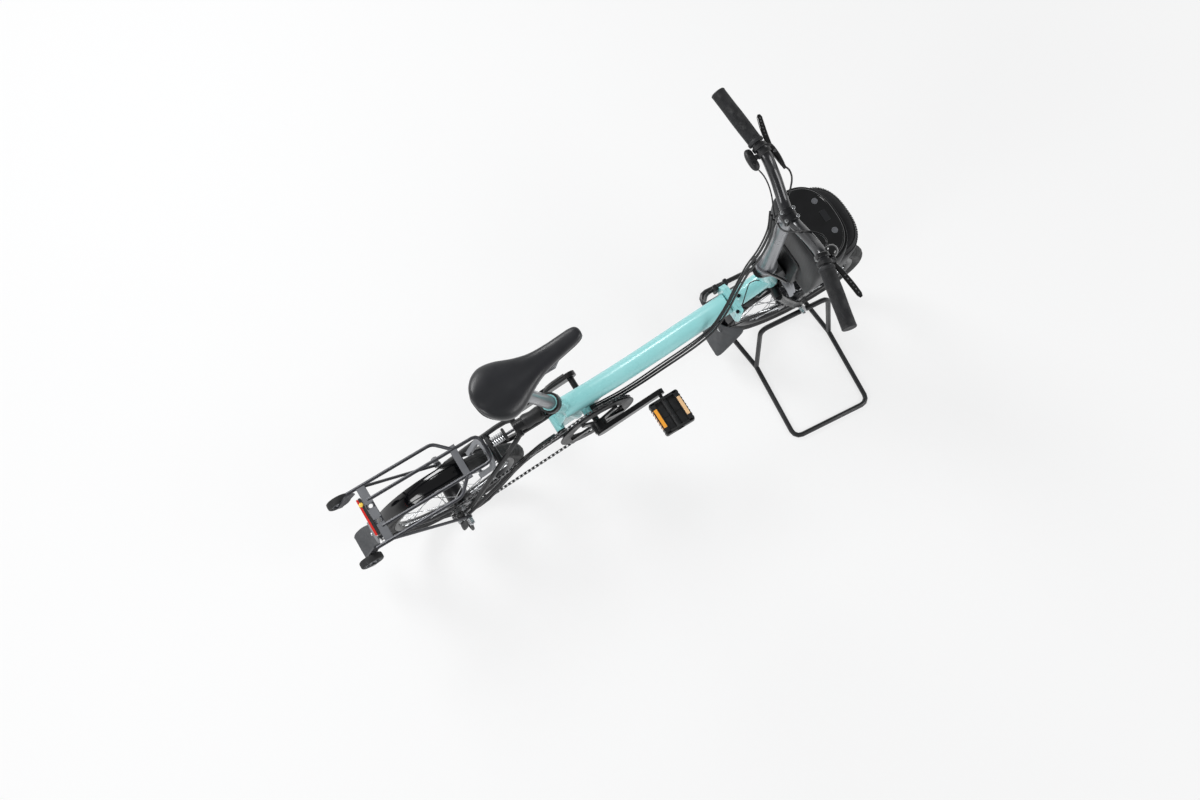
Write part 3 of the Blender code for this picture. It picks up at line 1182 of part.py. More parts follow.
def rear_triangle():
    """Lower stays from the fold pivot to the dropouts, upper stays to the bumper's bracket."""
    frame = cylinder(
        "rear_triangle", BUMPER_RADIUS * 0.85, at(BUMPER_REAR_X - GAP, 0, BUMPER_HEIGHT),
        at(BRIDGE_POINT.x - UPPER_STAY_RADIUS, 0, BUMPER_HEIGHT), ROUND,
    )
    pieces = []
    for side in (1, -1):
        ear_start = PIVOT_CENTRE + SIDE * side * (PIVOT_TUBE_HALF_WIDTH + RUNNING_GAP)
        ear_end = PIVOT_CENTRE + SIDE * side * (EAR_Y + STAY_TUBE_RADIUS)
        pieces.append(cylinder("ear", PIVOT_TUBE_RADIUS, ear_start, ear_end, ROUND))
        lower = [PIVOT_CENTRE + SIDE * side * EAR_Y]
        for share, y in zip(LOWER_STAY_SHARES, (LOWER_STAY_WAIST, LOWER_STAY_MIDDLE)):
            lower.append(PIVOT_CENTRE.lerp(REAR_AXLE, share) + SIDE * side * y)
        lower.append(REAR_AXLE + at(DROPOUT_TONGUE * 2, side * DROPOUT_Y, DROPOUT_LIFT))
        lower.append(REAR_AXLE + at(DROPOUT_TONGUE * 0.7, side * DROPOUT_Y, DROPOUT_LIFT * 0.4))
        pieces.append(tube("lower_stay", smooth(lower, 2), STAY_TUBE_RADIUS, 2))
        bend = BRIDGE_POINT + at(-UPPER_STAY_BACK, UPPER_STAY_SPREAD, -UPPER_STAY_DROP)
        upper = [
            REAR_AXLE + at(DROPOUT_RADIUS * 1.2, side * DROPOUT_Y, DROPOUT_TONGUE * 0.7), mirrored(bend, side),
            mirrored(BRIDGE_POINT, side),
        ]
        pieces.append(tube("upper_stay", smooth(upper, 3), UPPER_STAY_RADIUS, 2))
        pieces.append(dropout(side))
    bridge_end = BRIDGE_POINT + SIDE * UPPER_STAY_RADIUS
    bridge = cylinder("bridge", UPPER_STAY_RADIUS * 1.2, bridge_end, mirrored(bridge_end, -1), ROUND)
    middle = around(REAR_AXLE, BRAKE_BRIDGE_RADIUS, BRAKE_BRIDGE_ANGLE)
    half = SIDE * BRAKE_BRIDGE_HALF_LENGTH
    brake_bridge = cylinder("brake_bridge", STAY_TUBE_RADIUS, middle - half, middle + half, ROUND)
    combine(frame, *pieces, bridge, brake_bridge)
    reach = EAR_Y + STAY_TUBE_RADIUS + OVERRUN
    pin_hole = cylinder("pin_hole", PIVOT_PIN_RADIUS + GAP, PIVOT_CENTRE - SIDE * reach, PIVOT_CENTRE + SIDE * reach, ROUND)
    carve(frame, pin_hole)
    return finish(frame, "black_paint")


def pivot_pin():
    """The rear-fold bolt through both ears."""
    reach = EAR_Y + STAY_TUBE_RADIUS + GAP
    pin = cylinder("pivot_pin", PIVOT_PIN_RADIUS, PIVOT_CENTRE - SIDE * reach, PIVOT_CENTRE + SIDE * reach, ROUND)
    heads = []
    for side in (1, -1):
        start = PIVOT_CENTRE + SIDE * side * reach
        heads.append(cylinder("pin_head", PIVOT_PIN_RADIUS * 1.6, start, start + SIDE * side * GUARD_WALL * 1.5, ROUND))
    return finish(combine(pin, *heads), "bright_alloy")


def bumper():
    """The rubber spring block between the frames."""
    waist = BUMPER_RADIUS * 0.88
    length = BUMPER_FRONT_X - BUMPER_REAR_X
    profile = [
        (0, length), (BUMPER_RADIUS * 0.9, length), (BUMPER_RADIUS, length * 0.85), (waist, length * 0.5),
        (BUMPER_RADIUS, length * 0.15), (BUMPER_RADIUS * 0.9, 0), (0, 0),
    ]
    block = lathe("suspension_block", profile, turned_to(AHEAD, at(BUMPER_REAR_X, 0, BUMPER_HEIGHT)), FINE_ROUND)
    return finish(block, "tyre_rubber")


# Rear rack with its rollers
RACK_ABOVE_GUARD = 0.0355
RACK_ROD_RADIUS = 0.0045
RACK_OUTER_Y = 0.0740
RACK_INNER_Y = 0.0360
RACK_BEHIND_AXLE = 0.2135
REAR_PLATE_BEHIND_AXLE = 0.1775
FRONT_PLATE_AHEAD_OF_AXLE = 0.0545
RACK_LOOP_BEHIND_BRIDGE = 0.0860
RACK_LOOP_BEND = 0.0180
RACK_ROD_BEND = 0.0280
RACK_ROD_STRAIGHT = 0.0370
RACK_PLATE_THICKNESS = 0.0040
REAR_PLATE_HALF_LENGTH = 0.0110
REAR_PLATE_HOLE_RADIUS = 0.0055
REAR_PLATE_HOLE_Y = 0.0200
FRONT_PLATE_HALF_LENGTH = 0.0090
FRONT_PLATE_HALF_WIDTH = 0.0460
BRACE_RISE = 0.0060
ROLLER_BEHIND_RACK = 0.0310
ROLLER_BELOW_RACK = 0.0600
ROLLER_Y = 0.0820
BRACKET_TOP_HALF_LENGTH = 0.0080
BRACKET_WAIST_DROP = 0.0200
BRACKET_EYE_RADIUS = 0.0095
RACK_Z = REAR_AXLE.z + GUARD_INNER_RADIUS + RACK_ABOVE_GUARD
RACK_REAR_X = REAR_AXLE.x - RACK_BEHIND_AXLE
RACK_PLATE_X = REAR_AXLE.x - REAR_PLATE_BEHIND_AXLE
RACK_FRONT_PLATE_X = REAR_AXLE.x + FRONT_PLATE_AHEAD_OF_AXLE
RACK_LOOP_X = BRIDGE_POINT.x - RACK_LOOP_BEHIND_BRIDGE
ROLLER_CENTRE = at(RACK_REAR_X - ROLLER_BEHIND_RACK, ROLLER_Y, RACK_Z - ROLLER_BELOW_RACK)
ROLLER_RADIUS = 0.0300
ROLLER_HALF_WIDTH = 0.0085
ROLLER_PIN_RADIUS = 0.0035
STRUT_FOOT_Y = 0.0795


def rear_rack():
    """Four rods, a slotted plate at each end, struts to the axle and the roller brackets."""
    inner = [
        at(RACK_PLATE_X, -RACK_INNER_Y, RACK_Z), at(RACK_LOOP_X, -RACK_INNER_Y, RACK_Z),
        at(RACK_LOOP_X, RACK_INNER_Y, RACK_Z), at(RACK_PLATE_X, RACK_INNER_Y, RACK_Z),
    ]
    rack = tube("rear_rack", rounded(inner, RACK_LOOP_BEND), RACK_ROD_RADIUS, 2)
    pieces = []
    for side in (1, -1):
        outer = [
            at(RACK_REAR_X, side * RACK_OUTER_Y, RACK_Z), at(RACK_FRONT_PLATE_X - RACK_ROD_STRAIGHT, side * RACK_OUTER_Y, RACK_Z),
            at(RACK_FRONT_PLATE_X, side * RACK_INNER_Y, RACK_Z),
        ]
        pieces.append(tube("outer_rod", rounded(outer, RACK_ROD_BEND), RACK_ROD_RADIUS, 2))
        bracket_y = side * (ROLLER_CENTRE.y - ROLLER_HALF_WIDTH - RUNNING_GAP * 2 - RACK_PLATE_THICKNESS / 2)
        top, x = BRACKET_TOP_HALF_LENGTH, RACK_REAR_X + RACK_PLATE_THICKNESS / 2
        outline = [
            (x + top, RACK_Z + RACK_ROD_RADIUS * 0.5), (x - top, RACK_Z + RACK_ROD_RADIUS * 0.5),
            (ROLLER_CENTRE.x - BRACKET_EYE_RADIUS, ROLLER_CENTRE.z), (ROLLER_CENTRE.x, ROLLER_CENTRE.z - BRACKET_EYE_RADIUS),
            (ROLLER_CENTRE.x + BRACKET_EYE_RADIUS, ROLLER_CENTRE.z), (x + top * 1.75, RACK_Z - BRACKET_WAIST_DROP),
        ]
        pieces.append(plate("roller_bracket", outline, RACK_PLATE_THICKNESS, framed(at(0, bracket_y, 0), AHEAD, UP)))
        start = mirrored(ROLLER_CENTRE, side)
        start.y = bracket_y
        end = mirrored(ROLLER_CENTRE, side) + SIDE * side * (ROLLER_HALF_WIDTH + RACK_ROD_RADIUS)
        pieces.append(cylinder("roller_pin", ROLLER_PIN_RADIUS, start, end, 12))
        head_start = mirrored(ROLLER_CENTRE, side) + SIDE * side * (ROLLER_HALF_WIDTH + RUNNING_GAP)
        pieces.append(cylinder("roller_pin_head", ROLLER_PIN_RADIUS * 2, head_start, end, 12))
        strut = [at(RACK_PLATE_X, side * (RACK_OUTER_Y - OVERLAP), RACK_Z - OVERLAP / 2), REAR_AXLE + SIDE * side * STRUT_FOOT_Y]
        pieces.append(tube("strut", strut, RACK_ROD_RADIUS * 0.9, 2))
        foot = REAR_AXLE + SIDE * side * STRUT_FOOT_Y
        half = SIDE * (RACK_ROD_RADIUS - RUNNING_GAP / 2)
        pieces.append(cylinder("strut_eye", RACK_ROD_RADIUS * 2.2, foot - half, foot + half, ROUND))
    rear_half = RACK_OUTER_Y
    size = REAR_PLATE_HALF_LENGTH
    outline = [(-size, -rear_half), (size, -rear_half), (size, rear_half), (-size, rear_half)]
    holes = [circle(REAR_PLATE_HOLE_RADIUS, 12, (0.0, side * REAR_PLATE_HOLE_Y)) for side in (1, -1)]
    pieces.append(plate("rear_plate", outline, RACK_PLATE_THICKNESS, framed(at(RACK_PLATE_X, 0, RACK_Z), AHEAD, SIDE), holes))
    length, width = FRONT_PLATE_HALF_LENGTH, FRONT_PLATE_HALF_WIDTH
    front = [(-length, -width), (length, -width), (length, width), (-length, width)]
    pieces.append(plate("front_plate", front, RACK_PLATE_THICKNESS, framed(at(RACK_FRONT_PLATE_X, 0, RACK_Z), AHEAD, SIDE)))
    brace_end = BRIDGE_POINT.x - UPPER_STAY_RADIUS - RUNNING_GAP
    brace = [at(RACK_LOOP_X, 0, RACK_Z), at(brace_end, 0, RACK_Z + BRACE_RISE)]
    pieces.append(tube("brace", brace, RACK_ROD_RADIUS * 0.8, 2))
    combine(rack, *pieces)
    reach = STRUT_FOOT_Y + OVERRUN * 2
    axle_hole = cylinder("axle_hole", AXLE_RADIUS + GAP, REAR_AXLE - SIDE * reach, REAR_AXLE + SIDE * reach, ROUND)
    carve(rack, axle_hole)
    return finish(rack, "black_paint")


def roller(name, side):
    """A small rubber-tyred wheel at the rack's end."""
    bore = ROLLER_PIN_RADIUS + GAP * 2
    half = (
        (bore, ROLLER_HALF_WIDTH), (ROLLER_RADIUS * 0.35, ROLLER_HALF_WIDTH), (ROLLER_RADIUS * 0.45, ROLLER_HALF_WIDTH * 0.6),
        (ROLLER_RADIUS * 0.68, ROLLER_HALF_WIDTH * 0.6), (ROLLER_RADIUS * 0.74, ROLLER_HALF_WIDTH), (ROLLER_RADIUS * 0.94, ROLLER_HALF_WIDTH),
        (ROLLER_RADIUS, ROLLER_HALF_WIDTH * 0.6),
    )
    loop = list(half) + [(radius, -height) for radius, height in reversed(half)]
    loop.append(loop[0])
    return finish(lathe(name, loop, turned_to(SIDE, mirrored(ROLLER_CENTRE, side)), FINE_ROUND), "tyre_rubber")


def rear_mudguard():
    """The rear guard, hung from the rack's front plate."""
    top = at(RACK_FRONT_PLATE_X, 0, RACK_Z - RACK_PLATE_THICKNESS / 2 - GAP)
    drop = top - REAR_AXLE
    foot = top - UP * (top.z - REAR_AXLE.z - math.sqrt((GUARD_INNER_RADIUS + GUARD_CROWN) ** 2 - drop.x**2))
    post = cylinder("guard_post", RACK_ROD_RADIUS, foot, top, 12)
    foot_angle = REAR_GUARD_START + REAR_GUARD_SWEEP - math.radians(10)
    foot = around(REAR_AXLE, DROPOUT_RADIUS * 0.7, foot_angle, DROPOUT_Y - DROPOUT_THICKNESS / 2 - STAY_RADIUS - GAP)
    wires = guard_stays(REAR_AXLE, foot_angle, foot)
    return mudguard("rear_mudguard", REAR_AXLE, REAR_GUARD_START, REAR_GUARD_SWEEP, [post, *wires], "gloss_plastic")


LIGHT_DEPTH = 0.0120
LIGHT_WIDTH = 0.1000
LIGHT_HEIGHT = 0.0160


def rear_light():
    """The lamp bar on the rear edge of the rack's plate."""
    x = RACK_PLATE_X - REAR_PLATE_HALF_LENGTH - GAP - LIGHT_DEPTH / 2
    size = (LIGHT_DEPTH, LIGHT_WIDTH, LIGHT_HEIGHT)
    return finish(box("rear_light", size, at(x, 0, RACK_Z - LIGHT_HEIGHT / 4), bevel=LIGHT_DEPTH / 5), "red_lens")


# Chain drive
CHAINRING_TEETH = 50
TENSIONER_TEETH = 11
GUIDE_AHEAD_OF_AXLE = 0.0485
GUIDE_BELOW_AXLE = 0.0540
JOCKEY_BEHIND_AXLE = 0.0135
JOCKEY_BELOW_AXLE = 0.0810
GUIDE_CENTRE = REAR_AXLE + at(GUIDE_AHEAD_OF_AXLE, CHAIN_LINE, -GUIDE_BELOW_AXLE)
JOCKEY_CENTRE = REAR_AXLE + at(-JOCKEY_BEHIND_AXLE, CHAIN_LINE, -JOCKEY_BELOW_AXLE)
HANGER_BEHIND_AXLE = 0.0040
HANGER_BELOW_AXLE = 0.0215
HANGER_OUT = 0.0215
ELBOW_AHEAD = 0.0060
ELBOW_OUT = 0.0060
ELBOW_RISE = 0.0160
PULLEY_THICKNESS = 0.0022


def belt_route():
    """The chain's line round the chainring, the sprocket and the two jockey wheels, in the XZ plane."""
    wheels = (
        (BRACKET_CENTRE, pitch_radius(CHAINRING_TEETH), -1), (JOCKEY_CENTRE, pitch_radius(TENSIONER_TEETH), -1),
        (GUIDE_CENTRE, pitch_radius(TENSIONER_TEETH), 1), (REAR_AXLE, pitch_radius(SPROCKET_TEETH), -1),
    )
    count = len(wheels)
    leaving, arriving = [None] * count, [None] * count
    for i in range(count):
        (a, ra, sa), (b, rb, sb) = wheels[i], wheels[(i + 1) % count]
        dx, dz = b.x - a.x, b.z - a.z
        distance = math.hypot(dx, dz)
        base = math.atan2(dz, dx)
        swing = math.acos((ra * sa - rb * sb) / distance)
        normal = base - swing
        leaving[i] = (a.x + sa * ra * math.cos(normal), a.z + sa * ra * math.sin(normal))
        arriving[(i + 1) % count] = (b.x + sb * rb * math.cos(normal), b.z + sb * rb * math.sin(normal))
    path = []
    for i, (centre, radius, sense) in enumerate(wheels):
        first = math.atan2(arriving[i][1] - centre.z, arriving[i][0] - centre.x)
        last = math.atan2(leaving[i][1] - centre.z, leaving[i][0] - centre.x)
        sweep = (last - first) * sense % (2 * math.pi)
        steps = max(3, int(sweep / math.radians(6)))
        for k in range(steps + 1):
            angle = first + sense * sweep * k / steps
            path.append((centre.x + radius * math.cos(angle), centre.z + radius * math.sin(angle)))
    return path


def evenly(path, spacing):
    """Read points at an even spacing along a closed line, a whole number of links."""
    closed = path + [path[0]]
    lengths = [math.dist(a, b) for a, b in zip(closed, closed[1:])]
    total = sum(lengths)
    count = 2 * round(total / spacing)
    points, span, walked = [], 0, 0.0
    for k in range(count):
        goal = total * k / count
        while walked + lengths[span] < goal:
            walked += lengths[span]
            span += 1
        share = (goal - walked) / lengths[span]
        a, b = closed[span], closed[span + 1]
        points.append((a[0] + (b[0] - a[0]) * share, a[1] + (b[1] - a[1]) * share))
    return points


def chain():
    """The chain as a closed loft: tall at each pin, waisted between, alternately wide and narrow."""
    points = evenly(belt_route(), CHAIN_PITCH)
    count = len(points)
    sections = []
    for i, (x, z) in enumerate(points):
        before, after = points[i - 1], points[(i + 1) % count]
        along = Vector((after[0] - before[0], 0, after[1] - before[1])).normalized()
        across = Vector((-along.z, 0, along.x))
        at_pin = i % 2 == 0
        height = CHAIN_HALF_HEIGHT * (1.0 if at_pin else 0.62)
        width = CHAIN_HALF_WIDTH * (1.0 if i % 4 in (0, 1) else 0.72)
        middle = at(x, CHAIN_LINE, z)
        sections.append([
            middle + across * height + SIDE * width, middle + across * height - SIDE * width,
            middle - across * height - SIDE * width, middle - across * height + SIDE * width,
        ])
    return finish(loft("chain", sections, closed=True), "chain_steel", 20.0)


def chain_tensioner():
    """Two jockey wheels between a pair of cage plates, hung from the right dropout."""
    cage = []
    for y in (CHAIN_LINE - CHAIN_HALF_WIDTH - RUNNING_GAP * 2, CHAIN_LINE + CHAIN_HALF_WIDTH + RUNNING_GAP * 2):
        along = (JOCKEY_CENTRE - GUIDE_CENTRE).normalized()
        outline = []
        length = (JOCKEY_CENTRE - GUIDE_CENTRE).length
        size = CHAIN_HALF_HEIGHT * 1.7
        for k in range(7):
            turn = math.pi / 2 + math.pi * k / 6
            outline.append((size * math.cos(turn), size * math.sin(turn)))
        for k in range(7):
            turn = -math.pi / 2 + math.pi * k / 6
            outline.append((length + size * math.cos(turn), size * math.sin(turn)))
        origin = Vector((GUIDE_CENTRE.x, y, GUIDE_CENTRE.z))
        cage.append(plate("cage", outline, GUARD_WALL, framed(origin, along, Vector((-along.z, 0, along.x)))))
    body = cage[0]
    body.name = "chain_tensioner"
    pieces = [cage[1]]
    pieces.append(toothed("guide_wheel", TENSIONER_TEETH, GUIDE_CENTRE, PULLEY_THICKNESS, 0))
    pieces.append(toothed("jockey_wheel", TENSIONER_TEETH, JOCKEY_CENTRE, PULLEY_THICKNESS, 0))
    for centre in (GUIDE_CENTRE, JOCKEY_CENTRE):
        half = CHAIN_HALF_WIDTH + RUNNING_GAP * 2
        pieces.append(cylinder("jockey_axle", CHAIN_HALF_HEIGHT * 0.8, centre - SIDE * half, centre + SIDE * half, 12))
    hanger_y = -DROPOUT_Y - STAY_TUBE_RADIUS - HANGER_OUT
    hanger_top = REAR_AXLE + at(-HANGER_BEHIND_AXLE, hanger_y, -HANGER_BELOW_AXLE)
    elbow = at(JOCKEY_CENTRE.x + ELBOW_AHEAD, hanger_y - ELBOW_OUT, JOCKEY_CENTRE.z + ELBOW_RISE)
    arm = [hanger_top, elbow, JOCKEY_CENTRE - SIDE * (CHAIN_HALF_WIDTH + RUNNING_GAP * 2)]
    pieces.append(tube("tension_arm", smooth(arm, 3), CHAIN_HALF_HEIGHT * 1.1, 2))
    combine(body, *pieces)
    return finish(body, "black_plastic")


# Crankset and pedals
CRANK_LENGTH = 0.1700
CRANK_Y = 0.0830
CRANK_HALF_THICKNESS = 0.0065
CRANK_BOSS_RADIUS = 0.0180
CRANK_TIP_RADIUS = 0.0130
SPIDER_ARMS = 5
SPIDER_ROOT_HALF_WIDTH = 0.0110
SPIDER_TIP_HALF_WIDTH = 0.0060
RING_INNER_RADIUS = 0.0745
RING_THICKNESS = 0.0040
GUARD_RING_OUTER = 0.1080
GUARD_RING_INNER = 0.0940
GUARD_RING_Y = -0.0560
PEDAL_SPINDLE_RADIUS = 0.0048
PEDAL_LENGTH = 0.0900
PEDAL_HALF_DEPTH = 0.0420
PEDAL_HEIGHT = 0.0260
PEDAL_START = 0.0150
FOLD_PEDAL_START = 0.0195


def crank_direction(side):
    """The direction of the right or left crank arm."""
    sign = 1 if side < 0 else -1
    return Vector((math.cos(CRANK_ANGLE), 0, math.sin(CRANK_ANGLE))) * sign


def crank_arm(name, side):
    """A tapered arm from the axle's boss to the pedal's eye."""
    direction = crank_direction(side)
    across = Vector((-direction.z, 0, direction.x))
    outline = []
    for k in range(9):
        turn = math.pi / 2 + math.pi * k / 8
        outline.append((CRANK_BOSS_RADIUS * math.cos(turn), CRANK_BOSS_RADIUS * math.sin(turn)))
    for k in range(9):
        turn = -math.pi / 2 + math.pi * k / 8
        outline.append((CRANK_LENGTH + CRANK_TIP_RADIUS * math.cos(turn), CRANK_TIP_RADIUS * math.sin(turn)))
    origin = BRACKET_CENTRE + SIDE * side * CRANK_Y
    return plate(name, outline, CRANK_HALF_THICKNESS * 2, framed(origin, direction, across))


def cranks():
    """Axle, both arms, the right arm's spider and the right pedal's spindle."""
    reach = CRANK_Y + CRANK_HALF_THICKNESS - OVERLAP
    axle = cylinder("cranks", CRANK_AXLE_RADIUS, BRACKET_CENTRE - SIDE * reach, BRACKET_CENTRE + SIDE * reach, ROUND)
    right, left = crank_arm("right_arm", -1), crank_arm("left_arm", 1)
    spider_y = GUARD_RING_Y - RING_THICKNESS
    hub_start = BRACKET_CENTRE + SIDE * spider_y
    hub = cylinder("spider_hub", CRANK_BOSS_RADIUS * 1.15, hub_start + SIDE * RING_THICKNESS, BRACKET_CENTRE - SIDE * CRANK_Y, FINE_ROUND)
    arm_middle = BRACKET_CENTRE + SIDE * (GUARD_RING_Y - RING_THICKNESS - GAP)
    arms = []
    for i in range(SPIDER_ARMS):
        turn = CRANK_ANGLE + math.pi / SPIDER_ARMS + 2 * math.pi * i / SPIDER_ARMS
        direction = Vector((math.cos(turn), 0, math.sin(turn)))
        across = Vector((-direction.z, 0, direction.x))
        tip = RING_INNER_RADIUS + OVERLAP * 3
        root, end = SPIDER_ROOT_HALF_WIDTH, SPIDER_TIP_HALF_WIDTH
        outline = [(0, -root), (tip, -end), (tip, end), (0, root)]
        arms.append(plate("spider_arm", outline, RING_THICKNESS * 1.5, framed(arm_middle, direction, across)))
    eye = BRACKET_CENTRE + crank_direction(-1) * CRANK_LENGTH - SIDE * CRANK_Y
    spindle = cylinder(
        "right_spindle", PEDAL_SPINDLE_RADIUS, eye, eye - SIDE * (PEDAL_START + PEDAL_LENGTH * 0.9), 12
    )
    combine(axle, right, left, hub, *arms, spindle, *fold_ears())
    return finish(axle, "black_paint")


def chainring():
    """The toothed ring and the trouser guard, bolted together through five spacers."""
    root = pitch_radius(CHAINRING_TEETH)
    centre = BRACKET_CENTRE + SIDE * CHAIN_LINE
    ring = toothed("chainring", CHAINRING_TEETH, centre, RING_THICKNESS / 2, RING_INNER_RADIUS)
    guard = plate(
        "ring_guard", circle(GUARD_RING_OUTER, WHEEL_FACETS), RING_THICKNESS / 2,
        framed(BRACKET_CENTRE + SIDE * GUARD_RING_Y, AHEAD, UP), [circle(RING_INNER_RADIUS, WHEEL_FACETS)],
    )
    spacers = []
    middle = (RING_INNER_RADIUS + root - CHAIN_HALF_HEIGHT * 2.4) / 2 + OVERLAP
    for i in range(SPIDER_ARMS):
        turn = CRANK_ANGLE + math.pi / SPIDER_ARMS + 2 * math.pi * i / SPIDER_ARMS
        spot = around(BRACKET_CENTRE, middle, turn)
        spacers.append(cylinder("spacer", OVERLAP * 2, spot + SIDE * CHAIN_LINE, spot + SIDE * GUARD_RING_Y, 12))
    combine(ring, guard, *spacers)
    return finish(ring, "black_paint")


def pedal(name, side, eye, start):
    """A cage pedal: barrel, two end plates and two treads, on its spindle."""
    inner = eye + SIDE * side * start
    outer = inner + SIDE * side * PEDAL_LENGTH
    body = cylinder(name, PEDAL_SPINDLE_RADIUS * 2.2, inner, outer, ROUND)
    plate_size = (PEDAL_HALF_DEPTH * 2, PEDAL_LENGTH * 0.09, PEDAL_HEIGHT)
    pieces = []
    for spot in (inner, outer):
        inset = plate_size[1] / 2 * (1 if spot is inner else -1)
        pieces.append(box("pedal_end", plate_size, spot + SIDE * side * inset, bevel=PEDAL_HEIGHT / 8))
    for ahead in (1, -1):
        size = (PEDAL_HALF_DEPTH * 0.34, PEDAL_LENGTH * 0.96, PEDAL_HEIGHT * 0.92)
        spot = (inner + outer) / 2 + AHEAD * ahead * (PEDAL_HALF_DEPTH - size[0] / 2)
        pieces.append(box("tread", size, spot, bevel=PEDAL_HEIGHT / 8))
    combine(body, *pieces)
    bore = cylinder("spindle_bore", PEDAL_SPINDLE_RADIUS + RUNNING_GAP, inner - SIDE * side * OVERRUN, outer + SIDE * side * OVERRUN, 12)
    carve(body, bore)
    return finish(body, "black_plastic")


FOLD_OFFSET = 0.0165
FOLD_BARREL_RADIUS = 0.0075
FOLD_BARREL_HALF_LENGTH = 0.0085
FOLD_PIN_RADIUS = 0.0028
FOLD_EAR_THICKNESS = 0.0038


def fold_point():
    """The middle of the left pedal's folding pin, outside the crank's eye."""
    return BRACKET_CENTRE + crank_direction(1) * CRANK_LENGTH + SIDE * (CRANK_Y + FOLD_OFFSET)


def fold_ears():
    """The two ears and the pin that the left crank's end carries."""
    direction = crank_direction(1)
    middle = fold_point()
    pieces = []
    for end in (1, -1):
        offset = direction * end * (FOLD_BARREL_HALF_LENGTH + RUNNING_GAP / 2 + FOLD_EAR_THICKNESS / 2)
        size = (FOLD_EAR_THICKNESS, FOLD_OFFSET + FOLD_BARREL_RADIUS * 0.7, FOLD_BARREL_RADIUS * 1.8)
        spot = middle + offset + SIDE * (FOLD_BARREL_RADIUS * 0.7 - size[1] / 2)
        pieces.append(box("fold_ear", size, at(0, 0, 0), framed(spot, direction, SIDE)))
    reach = direction * (FOLD_BARREL_HALF_LENGTH + FOLD_EAR_THICKNESS / 2)
    pieces.append(cylinder("fold_pin", FOLD_PIN_RADIUS, middle - reach, middle + reach, ROUND))
    return pieces


def pedal_hinge():
    """The left pedal's folding barrel, with the spindle that carries the pedal."""
    direction = crank_direction(1)
    middle = fold_point()
    barrel_half = direction * FOLD_BARREL_HALF_LENGTH
    barrel = cylinder("pedal_hinge", FOLD_BARREL_RADIUS, middle - barrel_half, middle + barrel_half, FINE_ROUND)
    start = middle + SIDE * FOLD_PIN_RADIUS
    end = middle + SIDE * (FOLD_PEDAL_START + PEDAL_LENGTH * 0.9)
    combine(barrel, cylinder("left_spindle", PEDAL_SPINDLE_RADIUS, start, end, ROUND))
    reach = direction * (FOLD_BARREL_HALF_LENGTH + OVERRUN)
    carve(barrel, cylinder("fold_bore", FOLD_PIN_RADIUS + RUNNING_GAP, middle - reach, middle + reach, ROUND))
    return finish(barrel, "bright_alloy")


# Seat
POST_TOP_DISTANCE = 0.3700
POST_FOOT_DISTANCE = 0.1050
CLAMP_OUTER_RADIUS = 0.0255
CLAMP_HEIGHT = 0.0240
POST_TOP = SEAT_RING_POINT + SEAT_AXIS * POST_TOP_DISTANCE
SADDLE_LENGTH = 0.2600
SADDLE_NOSE_REACH = 0.1848
SADDLE_RISE = 0.0746
SADDLE_TAIL_LIFT = 0.0080
SADDLE_NOSE_X = POST_TOP.x + SADDLE_NOSE_REACH
SADDLE_TAIL_X = SADDLE_NOSE_X - SADDLE_LENGTH
SADDLE_NOSE_Z = POST_TOP.z + SADDLE_RISE
SADDLE_TAIL_Z = SADDLE_NOSE_Z + SADDLE_TAIL_LIFT
SADDLE_CLAMP_RADIUS = 0.0165
SADDLE_CLAMP_HALF_WIDTH = 0.0240
SEAT_LEVER_OUT = 0.0120
SEAT_LEVER_LENGTH = 0.0620
SADDLE_HALF_WIDTH = 0.0820
SADDLE_DEPTH = 0.0380
SADDLE_DIP = 0.0060
SADDLE_FLOOR_SHARE = 0.85
SADDLE_PLAN_SHARES = (
    (0.0, 0.12), (0.03, 0.21), (0.12, 0.25), (0.35, 0.30), (0.52, 0.43), (0.68, 0.70), (0.82, 0.94), (0.93, 1.0), (0.985, 0.86), (1.0, 0.66),
)
RAIL_RADIUS = 0.0035
RAIL_FRONT_SHARE = 0.20
RAIL_REAR_SHARE = 0.86
RAIL_FRONT_Y = 0.0100
RAIL_REAR_Y = 0.0340


def seat_clamp():
    """The split collar at the seat tube's top, with its bolt and lever."""
    low = SEAT_RING_POINT + SEAT_AXIS * (SEAT_TUBE_ABOVE_RING - CLAMP_HEIGHT)
    bore = SEAT_TUBE_RADIUS / math.cos(math.pi / FINE_ROUND) + GAP
    ring = [
        (CLAMP_OUTER_RADIUS, CLAMP_HEIGHT), (CLAMP_OUTER_RADIUS, 0), (bore, 0), (bore, CLAMP_HEIGHT), (CLAMP_OUTER_RADIUS, CLAMP_HEIGHT),
    ]
    collar = lathe("seat_clamp", ring, turned_to(SEAT_AXIS, low), FINE_ROUND)
    middle = low + SEAT_AXIS * CLAMP_HEIGHT / 2
    root = middle + SIDE * (CLAMP_OUTER_RADIUS - OVERLAP)
    bend = root + at(SEAT_LEVER_OUT, SEAT_LEVER_OUT, OVERLAP)
    tip = root + at(SEAT_LEVER_LENGTH, SEAT_LEVER_OUT * 1.35, OVERLAP * 2)
    lever = tube(
        "seat_lever", smooth([root, bend, tip], 3), CLAMP_HEIGHT / 5, 2
    )
    return finish(combine(collar, lever), "black_plastic")


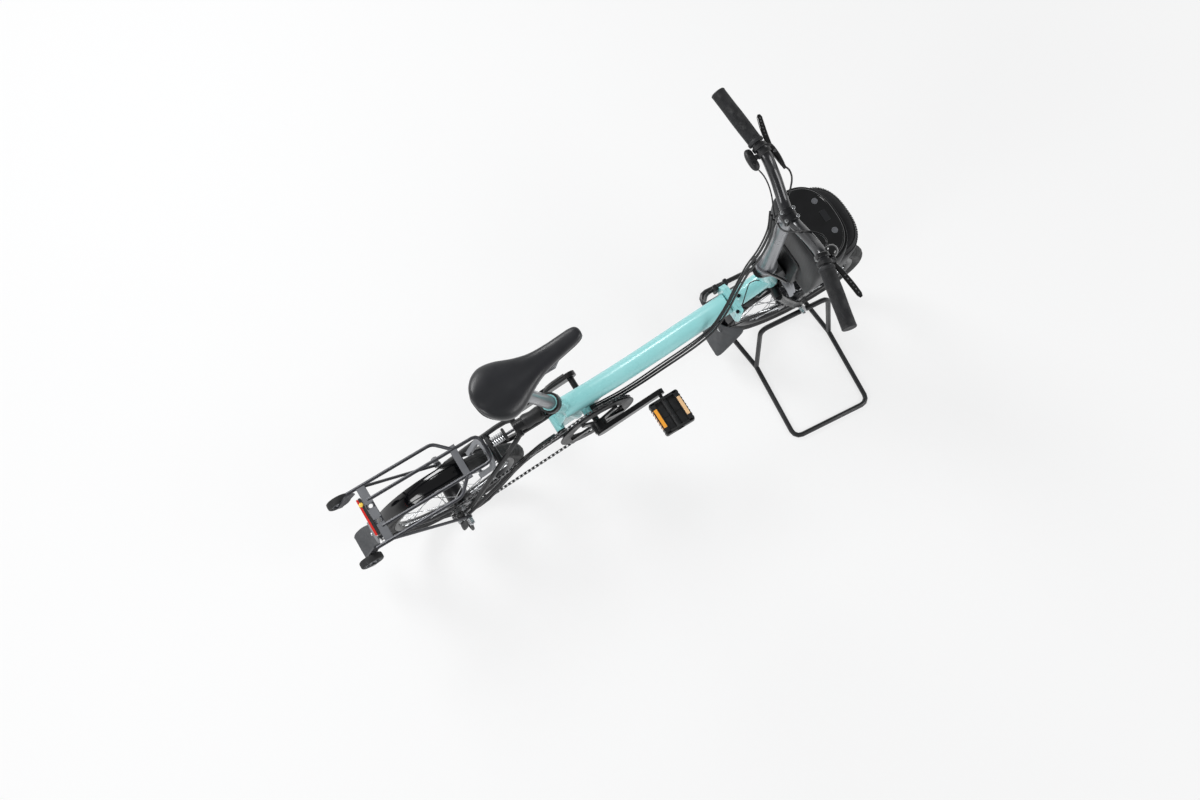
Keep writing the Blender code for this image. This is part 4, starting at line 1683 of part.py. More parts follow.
def seatpost():
    """The post, from inside the seat tube to the saddle's clamp."""
    foot = SEAT_RING_POINT - SEAT_AXIS * POST_FOOT_DISTANCE
    top = POST_TOP
    post = cylinder("seatpost", POST_RADIUS, foot, top, FINE_ROUND)
    head_half = SADDLE_CLAMP_HALF_WIDTH
    clamp = cylinder("saddle_clamp", SADDLE_CLAMP_RADIUS, top - SIDE * head_half, top + SIDE * head_half, ROUND)
    rails = []
    for side in (1, -1):
        y = side * (head_half - RAIL_RADIUS)
        front = saddle_underside(RAIL_FRONT_SHARE, RAIL_FRONT_Y)
        rear = saddle_underside(RAIL_REAR_SHARE, RAIL_REAR_Y)
        front.y *= side
        rear.y *= side
        drop = UP * RAIL_RADIUS * 3
        route = [front, front - drop, Vector((front.x - drop.z * 2, y, top.z)), top + SIDE * y]
        route += [Vector((rear.x + drop.z * 1.6, y * 1.2, top.z)), rear - drop, rear]
        rails.append(tube("saddle_rail", route, RAIL_RADIUS))
    return finish(combine(post, clamp, *rails), "graphite_paint")


def saddle_middle(share):
    """The height and place of the saddle's top along its length, and its depth there."""
    x = SADDLE_NOSE_X + (SADDLE_TAIL_X - SADDLE_NOSE_X) * share
    z = SADDLE_NOSE_Z + (SADDLE_TAIL_Z - SADDLE_NOSE_Z) * share - SADDLE_DIP * math.sin(math.pi * share)
    return at(x, 0, z)


def saddle_underside(share, y):
    """A seat for a rail's end, just under the saddle."""
    point = saddle_middle(share)
    point.y = y
    point.z -= SADDLE_DEPTH * SADDLE_FLOOR_SHARE + GAP * 2
    return point


def saddle():
    """The saddle: a narrow nose, a broad tail and a rounded top over a flat underside."""
    sections = []
    ring_shares = (
        (-0.92, -SADDLE_FLOOR_SHARE), (-1.0, -0.55), (-0.96, -0.26), (-0.76, -0.06), (-0.42, 0.0), (0.0, 0.01), (0.42, 0.0),
        (0.76, -0.06), (0.96, -0.26), (1.0, -0.55), (0.92, -SADDLE_FLOOR_SHARE),
    )
    for share, width in SADDLE_PLAN_SHARES:
        middle = saddle_middle(share)
        half = SADDLE_HALF_WIDTH * width
        tip = 1.0 if SADDLE_PLAN_SHARES[0][0] < share < SADDLE_PLAN_SHARES[-1][0] else 0.0
        sections.append([
            middle + SIDE * half * across + UP * SADDLE_DEPTH * (up if tip or up < -0.5 else up - 0.25) for across, up in ring_shares
        ])
    return finish(loft("saddle", sections), "saddle_cover", 60.0)


# Control cables, held at the bar, the hinge and the bottom bracket
CABLE_RADIUS = 0.0026
CABLE_FROM_BAR = (
    (-0.0175, 0.0110, -0.0400), (-0.0235, -0.0030, -0.1050), (-0.0395, -0.0090, -0.1850), (-0.0610, -0.0090, -0.2600),
    (-0.0830, -0.0150, -0.3450),
)
CABLE_FROM_HINGE = ((-0.0362, -0.0291, 0.0670), (-0.0740, -0.0415, 0.0120), (-0.1150, -0.0435, -0.0230))
CABLE_BESIDE_TUBE = ((-0.0420, -0.0210), (-0.0395, -0.0376), (-0.0380, -0.0470), (-0.0340, -0.0590))
CABLE_TUBE_SHARES = ((0.679, 0.55), (0.553, 0.36), (0.425, 0.185), (0.301, 0.07))
CABLE_END_SHARE = 0.76


def control_cables():
    """The bundle of outer cables from the bars to the bottom bracket."""
    route = [BAR_CENTRE + at(*point) for point in CABLE_FROM_BAR]
    route += [at(HINGE_X, 0, HINGE_Z) + at(*point) for point in CABLE_FROM_HINGE]
    for shares, (aside, drop) in zip(CABLE_TUBE_SHARES, CABLE_BESIDE_TUBE):
        route.append(main_tube_point(*shares) + at(0, aside, drop))
    bundle = CABLE_RADIUS * 1.6
    above = BRACKET_RADIUS + bundle + GAP
    route.append(BRACKET_CENTRE + at(0, -BRACKET_HALF_WIDTH * CABLE_END_SHARE, above))
    cable = tube("control_cables", smooth(route, 3), bundle, 2)
    return finish(cable, "black_plastic")


def build():
    """Make every piece and hang it on its body."""
    origin = joint_empty("bicycle_origin", Matrix())
    head_placement = turned_to(HEAD_AXIS, HEAD_POINT)
    front_body = joint_empty("front_frame_hinge", turned_to(UP, at(HINGE_X, HINGE_PIN_Y, HINGE_Z)), origin)
    fork_body = joint_empty("steering_axis", head_placement, front_body)
    front_wheel_body = joint_empty("front_wheel_axis", turned_to(SIDE, FRONT_AXLE), fork_body)
    stem_body = joint_empty("stem_fold_axis", turned_to(STEM_FOLD_AXIS, stem_hinge_point()), fork_body)
    rear_body = joint_empty("rear_fold_axis", turned_to(SIDE, PIVOT_CENTRE), origin)
    rear_wheel_body = joint_empty("rear_wheel_axis", turned_to(SIDE, REAR_AXLE), rear_body)
    crank_body = joint_empty("crank_axis", turned_to(SIDE, BRACKET_CENTRE), origin)
    seat_body = joint_empty("seatpost_axis", turned_to(SEAT_AXIS, SEAT_RING_POINT), origin)
    right_eye = BRACKET_CENTRE + crank_direction(-1) * CRANK_LENGTH - SIDE * CRANK_Y
    left_eye = fold_point()
    right_pedal_body = joint_empty("right_pedal_axis", turned_to(SIDE, right_eye), crank_body)
    left_fold_body = joint_empty("left_pedal_fold_axis", turned_to(crank_direction(1), left_eye), crank_body)
    left_pedal_body = joint_empty("left_pedal_axis", turned_to(SIDE, left_eye), left_fold_body)
    roller_bodies = {
        side: joint_empty(f"roller_axis_{label}", turned_to(SIDE, mirrored(ROLLER_CENTRE, side)), rear_body)
        for side, label in ((1, "left"), (-1, "right"))
    }

    carry(origin, main_frame(), hinge_clamp(), seat_clamp(), control_cables())
    carry(front_body, front_frame(), hinge_jaw(), carrier_block(), battery_bag(), battery_panel())
    crown_angle = math.atan2(*reversed((head(CROWN_DISTANCE) - FRONT_AXLE).xz[:]))
    carry(
        fork_body, fork(),
        axle_with_nuts("front_axle", FRONT_AXLE, BLADE_SPACING + BLADE_RADIUS, BLADE_SPACING + BLADE_RADIUS + NUT_LENGTH + OVERLAP * 2),
        front_mudguard(), flap("front_flap", FRONT_AXLE, FRONT_GUARD_START + FRONT_GUARD_SWEEP, math.radians(14)),
        rim_brake("front_brake", FRONT_AXLE, crown_angle, HEAD_TUBE_RADIUS + BRAKE_THICKNESS / 2 + OVERLAP, OVERLAP),
    )
    carry(front_wheel_body, finish(tyre("front_tyre", FRONT_AXLE), "tyre_rubber"), finish(rim("front_rim", FRONT_AXLE), "bright_alloy"), front_hub())
    carry(stem_body, stem(), handlebar(), grip("grip_left", 1), grip("grip_right", -1), brake_lever("brake_lever_left", 1), brake_lever("brake_lever_right", -1))
    carry(stem_body, control_pod("shifter", 1, -POD_RADIUS * 0.9, -POD_RADIUS * 0.9), control_pod("bell", -1, POD_RADIUS * 1.2, POD_RADIUS * 0.4))
    carry(
        rear_body, rear_triangle(), pivot_pin(), bumper(), rear_rack(), rear_mudguard(),
        flap("rear_flap", REAR_AXLE, REAR_GUARD_START + REAR_GUARD_SWEEP, math.radians(14)), rear_light(),
        rim_brake("rear_brake", REAR_AXLE, BRAKE_BRIDGE_ANGLE, STAY_TUBE_RADIUS + BRAKE_THICKNESS / 2 + OVERLAP, OVERLAP, -1), chain_tensioner(), chain(),
        axle_with_nuts("rear_axle", REAR_AXLE, STRUT_FOOT_Y + RACK_ROD_RADIUS, STRUT_FOOT_Y + RACK_ROD_RADIUS + NUT_LENGTH + OVERLAP),
    )
    carry(rear_wheel_body, finish(tyre("rear_tyre", REAR_AXLE), "tyre_rubber"), finish(rim("rear_rim", REAR_AXLE), "bright_alloy"), rear_hub())
    carry(crank_body, cranks(), chainring())
    carry(right_pedal_body, pedal("pedal_right", -1, right_eye, PEDAL_START))
    carry(left_fold_body, pedal_hinge())
    carry(left_pedal_body, pedal("pedal_left", 1, left_eye, FOLD_PEDAL_START))
    carry(seat_body, seatpost(), saddle())
    for side, label in ((1, "left"), (-1, "right")):
        carry(roller_bodies[side], roller(f"roller_{label}", side))

    bpy.context.view_layer.update()
    fork_body.matrix_world = head_placement @ Matrix.Rotation(STEER_ANGLE, 4, "Z")
    bpy.context.view_layer.update()
    carry(fork_body, display_stand())
    origin.location = (FOOTPRINT_X, FOOTPRINT_Y, 0)
    bpy.context.view_layer.update()


build()
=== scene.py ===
# %% [markdown]
# A folding electric bicycle, dressed for a studio photograph. The CAD model gives every solid and its
# place; this lesson gives the solids their finishes and swaps the soft, round and repeated ones, such
# as the saddle, the bag, the tyres and the chain, for surfaces worked out with numpy.

import json
import math

import bmesh
import bpy
import numpy as np
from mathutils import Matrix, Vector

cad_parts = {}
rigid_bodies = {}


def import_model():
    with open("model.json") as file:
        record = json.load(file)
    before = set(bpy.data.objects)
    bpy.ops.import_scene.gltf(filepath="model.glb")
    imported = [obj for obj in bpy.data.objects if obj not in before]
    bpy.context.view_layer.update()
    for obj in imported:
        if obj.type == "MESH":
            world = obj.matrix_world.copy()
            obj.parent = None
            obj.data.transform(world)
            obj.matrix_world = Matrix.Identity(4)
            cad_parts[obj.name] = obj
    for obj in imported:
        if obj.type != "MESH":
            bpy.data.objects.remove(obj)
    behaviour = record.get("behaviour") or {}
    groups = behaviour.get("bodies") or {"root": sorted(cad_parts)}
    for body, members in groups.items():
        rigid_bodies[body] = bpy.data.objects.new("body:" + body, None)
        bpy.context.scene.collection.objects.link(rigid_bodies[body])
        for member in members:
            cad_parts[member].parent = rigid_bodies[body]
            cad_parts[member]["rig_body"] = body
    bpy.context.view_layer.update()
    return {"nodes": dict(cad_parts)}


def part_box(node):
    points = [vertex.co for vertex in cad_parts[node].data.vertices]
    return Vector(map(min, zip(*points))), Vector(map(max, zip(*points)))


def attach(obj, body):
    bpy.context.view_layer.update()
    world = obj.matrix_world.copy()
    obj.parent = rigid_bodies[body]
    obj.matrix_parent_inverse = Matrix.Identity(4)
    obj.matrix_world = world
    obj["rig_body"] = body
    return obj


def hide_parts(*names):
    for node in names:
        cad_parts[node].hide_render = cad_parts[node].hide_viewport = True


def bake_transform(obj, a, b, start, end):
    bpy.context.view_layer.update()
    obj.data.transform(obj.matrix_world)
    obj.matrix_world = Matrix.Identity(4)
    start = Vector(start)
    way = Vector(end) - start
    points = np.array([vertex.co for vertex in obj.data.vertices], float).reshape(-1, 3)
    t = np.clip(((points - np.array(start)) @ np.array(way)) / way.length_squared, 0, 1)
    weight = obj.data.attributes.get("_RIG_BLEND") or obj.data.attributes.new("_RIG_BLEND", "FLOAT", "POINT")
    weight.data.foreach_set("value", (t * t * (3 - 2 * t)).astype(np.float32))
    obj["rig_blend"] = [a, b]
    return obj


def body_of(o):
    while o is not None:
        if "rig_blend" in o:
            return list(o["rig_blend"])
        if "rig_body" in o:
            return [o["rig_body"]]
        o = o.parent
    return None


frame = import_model()
nodes = frame["nodes"]

# %% [markdown]
# The photograph looks almost straight down from the rider's right, behind the saddle. A camera that is
# placed by azimuth, elevation and distance keeps those three as numbers a reader can understand. A
# lens of 36 mm on a 36 mm wide sensor is what gave the right convergence of the wheels and the bars.

# %% The camera
AZIMUTH, ELEVATION, DISTANCE = -31.637, 76.692, 3.3623
TARGET = np.array([-0.0155, 0.0903, 0.0])


def look_direction(azimuth, elevation):
    """The unit vector from the target to the camera: azimuth 0 stands on -Y and looks along +Y."""
    a, e = math.radians(azimuth), math.radians(elevation)
    return np.array([math.sin(a) * math.cos(e), -math.cos(a) * math.cos(e), math.sin(e)])


camera = bpy.data.objects.new("camera", bpy.data.cameras.new("camera"))
bpy.context.scene.collection.objects.link(camera)
camera.data.lens, camera.data.sensor_width = 36.0, 36.0
camera.location = TARGET + look_direction(AZIMUTH, ELEVATION) * DISTANCE
back = Vector(look_direction(AZIMUTH, ELEVATION))
camera.rotation_euler = back.to_track_quat("Z", "Y").to_euler()
bpy.context.scene.camera = camera
print("camera at", [round(v, 3) for v in camera.location])

# %% [markdown]
# The bicycle was measured in its own frame, with X from the middle of the wheelbase. Two small maps
# bring such points to the object's frame: one only shifts them, and the other first turns them with
# the fork, which stands a few degrees to the right because the bars are turned in the photograph.

# %% From the bicycle's frame to the object's
OFFSET = np.array([0.0325, 0.0423, 0.0])
HEAD_AXIS = np.array([-math.sin(math.radians(18)), 0.0, math.cos(math.radians(18))])
HEAD_POINT = np.array([0.490956, 0.0, 0.21])
STEER = math.radians(-5.3)
REAR_AXLE, FRONT_AXLE = np.array([-0.5225, 0.0, 0.21]), np.array([0.5225, 0.0, 0.21])


def turned(points, axis, angle, centre):
    """Rodrigues' turn: p cos a + (k x p) sin a + k (k.p)(1 - cos a), about an axis k through a centre."""
    p = np.asarray(points, float) - centre
    k = np.asarray(axis, float) / np.linalg.norm(axis)
    along = (p @ k)[..., None] * k
    return centre + p * math.cos(angle) + np.cross(k, p) * math.sin(angle) + along * (1 - math.cos(angle))


def on_frame(points):
    """Points of the bicycle's frame, shifted to the object's."""
    return np.asarray(points, float) + OFFSET


def on_fork(points):
    """Points of the straight-ahead fork, turned with the bars and shifted."""
    return turned(points, HEAD_AXIS, STEER, HEAD_POINT) + OFFSET


# %% [markdown]
# Three kinds of surface make nearly every new piece: a grid of points read as a sheet, a ring carried
# along a path, and a profile turned round an axis. Each is worked out as one array, and one function
# puts the array into a mesh. A closed grid needs no caps; an open one gets a fan or a flat end.

# %% Grids, tubes and turned shapes
SAME_POINT = 0.00002
X_WAY, Y_WAY, Z_WAY = np.eye(3)


def lattice(rows, columns, wrap_rows=False, wrap_columns=False):
    """Index quads of a rows by columns grid, counted row by row, wrapped where the grid closes."""
    i = np.arange(rows if wrap_rows else rows - 1)[:, None]
    j = np.arange(columns if wrap_columns else columns - 1)[None, :]
    a, b = i * columns + j, i * columns + (j + 1) % columns
    c, d = (i + 1) % rows * columns + (j + 1) % columns, (i + 1) % rows * columns + j
    return np.stack([a, b, c, d], -1).reshape(-1, 4)


def gather(parts):
    """Several (points, faces) parts as one, the faces counted on."""
    counts = np.cumsum([0] + [len(points) for points, _ in parts])
    faces = [[v + int(start) for v in face] for (_, part), start in zip(parts, counts) for face in part]
    return np.concatenate([np.asarray(points).reshape(-1, 3) for points, _ in parts]), faces


def new_piece(name, parts, place, material, body, smooth=35.0):
    """A mesh object from (points, faces) or a list of such parts: placed, with doubles merged, faces
    turned outwards and smoothed under an angle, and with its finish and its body."""
    points, faces = gather(parts) if isinstance(parts, list) else parts
    points = np.asarray(place(points) if place else points, float)
    mesh = bpy.data.meshes.new(name)
    mesh.from_pydata(points.tolist(), [], [list(map(int, face)) for face in faces])
    piece = bpy.data.objects.new(name, mesh)
    bpy.context.scene.collection.objects.link(piece)
    work = bmesh.new()
    work.from_mesh(mesh)
    bmesh.ops.remove_doubles(work, verts=work.verts, dist=SAME_POINT)
    bmesh.ops.recalc_face_normals(work, faces=work.faces)
    work.to_mesh(mesh)
    work.free()
    mesh.shade_smooth()
    mesh.set_sharp_from_angle(angle=math.radians(smooth))
    mesh.materials.append(material)
    if body:
        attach(piece, body)
    return piece


def grid_parts(grid, wrap_rows=False, caps=True):
    """A grid's points and quads, with a flat face over each open end ring."""
    rows, columns = grid.shape[:2]
    faces = lattice(rows, columns, wrap_rows, True).tolist()
    if caps and not wrap_rows:
        faces.append(list(range(columns)))
        faces.append(list(range((rows - 1) * columns, rows * columns)))
    return grid.reshape(-1, 3), faces


def smooth_line(points, count, closed=False):
    """Catmull-Rom through all points, then read again at even steps of arc length."""
    p = np.asarray(points, float)
    ends = (2 * p[:1] - p[1:2], 2 * p[-1:] - p[-2:-1])
    p = np.concatenate([p[-1:], p, p[:2]]) if closed else np.concatenate([ends[0], p, ends[1]])
    t = np.linspace(0, 1, 24, endpoint=False)[None, :, None]
    a, b, c, d = p[:-3, None], p[1:-2, None], p[2:-1, None], p[3:, None]
    curve = 0.5 * (2 * b + (c - a) * t + (2 * a - 5 * b + 4 * c - d) * t**2
        + (3 * b - a - 3 * c + d) * t**3)
    curve = np.concatenate([curve.reshape(-1, p.shape[1]), p[-2:-1]])
    reach = np.concatenate([[0], np.cumsum(np.linalg.norm(np.diff(curve, axis=0), axis=1))])
    at = np.linspace(0, reach[-1], count, endpoint=not closed)
    return np.stack([np.interp(at, reach, values) for values in curve.T], -1)


def rounded_line(corners, radius, steps):
    """A closed line with its corners as arcs: tangent points radius / tan(half) away, read by slerp."""
    p = np.asarray(corners, float)
    before, after = np.roll(p, 1, 0) - p, np.roll(p, -1, 0) - p
    before /= np.linalg.norm(before, axis=1)[:, None]
    after /= np.linalg.norm(after, axis=1)[:, None]
    half = np.arccos(np.clip((before * after).sum(1), -1, 1)) / 2
    middle = p + (before + after) / np.linalg.norm(before + after,
        axis=1)[:, None] * (radius / np.sin(half))[:, None]
    reach = (radius / np.tan(half))[:, None]
    first, last = p + before * reach - middle, p + after * reach - middle
    sweep = (np.pi - 2 * half)[:, None, None]
    t = np.linspace(0, 1, steps + 1)[None, :, None]
    arc = middle[:, None] + (first[:, None] * np.sin((1 - t) * sweep)
        + last[:, None] * np.sin(t * sweep)) / np.sin(sweep)
    return arc.reshape(-1, 3)


GUIDES = np.array([(1, 0, 0), (0, 1, 0), (0, 0, 1), (1, 1, 0), (1, 0, 1), (0, 1, 1), (1, -1, 0),
    (1, 0, -1), (0, 1, -1)], float)
GUIDES /= np.linalg.norm(GUIDES, axis=1)[:, None]


def across(path, closed=False):
    """Two unit vectors square to a path at each point, from the fixed direction least along it."""
    tangent = np.roll(path, -1, 0) - np.roll(path, 1, 0) if closed else np.gradient(path, axis=0)
    tangent /= np.linalg.norm(tangent, axis=1)[:, None]
    guide = GUIDES[np.argmin(np.abs(tangent @ GUIDES.T).max(0))]
    u = np.cross(tangent, guide)
    u /= np.linalg.norm(u, axis=1)[:, None]
    return u, np.cross(tangent, u)


def tube_parts(path, radius, sides, closed=False):
    """Rings c(s) + r(s) (u cos a + v sin a) along a path."""
    u, v = across(path, closed)
    radius = np.broadcast_to(radius, (len(path),))[:, None, None]
    a = np.linspace(0, 2 * np.pi, sides, endpoint=False)[None, :, None]
    grid = path[:, None] + radius * (u[:, None] * np.cos(a) + v[:, None] * np.sin(a))
    return grid_parts(grid, wrap_rows=closed)


def square_frame(axis):
    """Two unit vectors square to an axis."""
    axis = np.asarray(axis, float) / np.linalg.norm(axis)
    guide = np.array([0.0, 0, 1]) if abs(axis[2]) < 0.9 else np.array([1.0, 0, 0])
    u = np.cross(axis, guide)
    u /= np.linalg.norm(u)
    return u, np.cross(axis, u), axis


def turned_parts(profile, centre, axis, sides=48, closed=False):
    """A profile of (radius, height) turned round an axis: c + r (u cos a + v sin a) + h k."""
    u, v, k = square_frame(axis)
    profile = np.asarray(profile, float)
    a = np.linspace(0, 2 * np.pi, sides, endpoint=False)[None, :, None]
    r, h = profile[:, 0, None, None], profile[:, 1, None, None]
    grid = np.asarray(centre) + r * (u * np.cos(a) + v * np.sin(a)) + h * k
    return grid_parts(grid, wrap_rows=closed, caps=not closed)


def rod_parts(start, end, radius, sides=12, end_radius=None):
    """A straight rod or cone between two points."""
    start, end = np.asarray(start, float), np.asarray(end, float)
    last = radius if end_radius is None else end_radius
    return turned_parts([(radius, 0), (last, np.linalg.norm(end - start))], start, end - start, sides)


def slab_parts(outline, thickness, centre, x_axis, y_axis, bevel):
    """A flat outline given a thickness, its rims drawn in by the bevel."""
    flat = np.asarray(outline, float)
    x, y = np.asarray(x_axis, float), np.asarray(y_axis, float)
    z = np.cross(x, y)
    middle = flat.mean(0)
    size = np.abs(flat - middle).max()
    small = middle + (flat - middle) * (1 - bevel / size)
    rings = [(small, -0.5), (flat, -0.5 + bevel / thickness), (flat, 0.5 - bevel / thickness),
        (small, 0.5)]
    grid = np.array([np.asarray(centre) + ring[:, :1] * x + ring[:, 1:] * y + share * thickness * z
        for ring, share in rings])
    return grid_parts(grid)


def mirrored(half):
    """A profile of (radius, height) from its lower half: the same points, back with heights reversed."""
    return half + [(r, -h) for r, h in reversed(half)]


def rounded_box(x_low, x_high, y_low, y_high, radius, steps=4):
    """A flat rectangle with round corners."""
    corners = [(x_low, y_low, 0), (x_high, y_low, 0), (x_high, y_high, 0), (x_low, y_high, 0)]
    return rounded_line(corners, radius, steps)[:, :2]


def eased(count, at, values):
    """Values met at given shares of a line, at even steps between them."""
    return np.interp(np.linspace(0, 1, count), at, values)


print("helpers ready")

# %% [markdown]
# Each finish starts from what the real surface is: powder coat, anodised tube, moulded plastic, rubber,
# woven nylon. Colours are picked as hex values, which are sRGB, and the shader wants linear numbers, so
# one function turns them. A second one adds any node with its values and links, which keeps the node
# trees short enough to read.

# %% Colours and nodes
def hex_colour(text):
    """Hex to linear: c / 12.92 below 0.04045, else ((c + 0.055) / 1.055) to the power 2.4."""
    c = np.array([int(text[i:i + 2], 16) for i in (1, 3, 5)]) / 255
    return (*np.where(c <= 0.04045, c / 12.92, ((c + 0.055) / 1.055) ** 2.4).tolist(), 1.0)


def add(tree, kind, sockets=(), **settings):
    """One node with its properties set and its inputs filled, each from a value or another's output."""
    made = tree.nodes.new("ShaderNode" + kind)
    for key, value in settings.items():
        setattr(made, key, value)
    for key, value in dict(sockets).items():
        if isinstance(value, bpy.types.NodeSocket):
            tree.links.new(value, made.inputs[key])
        else:
            made.inputs[key].default_value = value
    return made


def new_finish(name, colour, roughness, metallic=0.0, **sockets):
    """A material with one Principled shader. Returns it, its tree, the shader and object coordinates."""
    made = bpy.data.materials.new(name)
    made.use_nodes = True
    tree = made.node_tree
    shader = tree.nodes["Principled BSDF"]
    values = {"Base Color": hex_colour(colour), "Roughness": roughness, "Metallic": metallic}
    values.update({key.replace("_", " "): value for key, value in sockets.items()})
    for key, value in values.items():
        shader.inputs[key].default_value = value
    made.diffuse_color = hex_colour(colour)
    return made, tree, shader, add(tree, "TexCoord").outputs["Object"]


def mottle(tree, shader, where, first, second, scale, low=0.35, high=0.65, detail=4.0):
    """Colour between two hexes by noise, so that no area stays one flat tone."""
    cloud = add(tree, "TexNoise", {"Vector": where, "Scale": scale, "Detail": detail})
    share = add(tree, "MapRange", {0: cloud.outputs[0], 1: low, 2: high})
    colour = add(tree, "Mix", {0: share.outputs[0], 6: hex_colour(first), 7: hex_colour(second)},
        data_type="RGBA")
    tree.links.new(colour.outputs[2], shader.inputs["Base Color"])
    return share.outputs[0]


def uneven_gloss(tree, shader, where, low, high, scale):
    """Roughness between two values by noise: the traces of hands, dust and the mould."""
    cloud = add(tree, "TexNoise", {"Vector": where, "Scale": scale, "Detail": 5.0})
    share = add(tree, "MapRange", {0: cloud.outputs[0], 1: 0.3, 2: 0.7, 3: low, 4: high})
    tree.links.new(share.outputs[0], shader.inputs["Roughness"])


def relief(tree, shader, height, millimetres, strength=1.0):
    """Bump of a given real depth from a height between 0 and 1."""
    bump = add(tree, "Bump", {"Height": height, "Distance": millimetres / 1000, "Strength": strength})
    tree.links.new(bump.outputs[0], shader.inputs["Normal"])


# %% [markdown]
# Powder coat is dusted on dry and melted in an oven. It flows into a skin about a tenth of a millimetre
# thick with a faint orange peel, some 2 mm from crest to crest, under an even gloss. Small dips in the
# gloss and in the tone keep a long tube from looking like a flat drawing.

# %% Painted steel and aluminium
def coated(name, colour, second, roughness, peel=430.0, depth=0.05, coat=0.0, metallic=0.0):
    """Powder coat: two near tones, orange peel of 1000 / peel mm, gloss uneven over hand-sized areas."""
    made, tree, shader, where = new_finish(name, colour, roughness, metallic, Coat_Weight=coat,
        Coat_Roughness=0.12)
    mottle(tree, shader, where, colour, second, 9.0)
    uneven_gloss(tree, shader, where, roughness * 0.85, roughness * 1.25, 23.0)
    cells = add(tree, "TexNoise", {"Vector": where, "Scale": peel, "Detail": 2.0})
    relief(tree, shader, cells.outputs[0], depth)
    return made


turquoise_coat = coated("powder_coated_turquoise_frame", "#97DADB", "#A2E0E1", 0.28, coat=0.4)
black_coat = coated("powder_coated_black_steel", "#0E0F10", "#151618", 0.3)
graphite_coat = coated("satin_graphite_paint", "#7E8084", "#888A8E", 0.3, coat=0.2, metallic=0.45)
bar_coat = coated("gloss_graphite_bar", "#222326", "#2A2B2E", 0.26, coat=0.5, metallic=0.3)
guard_gloss = coated("gloss_moulded_mudguard", "#050608", "#0A0B0F", 0.1, peel=120.0, depth=0.03,
    coat=0.3)
stand_coat = coated("satin_dark_stand_paint", "#1F2022", "#28292B", 0.36)
rack_coat = coated("satin_rack_paint", "#3C3D41", "#46474B", 0.3, metallic=0.5)
plate_coat = coated("grey_pressed_plate", "#6A6C70", "#787A7E", 0.38, metallic=0.3)

# %% [markdown]
# Drawn and machined metals keep the marks of the tool. A noise that is stretched along one way gives
# brushed streaks; spun parts get fine rings. The chain is oiled steel, so its roughness swings between
# wet and dry, and its hollows are brown-black.

# %% Bare metals
def brushed(name, colour, second, roughness, stretch=(60.0, 60.0, 900.0)):
    """Fine streaks: noise on coordinates scaled differently along each axis drives tone and gloss."""
    made, tree, shader, where = new_finish(name, colour, roughness, 1.0)
    lines = add(tree, "Mapping", {"Vector": where, "Scale": stretch})
    mottle(tree, shader, lines.outputs[0], colour, second, 1.0)
    uneven_gloss(tree, shader, where, roughness * 0.8, roughness * 1.3, 140.0)
    streak = add(tree, "TexNoise", {"Vector": lines.outputs[0], "Scale": 1.6, "Detail": 3.0})
    relief(tree, shader, streak.outputs[0], 0.02)
    return made


bright_metal = brushed("satin_anodised_aluminium", "#C3C5C8", "#D2D4D7", 0.27)
spoke_steel = brushed("drawn_stainless_spokes", "#B9BBBD", "#D0D2D4", 0.22, (300.0, 300.0, 300.0))
black_metal = coated("black_anodised_aluminium", "#17181A", "#202124", 0.3, metallic=0.35)
caliper_metal = coated("bead_blasted_caliper", "#8E9094", "#A0A2A6", 0.36, metallic=0.6)
crank_coat = coated("black_forged_crank", "#0B0C0D", "#131416", 0.28)
bolt_steel = brushed("black_oxide_bolts", "#2B2B2D", "#3A3A3C", 0.36, (400.0, 400.0, 400.0))
link_steel = brushed("oiled_chain_steel", "#77787A", "#A2A3A5", 0.3, (260.0, 260.0, 260.0))
pin_steel = brushed("dark_chain_rollers", "#3A3A3B", "#5C5B59", 0.38, (260.0, 260.0, 260.0))

# %% [markdown]
# Moulded plastic takes its skin from a spark-eroded tool: a grain of about half a millimetre, drawn here
# at one millimetre so that it still shows from three metres. Rubber has no gloss to speak of and picks
# up a paler dust. The grips and the flaps are greyer than the tyres because they carry more chalk.

# %% Plastics and rubbers
def moulded(name, colour, second, roughness, grain=900.0, depth=0.06, **sockets):
    """Moulded skin: voronoi grain for relief, mottled tone, gloss uneven over finger-sized areas."""
    made, tree, shader, where = new_finish(name, colour, roughness, **sockets)
    mottle(tree, shader, where, colour, second, 30.0)
    uneven_gloss(tree, shader, where, roughness * 0.85, min(1.0, roughness * 1.2), 60.0)
    grains = add(tree, "TexVoronoi", {"Vector": where, "Scale": grain}, feature="F1")
    relief(tree, shader, grains.outputs[0], depth)
    return made


black_plastic = moulded("spark_grained_black_nylon", "#101112", "#18191B", 0.46)
gloss_plastic = moulded("polished_black_abs", "#070809", "#0E0F11", 0.16, 200.0, 0.01, Coat_Weight=0.5)
grip_rubber = moulded("soft_grip_rubber", "#18191B", "#222326", 0.58, 700.0, 0.08)
flap_rubber = moulded("pressed_flap_rubber", "#393B3E", "#434548", 0.58, 500.0, 0.05)
tyre_rubber = moulded("vulcanised_tyre_rubber", "#151617", "#1F2021", 0.66, 600.0, 0.08)
cable_plastic = moulded("extruded_cable_cover", "#0B0B0D", "#131416", 0.36, 700.0, 0.03)
sleeve_rubber = moulded("black_rubber_sleeve", "#151617", "#1F2021", 0.6, 600.0, 0.06)
